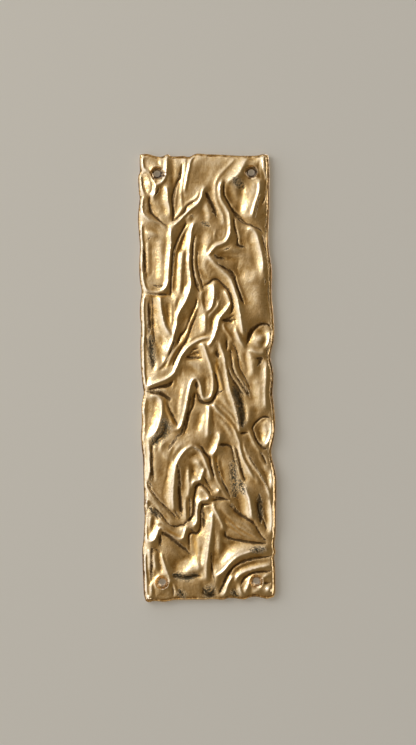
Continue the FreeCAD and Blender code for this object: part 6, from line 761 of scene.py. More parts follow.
    (-0.7, 4, [(-12, 101), (-14.3, 96), (-16.5, 90), (-18, 84)]),
    (-0.15, 5, [(-3, -88), (-3, -96)]),
    (-0.3, 5, [(-16, -46), (-21, -50), (-24, -56)]),
    (-0.2, 5, [(0.5, -86), (0.5, -93)]),
    (0.45, 5, [(9, 69), (13.5, 63.5), (17.5, 57)]),
    (0.45, 9, [(29, 20), (35, 19)]),
    (-0.35, 4, [(-5.8, 53), (-5.2, 46)]),
    (0.45, 5, [(33.5, 129), (31.5, 121), (29.5, 113)]),
    (0.25, 8, [(-21, -121), (-20, -128)]),
    (-0.4, 4, [(-41, -133), (-41, -140), (-41, -146)]),
    (-0.3, 4, [(-37, -127), (-36.5, -133)]),
    (-0.3, 3, [(18.5, 41), (20.5, 34)]),
    (-0.35, 4, [(-22.5, -46), (-24.5, -50), (-26, -55)]),
    (-0.6, 4, [(-2.5, -86.8), (2.5, -86.3)]),
    (-0.4, 3, [(-3.8, 53), (-3.6, 47)]),
    (-0.1, 3, [(-9, 103), (-11.5, 99), (-13, 95)]),
    (-0.35, 4, [(-16.3, 133), (-17.8, 126), (-18.8, 118), (-19.8, 112)]),
    (0.3, 3, [(-15, 124), (-14.7, 118), (-15.3, 112)]),
    (-0.3, 3, [(-18, 54), (-20, 48), (-22, 42)]),
    (-0.3, 4, [(-34, -44.5), (-34, -49)]),
]

# small bumps and pits: level, radius, middle
SPOTS = [
    (6.6, 1.2, (-41, -82.8)),
    (6.3, 1.2, (7.2, -75.8)),
    (6.4, 1, (-40.4, -147)),
    (6.2, 1.9, (39.8, -142.2)),
]

# Wear and painted light, on the same drawing: how wide each mark is (mm) and the line it follows.
# First the black and brown marks: partly tarnish, partly painted shade laid along slopes and grooves that
# face away from the light.
TARNISH_AND_SHADE_MARKS = [
    # upper quarter
    (3.0, [(-37, 118), (-36, 112), (-34, 109)]),
    (2.0, [(-30, 127), (-33, 121)]),
    (2.0, [(-16, 138), (-18, 130), (-20, 122), (-21, 105)]),
    (1.6, [(13, 128), (13.5, 122), (17, 114), (21, 107), (26, 102)]),
    (3.5, [(1, 123), (4, 117), (8, 107)]),
    (1.8, [(37, 121), (34, 108)]),
    (1.5, [(34, 107.5), (33.5, 106)]),
    (1.0, [(39, 147), (40.5, 139), (41.5, 133)]),
    (1.4, [(-41.8, 136), (-41.5, 131), (-41, 126)]),
    (1.6, [(23, 126.5), (23.5, 125.5)]),
    (1.5, [(-8, 108.5), (-8, 107)]),
    (1.2, [(2, 104), (2.5, 103)]),
    # second quarter
    (2.6, [(-41.5, 88), (-41, 79), (-40.5, 70)]),
    (2.0, [(-36, 94), (-39, 92)]),
    (2.6, [(-35, 62), (-31, 61), (-28, 62)]),
    (2.0, [(-12.5, 103), (-17, 94), (-20, 85), (-22.5, 65), (-23.3, 56)]),
    (1.8, [(-8, 90), (-8.3, 78), (-7.5, 68), (-4, 60)]),
    (2.8, [(6, 82), (8, 80), (13, 79)]),
    (2.6, [(22, 93), (22, 88), (27, 86.5)]),
    (1.6, [(12, 84), (17, 86.5)]),
    (2.4, [(10, 75), (16, 70), (20, 64), (24, 50)]),
    (1.4, [(39, 66), (40, 63.5), (39.5, 61)]),
    (1.6, [(7, 58), (7, 52)]),
    # just above the middle
    (3.2, [(-38, 50), (-38, 40), (-38, 30)]),
    (2.8, [(-38, 28), (-37, 18), (-36, 8)]),
    (1.8, [(-20, 33), (-21.5, 24), (-24, 17), (-28, 10)]),
    (1.8, [(-16.5, 30), (-19, 22)]),
    (2.0, [(-14, 14), (-9, 13), (-3, 13)]),
    (2.4, [(-6, 17.5), (-5.8, 16)]),
    (4.0, [(7, 17), (8, 13)]),
    (3.2, [(11, 38), (19, 38)]),
    (2.6, [(27, 24), (30, 31), (36, 35), (42, 34)]),
    (2.6, [(33, 12), (37, 12), (34, 7)]),
    (1.8, [(26.5, 32), (26.5, 30)]),
    # just below the middle
    (2.0, [(-31, -5.5), (-24, -4)]),
    (2.0, [(-39, -7.5), (-31, -6), (-23, -3)]),
    (3.0, [(-40, -9), (-33, -9), (-26, -13), (-24, -15)]),
    (2.8, [(-6.5, -3), (-7, -8)]),
    (2.2, [(-5, -12), (-3.5, -16), (0, -17.5), (4, -16), (6, -12), (11, -9)]),
    (2.0, [(-10.5, -10), (-12, -20), (-14, -28), (-18, -39)]),
    (3.6, [(18, -6), (21, -14), (23, -22), (23.5, -33)]),
    (1.8, [(20, 0), (23, -5), (28, -13)]),
    (1.4, [(24, -2), (29, -14)]),
    (1.8, [(30, -35), (33, -30), (38, -27), (41, -28)]),
    (1.8, [(31, -37), (33, -43), (40, -49)]),
    (1.6, [(22.5, -37.5), (27.5, -37.5)]),
    (2.8, [(-17, -36), (-22, -42), (-26, -48)]),
    (2.0, [(-10, -46.5), (-1, -51)]),
    (1.8, [(8, -46), (14, -45.5)]),
    (1.8, [(2, -36), (2, -38)]),
    # third quarter
    (2.4, [(-38, -50), (-38, -60), (-38, -68)]),
    (2.0, [(-40, -69), (-37, -73)]),
    (3.2, [(-20, -58), (-19, -68), (-19, -80), (-18, -92)]),
    (3.0, [(-9, -74), (-6, -71.5), (-3, -72)]),
    (2.2, [(-9, -80), (-9.5, -88), (-11, -93), (-17, -98.5)]),
    (2.8, [(-4, -84), (-3.5, -92), (-3, -100)]),
    (2.0, [(3, -80), (12, -81)]),
    (2.0, [(6, -57), (8, -65), (12, -74), (15, -80)]),
    (3.0, [(34, -78), (35, -88), (35, -98)]),
    (2.0, [(15, -84), (20, -90), (30, -98)]),
    (2.8, [(-39, -87), (-36, -90), (-32, -93)]),
    (1.1, [(17, -50), (21, -60), (25, -70)]),
    (1.1, [(27, -52), (32, -60), (40, -75)]),
    (1.1, [(36, -50), (40, -60)]),
    # bottom quarter
    (2.4, [(-38, -113), (-38.5, -123), (-39, -133)]),
    (2.4, [(-31, -103), (-27, -105), (-20, -111), (-13, -117)]),
    (2.4, [(-33, -104), (-33, -112)]),
    (1.6, [(-13, -100), (-8, -104), (-5, -100)]),
    (1.5, [(1.5, -116), (2, -127), (4, -137)]),
    (1.8, [(11, -103), (12, -107), (18, -109), (28, -110.5), (38, -111.5)]),
    (1.8, [(42, -120), (30, -122), (20, -125), (13, -131), (6, -145)]),
    (1.6, [(42, -130), (30, -131), (24, -134), (21, -140)]),
    (2.0, [(36, -138), (41, -138)]),
    (2.8, [(-24, -131.5), (-14, -133.5), (-8, -131.5)]),
    (3.0, [(-4, -141), (1, -146), (3, -141)]),
]

# places that are rough and pitted, with bright flecks between
PITTED = [
    (6.5, [(20, 132), (26, 126)]),
    (4.5, [(-2, 103.5), (3, 101)]),
    (2.5, [(-9, 108.5), (-7, 107)]),
    (5.0, [(-37, 28), (-36, 8)]),
    (6.0, [(19, -8), (22, -18), (23.5, -33)]),
    (7.0, [(-29, -28), (-28, -36), (-32, -40), (-37, -44)]),
    (5.0, [(17, -56), (17.5, -68), (18, -80)]),
    (5.0, [(21, -69), (24, -78)]),
    (5.0, [(28, -115.5), (38, -115.5)]),
    (5.0, [(-24, -131.5), (-14, -133.5), (-8, -131.5)]),
    (6.0, [(-20, -142), (-17, -147)]),
    (9.0, [(-3, -143), (3, -144)]),
    (6.0, [(15, -143), (19, -146)]),
    (4.0, [(-39, -87), (-32, -93)]),
    (4.5, [(34, -80), (35, -96)]),
]

# golden streaks along the folds: partly bare brass, partly painted reflection
GOLD_AND_GLINT_STREAKS = [
    (2.2, [(-18, 92), (-20, 80), (-21.5, 58)]),
    (1.2, [(-7, 47), (-12, 31), (-17, 23), (-26, 7)]),
    (2.0, [(12, 35), (18, 24)]),
    (3.0, [(7, 12), (7, 0), (11, -9.5)]),
    (2.4, [(-28.5, -14), (-27, -22), (-21, -32)]),
    (2.4, [(-28.5, 48), (-24, 33)]),
    (1.2, [(8, -92), (16, -101), (24, -107)]),
    (1.2, [(12, -93), (20, -101), (32, -108)]),
    (2.4, [(12, -26), (18.5, -35)]),
    (2.0, [(-30, -101), (-17, -107)]),
    (3.5, [(-10, -103), (-8, -118)]),
    (1.4, [(-25, 58), (-28, 54), (-40, 55)]),
    (1.6, [(4, -50), (7, -60), (12, -72)]),
]


def smooth_curve(points, step):
    """Points about one step apart on the smooth curve through the given points."""
    points = [np.array(p, float) for p in points]
    points = [2 * points[0] - points[1]] + points + [2 * points[-1] - points[-2]]
    curve = []
    for a, b, c, d in zip(points[:-3], points[1:-2], points[2:-1], points[3:]):
        count = max(1, int(math.ceil(np.linalg.norm(c - b) / step)))
        for k in range(count):
            t = k / count
            curve.append(0.5 * (2 * b + (c - a) * t + (2 * a - 5 * b + 4 * c - d) * t * t
                                + (3 * b - a - 3 * c + d) * t ** 3))
    curve.append(points[-2])
    return np.array(curve)


def drawn_span(low_edge, high_edge, axis):
    """How far apart the outermost points of two opposite edges of the drawing lie."""
    highest = smooth_curve(high_edge, LINE_STEP)[:, axis].max()
    lowest = smooth_curve(low_edge, LINE_STEP)[:, axis].min()
    return highest - lowest


# how far the drawing is stretched to the plate's size
STRETCH = np.array([
    PLATE_WIDTH / drawn_span(LEFT_EDGE, RIGHT_EDGE, 0),
    PLATE_HEIGHT / drawn_span(BOTTOM_EDGE, TOP_EDGE, 1),
])


def upper_left_hand(curve):
    """For each point of a curve, the way across it, on the side nearer the cloth at the upper left."""
    last = len(curve) - 1
    ahead = curve[np.minimum(np.arange(last + 1) + WAY_POINTS, last)]
    behind = curve[np.maximum(np.arange(last + 1) - WAY_POINTS, 0)]
    along = ahead - behind
    along /= np.linalg.norm(along, axis=1)[:, None] + 1e-9
    across = np.stack([along[:, 1], -along[:, 0]], axis=1)
    return across if (across @ np.array(TO_CLOTH)).sum() > 0 else -across


def fading(count, length):
    """How strongly each point of a stroke counts: it fades in and out over a length at its ends."""
    from_end = np.minimum(np.arange(count), np.arange(count)[::-1]) * LINE_STEP
    return np.clip(from_end / length, END_STRENGTH, 1.0)


def height_of(level):
    """The height above the back, in mm, of a level in the drawing of the folds."""
    return LIP_HEIGHT + level - LIP_LEVEL


def stroke_points(points):
    """A stroke's curve, and the directions across it."""
    curve = smooth_curve(points, LINE_STEP)
    return curve, upper_left_hand(curve)


def strip_count(width):
    """How many strips a stroke of this width is laid in."""
    return max(3, int(math.ceil(width / STRIP)))


def lean_beside(curve, across, side, width, steepness, shape, strengths):
    """Lean the front beside a curve, in strips from the curve outwards."""
    count = strip_count(width)
    rows = []
    for strip in range(count):
        s = (strip + 0.5) / count
        lean = across * (side * steepness * shape(s))
        weight = strengths * LINE_STEP * width / count
        rows.append(np.column_stack([curve * STRETCH + across * (side * s * width), lean, weight]))
    return rows


def lean_across(curve, across, width, steepness, strengths):
    """Lean the front all across a curve, most firmly along its middle."""
    count = strip_count(width)
    rows = []
    for strip in range(count):
        place = (strip + 0.5) / count - 0.5
        weight = strengths * math.cos(math.pi * place) ** 2 * LINE_STEP * width / count
        spots = curve * STRETCH + across * (place * width)
        rows.append(np.column_stack([spots, -steepness * across, weight]))
    return rows


def hold_level(curve, level, strengths):
    """Hold the front near a level of the drawing along a curve."""
    heights = np.full(len(curve), height_of(level))
    return np.column_stack([curve * STRETCH, heights, LEVEL_WEIGHT * strengths])


def crest_shape(s):
    """How steep the side of a fold is, from its crest (0) to its foot (1)."""
    return -min(1.0, 5.0 * s + 0.15, 1.25 - 1.1 * s)


def groove_shape(s):
    """How steep the wall of a groove is, from its bottom (0) to its brim (1)."""
    return min(1.0, 4.0 * s + 0.3, 1.6 * (1 - s) + 0.1)


def strokes():
    """The drawing as narrow leans, broad leans (x, z, rise per mm in x and z, weight) and heights."""
    narrow = []
    broad = []
    heights = []
    for crest, lit, shaded, points in FOLDS:
        curve, across = stroke_points(points)
        strengths = fading(len(curve), FOLD_FADE)
        narrow += lean_beside(curve, across, 1, lit[0], lit[1], crest_shape, strengths)
        narrow += lean_beside(curve, across, -1, shaded[0], shaded[1], crest_shape, strengths)
        heights.append(hold_level(curve, crest, strengths))
    for bottom, width, steepness, points in GROOVES:
        curve, across = stroke_points(points)
        strengths = fading(len(curve), GROOVE_FADE)
        shared = GROOVE_SHARE * strengths
        for side in (1, -1):
            narrow += lean_beside(curve, across, side, width, steepness, groove_shape, shared)
        heights.append(hold_level(curve, bottom, strengths))
    for steepness, width, points in SLOPES:
        curve, across = stroke_points(points)
        strengths = fading(len(curve), max(SLOPE_FADE, SLOPE_FADE_SHARE * width))
        broad += lean_across(curve, across, width, steepness, strengths)
    return np.vstack(narrow), np.vstack(broad), np.vstack(heights)


def edge_table(points, axis):
    """An edge as its places along one axis and its distances across it."""
    curve = smooth_curve(points, EDGE_STEP)
    curve = curve[np.argsort(curve[:, axis])]
    return curve[:, axis], curve[:, 1 - axis]


def edge_distances(x, z):
    """How far each place lies inside the plate's left, right, top and bottom edge."""
    left = x - np.interp(z, *edge_table(STRETCH * LEFT_EDGE, 1))
    right = np.interp(z, *edge_table(STRETCH * RIGHT_EDGE, 1)) - x
    top = np.interp(x, *edge_table(STRETCH * TOP_EDGE, 0)) - z
    bottom = z - np.interp(x, *edge_table(STRETCH * BOTTOM_EDGE, 0))
    return left, right, top, bottom


def read_field(field, x, z):
    """The field's value at each place, by straight mixing of the four grid points around it."""
    xs, zs, height = field
    step = xs[1] - xs[0]
    across = np.clip((x - xs[0]) / step, 0, len(xs) - 1.001)
    along = np.clip((z - zs[0]) / step, 0, len(zs) - 1.001)
    i = across.astype(int)
    j = along.astype(int)
    tx = across - i
    tz = along - j
    low = height[j, i] * (1 - tx) + height[j, i + 1] * tx
    high = height[j + 1, i] * (1 - tx) + height[j + 1, i + 1] * tx
    return low * (1 - tz) + high * tz


def spread_on_grid(marks, xs, zs, step):
    """The marks' weights and weighted values, each shared by the four grid points around it."""
    across = (marks[:, 0] - xs[0]) / step
    along = (marks[:, 1] - zs[0]) / step
    i = np.clip(across.astype(int), 0, len(xs) - 2)
    j = np.clip(along.astype(int), 0, len(zs) - 2)
    tx = across - i
    tz = along - j
    corners = (
        (0, 0, (1 - tx) * (1 - tz)),
        (1, 0, tx * (1 - tz)),
        (0, 1, (1 - tx) * tz),
        (1, 1, tx * tz),
    )
    sums = [np.zeros((len(zs), len(xs))) for _ in range(marks.shape[1] - 2)]
    for di, dj, share in corners:
        weight = share * marks[:, -1]
        np.add.at(sums[0], (j + dj, i + di), weight)
        for k in range(1, len(sums)):
            np.add.at(sums[k], (j + dj, i + di), weight * marks[:, 1 + k])
    return sums


def drawing_on_grid(drawing, xs, zs, step):
    """What the drawing asks of each grid point: trust in its lean, the lean, a pull and its goal."""
    narrow, broad, heights = drawing
    area = step * step
    narrow_sum, narrow_x, narrow_z = spread_on_grid(narrow, xs, zs, step)
    broad_sum, broad_x, broad_z = spread_on_grid(broad, xs, zs, step)
    height_sum, height_level = spread_on_grid(heights, xs, zs, step)
    near = np.minimum(1.0, narrow_sum / area)
    far = np.minimum(1.0, broad_sum / area)
    narrow_share = 1.0 / np.maximum(narrow_sum, area)
    broad_share = (1.0 - near) / np.maximum(broad_sum, area)
    lean_x = narrow_x * narrow_share + broad_x * broad_share
    lean_z = narrow_z * narrow_share + broad_z * broad_share
    trust = LEAST_TRUST + (1 - LEAST_TRUST) * np.maximum(near, BROAD_TRUST * far)
    pull = MIDDLE_PULL * area + height_sum
    goal = MIDDLE_PULL * area * height_of(MIDDLE_LEVEL) + height_level
    return trust, lean_x, lean_z, pull, goal


def roll_to_lip(distances, trust, lean_x, lean_z):
    """Round the front down to the lip along the left, right, top and bottom edge."""
    rolls = (
        (SIDE_ROLL, SIDE_STEEPNESS, 1, 0),
        (SIDE_ROLL, SIDE_STEEPNESS, -1, 0),
        (END_ROLL, END_STEEPNESS, 0, -1),
        (END_ROLL, END_STEEPNESS, 0, 1),
    )
    for distance, (width, steepness, way_x, way_z) in zip(distances, rolls):
        share = np.clip((width - distance) / (0.5 * width), 0, 1) * (distance > 0)
        lean_x = lean_x * (1 - share) + way_x * steepness * share
        lean_z = lean_z * (1 - share) + way_z * steepness * share
        trust = np.maximum(trust, share)
    return trust, lean_x, lean_z


def set_spots(x, z, step, pull, goal):
    """Pull the core of each small bump or pit to its level."""
    for level, radius, (spot_x, spot_z) in SPOTS:
        apart = np.hypot(x - STRETCH[0] * spot_x, z - STRETCH[1] * spot_z)
        core = apart < max(SPOT_CORE * radius, SPOT_LEAST * step)
        pull[core] += SPOT_PULL
        goal[core] += SPOT_PULL * height_of(level)


def set_seats(x, z, area, trust, lean_x, lean_z, pull, goal):
    """Keep the front level and at one height where the screws are seated."""
    for hole_x, hole_z in HOLES:
        seat = np.hypot(x - hole_x, z - hole_z) < SINK_RADIUS
        trust[seat] = 1.0
        lean_x[seat] = 0.0
        lean_z[seat] = 0.0
        pull[seat] = SEAT_PULL * area
        goal[seat] = SEAT_PULL * area * HOLE_SEAT


def settle(height, step, trust, lean_x, lean_z, pull, goal):
    """Move a skin, every other point at a time, until it follows the leans and heights asked of it."""
    east = np.zeros_like(pull)
    north = np.zeros_like(pull)
    east[:, :-1] = 0.5 * (trust[:, :-1] + trust[:, 1:])
    north[:-1] = 0.5 * (trust[:-1] + trust[1:])
    rise_east = np.zeros_like(pull)
    rise_north = np.zeros_like(pull)
    rise_east[:, :-1] = east[:, :-1] * 0.5 * (lean_x[:, :-1] + lean_x[:, 1:]) * step
    rise_north[:-1] = north[:-1] * 0.5 * (lean_z[:-1] + lean_z[1:]) * step
    west = np.roll(east, 1, axis=1)
    south = np.roll(north, 1, axis=0)
    push = goal - rise_east + np.roll(rise_east, 1, axis=1) - rise_north + np.roll(rise_north, 1, axis=0)
    total = pull + east + west + north + south
    rows, columns = pull.shape
    odd = (np.add.outer(np.arange(rows), np.arange(columns)) % 2).astype(bool)
    for _ in range(SWEEPS):
        for half in (odd, ~odd):
            around = np.pad(height, 1, mode="edge")
            level = (push + east * around[1:-1, 2:] + west * around[1:-1, :-2]
                     + north * around[2:, 1:-1] + south * around[:-2, 1:-1]) / total
            height = np.where(half, height + BOLDNESS * (level - height), height)
    return height


def relax(step, drawing, start):
    """Fit a skin to the drawing on a grid of the given step, starting from a coarser field."""
    reach_x = 0.5 * PLATE_WIDTH + FIELD_MARGIN
    reach_z = 0.5 * PLATE_HEIGHT + FIELD_MARGIN
    xs = np.arange(-reach_x, reach_x + step, step)
    zs = np.arange(-reach_z, reach_z + step, step)
    x, z = np.meshgrid(xs, zs)
    trust, lean_x, lean_z, pull, goal = drawing_on_grid(drawing, xs, zs, step)
    distances = edge_distances(x, z)
    trust, lean_x, lean_z = roll_to_lip(distances, trust, lean_x, lean_z)
    set_spots(x, z, step, pull, goal)
    set_seats(x, z, step * step, trust, lean_x, lean_z, pull, goal)
    lip = np.minimum.reduce(distances) < LIP_WIDTH
    pull[lip] = LIP_PULL
    goal[lip] = LIP_PULL * LIP_HEIGHT
    if start is None:
        height = np.full_like(pull, height_of(MIDDLE_LEVEL))
    else:
        height = read_field(start, x, z)
    return xs, zs, settle(height, step, trust, lean_x, lean_z, pull, goal)


def softened(field, reach):
    """The field with its sharp corners rubbed down over the given reach in mm."""
    xs, zs, height = field
    step = xs[1] - xs[0]
    count = int(math.ceil(3 * reach / step))
    weights = np.exp(-0.5 * (np.arange(-count, count + 1) * step / reach) ** 2)
    weights /= weights.sum()
    for axis in (0, 1):
        margins = [(count, count) if a == axis else (0, 0) for a in (0, 1)]
        padded = np.pad(height, margins, mode="edge")
        size = height.shape[axis]
        height = sum(w * np.take(padded, range(k, k + size), axis=axis) for k, w in enumerate(weights))
    return xs, zs, height


def worked_front():
    """The height of the front over the whole plate, found on ever finer grids."""
    drawing = strokes()
    field = None
    for coarseness in (16, 8, 4, 2, 1):
        field = relax(coarseness * FIELD_STEP, drawing, field)
    xs, zs, height = softened(field, EDGE_SOFTNESS)
    return xs, zs, LIP_HEIGHT + (height - LIP_HEIGHT) * FOLD_RISE / (height.max() - LIP_HEIGHT)


def spread(points, places):
    """The edge curve's points at the given shares of its length."""
    curve = smooth_curve(points, LINE_STEP)
    runs = np.concatenate([[0.0], np.cumsum(np.linalg.norm(np.diff(curve, axis=0), axis=1))])
    return np.column_stack([np.interp(places * runs[-1], runs, curve[:, n]) for n in (0, 1)])


def plan_places(u, v):
    """Where the points at shares u across and v up the plate lie, between its four wavy edges."""
    left = spread(STRETCH * LEFT_EDGE[::-1], v)
    right = spread(STRETCH * RIGHT_EDGE[::-1], v)
    top = spread(STRETCH * TOP_EDGE, u)
    bottom = spread(STRETCH * BOTTOM_EDGE, u)
    corners = [STRETCH * p for p in (BOTTOM_EDGE[0], BOTTOM_EDGE[-1], TOP_EDGE[0], TOP_EDGE[-1])]
    u = u[:, None]
    v = v[:, None]
    flat = ((1 - u) * (1 - v) * corners[0] + u * (1 - v) * corners[1]
            + (1 - u) * v * corners[2] + u * v * corners[3])
    return (1 - u) * left + u * right + (1 - v) * bottom + v * top - flat


def deselect_all():
    bpy.ops.object.select_all(action="DESELECT")


def activate(piece):
    """Make a piece the only one selected and the active one."""
    deselect_all()
    piece.select_set(True)
    bpy.context.view_layer.objects.active = piece


def point_places(mesh):
    """The places of the mesh's points, as rows of x, y and z."""
    place = np.zeros(len(mesh.vertices) * 3)
    mesh.vertices.foreach_get("co", place)
    return place.reshape(-1, 3)


def store(mesh, name, amount):
    """Store a value on each point of the mesh, for the brass to read."""
    held = mesh.attributes.new(name, "FLOAT", "POINT")
    held.data.foreach_set("value", amount.astype(np.float32))


def closer_at_edges(share, count, length):
    """Evenly spaced places, with those near both ends moved closer together."""
    fine = FINE_LINES * FINE_STEP / length
    return np.interp(share * count, (0, FINE_LINES, count - FINE_LINES, count), (0, fine, 1 - fine, 1))


def front_heights(field, plan, rim):
    """How high each point of the front stands above the back (mm), with the lip and its bead."""
    height = read_field(field, plan[:, 0], plan[:, 1])
    inside = np.minimum.reduce(edge_distances(plan[:, 0], plan[:, 1]))
    height[rim] = LIP_HEIGHT - LIP_ROUND
    lip = (inside < LIP_WIDTH) & ~rim
    height[lip] = np.minimum(height[lip], LIP_HEIGHT)
    return height - BEAD_DEPTH * np.exp(-((inside - BEAD_WIDTH) / (DIP_SHARE * BEAD_WIDTH)) ** 2)


def close_back(plate):
    """Draw the plate's rim back to a flat back and close it."""
    activate(plate)
    bpy.ops.object.mode_set(mode="EDIT")
    bpy.ops.mesh.select_all(action="DESELECT")
    bpy.ops.mesh.select_mode(type="EDGE")
    bpy.ops.mesh.select_non_manifold()
    bpy.ops.mesh.extrude_edges_move()
    bpy.ops.transform.resize(value=(1, 0, 1), center_override=(0, 0, 0))
    bpy.ops.mesh.edge_face_add()
    bpy.ops.mesh.select_all(action="SELECT")
    bpy.ops.mesh.normals_make_consistent(inside=False)
    bpy.ops.object.mode_set(mode="OBJECT")


def cast_plate(field):
    """The plate without its holes: a grid pushed out to the worked front and closed at the back."""
    deselect_all()
    bpy.ops.mesh.primitive_grid_add(x_subdivisions=COLUMNS, y_subdivisions=ROWS, size=1.0)
    plate = bpy.context.object
    plate.name = "finger_plate_cast"
    mesh = plate.data
    place = point_places(mesh)
    u = closer_at_edges(np.clip(place[:, 0] + 0.5, 0, 1), COLUMNS, PLATE_WIDTH)
    v = closer_at_edges(np.clip(place[:, 1] + 0.5, 0, 1), ROWS, PLATE_HEIGHT)
    rim = (u < 1e-6) | (u > 1 - 1e-6) | (v < 1e-6) | (v > 1 - 1e-6)
    plan = plan_places(u, v)
    height = front_heights(field, plan, rim)
    place = np.column_stack([plan[:, 0], -height, plan[:, 1]]) * MM
    mesh.vertices.foreach_set("co", place.ravel())
    mesh.update()
    close_back(plate)
    return plate


def screw_cutter(x, z):
    """The shape of one countersunk hole, standing through the plate."""
    depth = HOLE_SEAT - (SINK_RADIUS - HOLE_RADIUS)
    deselect_all()
    bpy.ops.mesh.primitive_cylinder_add(
        vertices=CUTTER_SIDES, radius=HOLE_RADIUS * MM, depth=(depth + CUTTER_SPARE) * MM,
        location=(x * MM, -0.5 * (depth - CUTTER_SPARE) * MM, z * MM), rotation=(math.pi / 2, 0, 0))
    cutter = bpy.context.object
    bpy.ops.object.transform_apply(location=True, rotation=True, scale=True)
    bpy.ops.object.mode_set(mode="EDIT")
    bpy.ops.mesh.select_all(action="DESELECT")
    bpy.ops.object.mode_set(mode="OBJECT")
    for face in cutter.data.polygons:
        face.select = face.normal.y < -0.9
    bpy.ops.object.mode_set(mode="EDIT")
    bpy.ops.mesh.select_mode(type="FACE")
    sink = SINK_RADIUS - HOLE_RADIUS + CUTTER_REACH
    widen = (SINK_RADIUS + CUTTER_REACH) / HOLE_RADIUS
    bpy.ops.mesh.extrude_region_move(TRANSFORM_OT_translate={"value": (0, -sink * MM, 0)})
    bpy.ops.transform.resize(value=(widen, 1, widen), center_override=(x * MM, 0, z * MM))
    bpy.ops.object.mode_set(mode="OBJECT")
    return cutter


def drill(plate):
    """Cut the four screw holes, each wider at the front for the screw's head."""
    cutters = [screw_cutter(x, z) for x, z in HOLES]
    deselect_all()
    for cutter in cutters:
        cutter.select_set(True)
    bpy.context.view_layer.objects.active = cutters[0]
    bpy.ops.object.join()
    activate(plate)
    cut = plate.modifiers.new("screw_holes", "BOOLEAN")
    cut.operation = "DIFFERENCE"
    cut.solver = "EXACT"
    cut.object = cutters[0]
    bpy.ops.object.modifier_apply(modifier=cut.name)
    bpy.data.objects.remove(cutters[0])


def brushed(place, marks):
    """How strongly each point lies under brush marks, each a width and the line it follows."""
    amount = np.zeros(len(place))
    for width, points in marks:
        line = STRETCH * smooth_curve(points, LINE_STEP)
        low = line.min(axis=0) - width
        high = line.max(axis=0) + width
        near = np.flatnonzero(((place > low) & (place < high)).all(axis=1))
        run = LINE_STEP * np.arange(len(line))
        press = np.minimum(1.0, STROKE_END + np.minimum(run, run[::-1]) / STROKE_TAPER)
        apart = np.full(len(near), 1e9)
        for point, strength in zip(line, press):
            gap = (place[near] - point) / strength
            apart = np.minimum(apart, gap[:, 0] ** 2 + gap[:, 1] ** 2)
        touch = STROKE_FIRMNESS * (1 - np.sqrt(apart) / (STROKE_REACH * width))
        amount[near] = np.maximum(amount[near], np.clip(touch, 0, 1))
    return amount


def tarnish_and_shade_at(place, level):
    """How dark the front is at each place, partly tarnish and partly painted shade: marks, grooves, screw
    seats, bead and outer wall.
    """
    tarnish_and_shade = brushed(place, TARNISH_AND_SHADE_MARKS)
    # dark along the steeper grooves: tarnish and painted shade
    steep = [points for _, _, steepness, points in GROOVES if steepness > CREASE_STEEPNESS]
    creases = brushed(place, [(CREASE_DIRT_AND_SHADE_WIDTH, points) for points in steep])
    tarnish_and_shade = np.maximum(tarnish_and_shade, CREASE_DIRT_AND_SHADE * creases)
    # the countersinks darkened: tarnish and painted shade in the recess
    for (x, z), amount in zip(HOLES, HOLE_TARNISH_AND_SHADE):
        apart = np.hypot(place[:, 0] - x, place[:, 1] - z)
        ring = np.clip((SINK_RADIUS + HOLE_RING - apart) / TARNISH_EDGE, 0, 1)
        tarnish_and_shade = np.maximum(tarnish_and_shade, amount * ring)
    inside = np.minimum.reduce(edge_distances(place[:, 0], place[:, 1]))
    # darker in the hollow inside the bead: tarnish and painted shade; the outer wall darker too
    beside_bead = np.clip(1 - np.abs(inside - BEAD_WIDTH - BEAD_HOLLOW) / TARNISH_EDGE, 0, 1)
    tarnish_and_shade = np.maximum(tarnish_and_shade, BEAD_TARNISH_AND_SHADE * beside_bead)
    wall = np.clip((LIP_HEIGHT - LIP_ROUND + WALL_TOP - level) / WALL_EDGE, 0, 1)
    return np.maximum(tarnish_and_shade, WALL_DARKENING * wall)


def mark_wear(plate):
    """Store on each point how much tarnish and painted shade, pitting, and golden streaks (bare brass and
    painted reflection) its place has.
    """
    points = point_places(plate.data) / MM
    place = points[:, [0, 2]]
    level = -points[:, 1]
    back = level < BACK_SKIN
    tarnish_and_shade = tarnish_and_shade_at(place, level)
    pitted = brushed(place, PITTED)
    gold_and_glint = brushed(place, GOLD_AND_GLINT_STREAKS)
    tarnish_and_shade[back] = BACK_TARNISH
    pitted[back] = 0.0
    gold_and_glint[back] = 0.0
    store(plate.data, "tarnish_and_shade", tarnish_and_shade)
    store(plate.data, "pitted", pitted)
    store(plate.data, "gold_and_glint", gold_and_glint)


def mark_hollows(plate, field):
    """Store on each point how far it lies above or below the front around it."""
    points = point_places(plate.data) / MM
    x = points[:, 0]
    z = points[:, 2]
    height = read_field(field, x, z)
    for name, reach in (("relief_fine", FINE_REACH), ("relief_broad", BROAD_REACH)):
        rise = height - read_field(softened(field, reach), x, z)
        rise[points[:, 1] > -BACK_SKIN] = 0.0
        store(plate.data, name, rise)


def link_math(tree, kind, first, second):
    """A maths node of the given kind between two outputs or numbers; gives its output."""
    step = tree.nodes.new("ShaderNodeMath")
    step.operation = kind
    for socket, value in zip(step.inputs, (first, second)):
        if isinstance(value, (int, float)):
            socket.default_value = value
        else:
            tree.links.new(value, socket)
    return step.outputs[0]


def mapped(tree, value, low, high, to_low, to_high):
    """The value moved from one range to another, and kept inside it."""
    step = tree.nodes.new("ShaderNodeMapRange")
    for name, number in (("From Min", low), ("From Max", high), ("To Min", to_low), ("To Max", to_high)):
        step.inputs[name].default_value = number
    tree.links.new(value, step.inputs["Value"])
    return step.outputs[0]


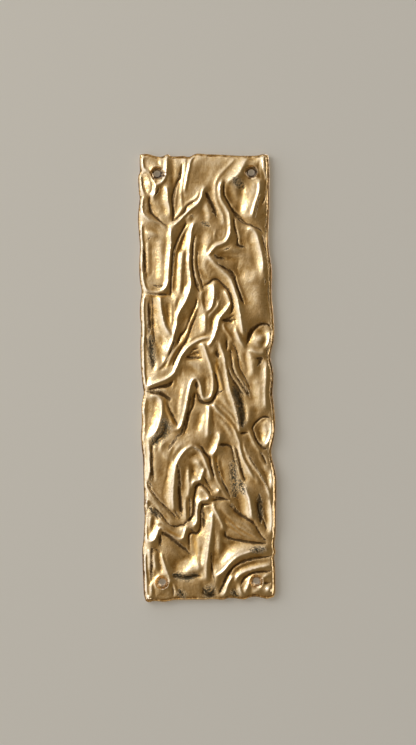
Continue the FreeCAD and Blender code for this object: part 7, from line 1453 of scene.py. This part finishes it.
def noise(tree, place, scale, detail, roughness=0.5):
    """A cloudy pattern on the plate, about one bump per 1/scale metre."""
    cloud = tree.nodes.new("ShaderNodeTexNoise")
    cloud.inputs["Scale"].default_value = scale
    cloud.inputs["Detail"].default_value = detail
    cloud.inputs["Roughness"].default_value = roughness
    tree.links.new(place, cloud.inputs["Vector"])
    return cloud.outputs["Fac"]


def painted(tree, name):
    """A value stored on the plate's own points."""
    held = tree.nodes.new("ShaderNodeAttribute")
    held.attribute_name = name
    return held.outputs["Fac"]


def ramp(tree, value, stops):
    """A colour for each value, from the stops given as (value, colour)."""
    tone = tree.nodes.new("ShaderNodeValToRGB")
    bar = tone.color_ramp
    while len(bar.elements) < len(stops):
        bar.elements.new(0.5)
    for element, (position, colour) in zip(bar.elements, stops):
        element.position = position
        element.color = (*colour, 1)
    tree.links.new(value, tone.inputs["Fac"])
    return tone.outputs["Color"]


def mixed(tree, amount, first, second):
    """A colour between two colours, by an amount from 0 to 1."""
    blend = tree.nodes.new("ShaderNodeMix")
    blend.data_type = "RGBA"
    factor = blend.inputs[0]
    start = blend.inputs[6]
    end = blend.inputs[7]
    tree.links.new(amount, factor)
    for socket, colour in ((start, first), (end, second)):
        if isinstance(colour, tuple):
            socket.default_value = (*colour, 1)
        else:
            tree.links.new(colour, socket)
    return blend.outputs[2]


def bumped(tree, height, depth, strength, below=None, inwards=False):
    """The skin's direction where a pattern raises it by a depth (m), over the skin below it."""
    bump = tree.nodes.new("ShaderNodeBump")
    bump.invert = inwards
    bump.inputs["Distance"].default_value = depth
    bump.inputs["Strength"].default_value = strength
    tree.links.new(height, bump.inputs["Height"])
    if below is not None:
        tree.links.new(below, bump.inputs["Normal"])
    return bump.outputs["Normal"]


def metal_colour(tree, place, depth, speck):
    """The metal: patina and painted shade in the hollows, painted highlight on the crests, golden streaks and
    fine specks.
    """
    cloud = noise(tree, place, CLOUD_SCALE, 5.0)
    shifted = link_math(tree, "ADD", depth, mapped(tree, cloud, 0.3, 0.7, -0.45, 0.45))
    # painted shade in the hollows and painted highlight on the crests, over patina and rubbed brass
    metal = ramp(tree, mapped(tree, shifted, -1.6, 1.6, 0.0, 1.0), PATINA_AND_PAINTED_LIGHT_TONES)
    uneven = mapped(tree, cloud, 0.35, 0.6, 0.35, 0.9)
    # golden streaks: partly bare brass, partly painted reflection
    gold_and_glint = link_math(tree, "MULTIPLY", painted(tree, "gold_and_glint"), uneven)
    metal = mixed(tree, gold_and_glint, metal, GOLD_AND_GLINT_TONE)
    return mixed(tree, mapped(tree, speck, 0.52, 0.66, 0.0, 0.35), metal, SPECK_TONE)


def tarnish_and_shade_amount(tree, place, depth, speck):
    """How dark each place is, partly tarnish and partly painted shade: along its marks and in creases, broken
    up at two scales.
    """
    patch = noise(tree, place, PATCH_SCALE, 4.0, 0.6)
    fine_break = mapped(tree, speck, 0.3, 0.7, -0.45, 0.45)
    broad_break = mapped(tree, patch, 0.3, 0.7, -0.30, 0.30)
    broken = link_math(tree, "ADD", fine_break, broad_break)
    marks = link_math(tree, "MULTIPLY", painted(tree, "tarnish_and_shade"), 1.1)
    stain_and_shade = link_math(tree, "ADD", marks, broken)
    # darker the lower a place lies: patina and painted shade in the hollows
    stain_and_shade = link_math(tree, "SUBTRACT", stain_and_shade, link_math(tree, "MULTIPLY", depth, 0.15))
    # darker in the fine creases: dirt and painted shade
    creases = mapped(tree, painted(tree, "relief_fine"), -0.40, -0.10, 0.50, 0.0)
    stain_and_shade = link_math(tree, "ADD", stain_and_shade, creases)
    return mapped(tree, stain_and_shade, 0.45, 1.20, 0.0, 1.0)


def brass():
    """Hand-polished brass: painted highlight on its crests, patina and painted shade in its hollows, black
    where tarnish and painted shade lie, pitted in places.
    """
    material = bpy.data.materials.new("cast_brass")
    material.use_nodes = True
    tree = material.node_tree
    tree.nodes.clear()
    link = tree.links.new
    shader = tree.nodes.new("ShaderNodeBsdfPrincipled")
    place = tree.nodes.new("ShaderNodeTexCoord").outputs["Object"]
    depth = link_math(tree, "MULTIPLY_ADD", painted(tree, "relief_fine"), 1.2)
    link(painted(tree, "relief_broad"), depth.node.inputs[2])

    # its colour
    speck = noise(tree, place, SPECK_SCALE, 6.0, 0.7)
    metal = metal_colour(tree, place, depth, speck)
    stain_and_shade = tarnish_and_shade_amount(tree, place, depth, speck)
    fleck = mapped(tree, noise(tree, place, FLECK_SCALE, 5.0, 0.7), 0.45, 0.53, 0.0, 1.0)
    pits = link_math(tree, "MULTIPLY", painted(tree, "pitted"), fleck)
    # tarnish, with painted shade on shaded slopes, in creases, hollows, screw seats and the bead
    metal = mixed(tree, stain_and_shade, metal, TARNISH_AND_SHADE_TONE)
    link(mixed(tree, pits, metal, PIT_TONE), shader.inputs["Base Color"])
    shader.inputs["Metallic"].default_value = 1.0

    # its polish, duller where the tarnish and painted shade lie
    dirt_and_shade = link_math(tree, "MAXIMUM", stain_and_shade, pits)
    grain = noise(tree, place, GRAIN_SCALE, 4.0)
    polish = mapped(tree, grain, 0.3, 0.7, POLISHED, DULL)
    dullness = link_math(tree, "MULTIPLY", dirt_and_shade, TARNISH_AND_SHADE_ROUGHNESS)
    link(link_math(tree, "ADD", polish, dullness), shader.inputs["Roughness"])

    # its skin: hand-worked unevenness, fine grain, and pits where the tarnish and painted shade lie
    worked = bumped(tree, noise(tree, place, WORKED_SCALE, 5.0, 0.6), WORKED_DEPTH, WORKED_STRENGTH)
    skin = bumped(tree, grain, GRAIN_DEPTH, SKIN_STRENGTH, worked)
    link(bumped(tree, dirt_and_shade, PIT_DEPTH, SKIN_STRENGTH, skin, inwards=True), shader.inputs["Normal"])
    out = tree.nodes.new("ShaderNodeOutputMaterial")
    link(shader.outputs["BSDF"], out.inputs["Surface"])
    return material


def board_paint():
    """The pale warm-grey board that the plate lies on; it is clear when seen from behind."""
    material = bpy.data.materials.new("pale_board")
    material.use_nodes = True
    tree = material.node_tree
    link = tree.links.new
    shader = tree.nodes["Principled BSDF"]
    shader.inputs["Base Color"].default_value = (*BOARD_TONE, 1)
    shader.inputs["Roughness"].default_value = 0.9
    shader.inputs["Specular IOR Level"].default_value = 0.1
    shader.inputs["Emission Color"].default_value = (*BOARD_TONE, 1)
    shader.inputs["Emission Strength"].default_value = BOARD_GLOW
    clear = tree.nodes.new("ShaderNodeBsdfTransparent")
    side = tree.nodes.new("ShaderNodeNewGeometry")
    either = tree.nodes.new("ShaderNodeMixShader")
    link(side.outputs["Backfacing"], either.inputs[0])
    link(shader.outputs["BSDF"], either.inputs[1])
    link(clear.outputs["BSDF"], either.inputs[2])
    link(either.outputs[0], tree.nodes["Material Output"].inputs["Surface"])
    return material


def board():
    """The board behind the plate."""
    deselect_all()
    bpy.ops.mesh.primitive_plane_add(
        size=BOARD_SIZE, location=(0, BOARD_BEHIND, 0), rotation=(math.pi / 2, 0, 0))
    sheet = bpy.context.object
    sheet.name = "board"
    bpy.ops.object.transform_apply(location=True, rotation=True, scale=True)
    sheet.data.materials.append(board_paint())
    sheet.visible_shadow = False
    sheet.visible_glossy = False


def soft_lamp(name, place, size, power, colour):
    """A soft rectangular lamp aimed at the middle of the plate."""
    light = bpy.data.lights.new(name, "AREA")
    light.shape = "RECTANGLE"
    light.size = size[0]
    light.size_y = size[1]
    light.energy = power
    light.color = colour
    lamp = bpy.data.objects.new(name, light)
    bpy.context.scene.collection.objects.link(lamp)
    lamp.location = place
    lamp.rotation_euler = (-Vector(place)).to_track_quat("-Z", "Y").to_euler()


def studio_room():
    """The room around the plate: bright at the upper left, dimmer in front, dark at the right."""
    world = bpy.data.worlds.new("studio")
    world.use_nodes = True
    tree = world.node_tree
    way = tree.nodes.new("ShaderNodeTexCoord")
    towards = tree.nodes.new("ShaderNodeVectorMath")
    towards.operation = "DOT_PRODUCT"
    towards.inputs[1].default_value = (TO_CLOTH[0], 0.0, TO_CLOTH[1])
    tree.links.new(way.outputs["Generated"], towards.inputs[0])
    light = ramp(tree, mapped(tree, towards.outputs["Value"], -1.0, 1.0, 0.0, 1.0), ROOM_LIGHT)
    tree.links.new(light, tree.nodes["Background"].inputs["Color"])
    tree.nodes["Background"].inputs["Strength"].default_value = ROOM_STRENGTH
    bpy.context.scene.world = world


def studio():
    """Plain soft light, strongest from the upper left, and the camera straight in front."""
    studio_room()
    for lamp in LAMPS:
        soft_lamp(*lamp)
    view = bpy.data.cameras.new("camera")
    view.lens = CAMERA_LENS
    view.sensor_width = 36.0
    view.clip_start = 0.05
    view.clip_end = 20.0
    camera = bpy.data.objects.new("camera", view)
    bpy.context.scene.collection.objects.link(camera)
    camera.location = (CAMERA_RIGHT * MM, -CAMERA_AWAY * MM, CAMERA_UP * MM)
    camera.rotation_euler = (math.pi / 2, math.radians(CAMERA_ROLL), 0)
    bpy.context.scene.camera = camera
    bpy.context.scene.view_settings.view_transform = "Standard"


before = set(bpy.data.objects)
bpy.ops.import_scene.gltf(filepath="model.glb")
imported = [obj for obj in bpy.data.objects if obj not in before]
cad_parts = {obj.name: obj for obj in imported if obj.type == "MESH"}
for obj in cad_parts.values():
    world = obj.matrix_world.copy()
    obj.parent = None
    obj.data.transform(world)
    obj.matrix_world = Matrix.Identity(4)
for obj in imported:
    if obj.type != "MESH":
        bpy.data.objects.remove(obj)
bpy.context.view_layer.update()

front = worked_front()
plate = cast_plate(front)
drill(plate)
mark_hollows(plate, front)
mark_wear(plate)
activate(plate)
bpy.ops.object.shade_smooth_by_angle(angle=math.radians(SMOOTH_ANGLE))
plate.data.materials.append(brass())
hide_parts("finger_plate")
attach(plate, "root")

board()
studio()
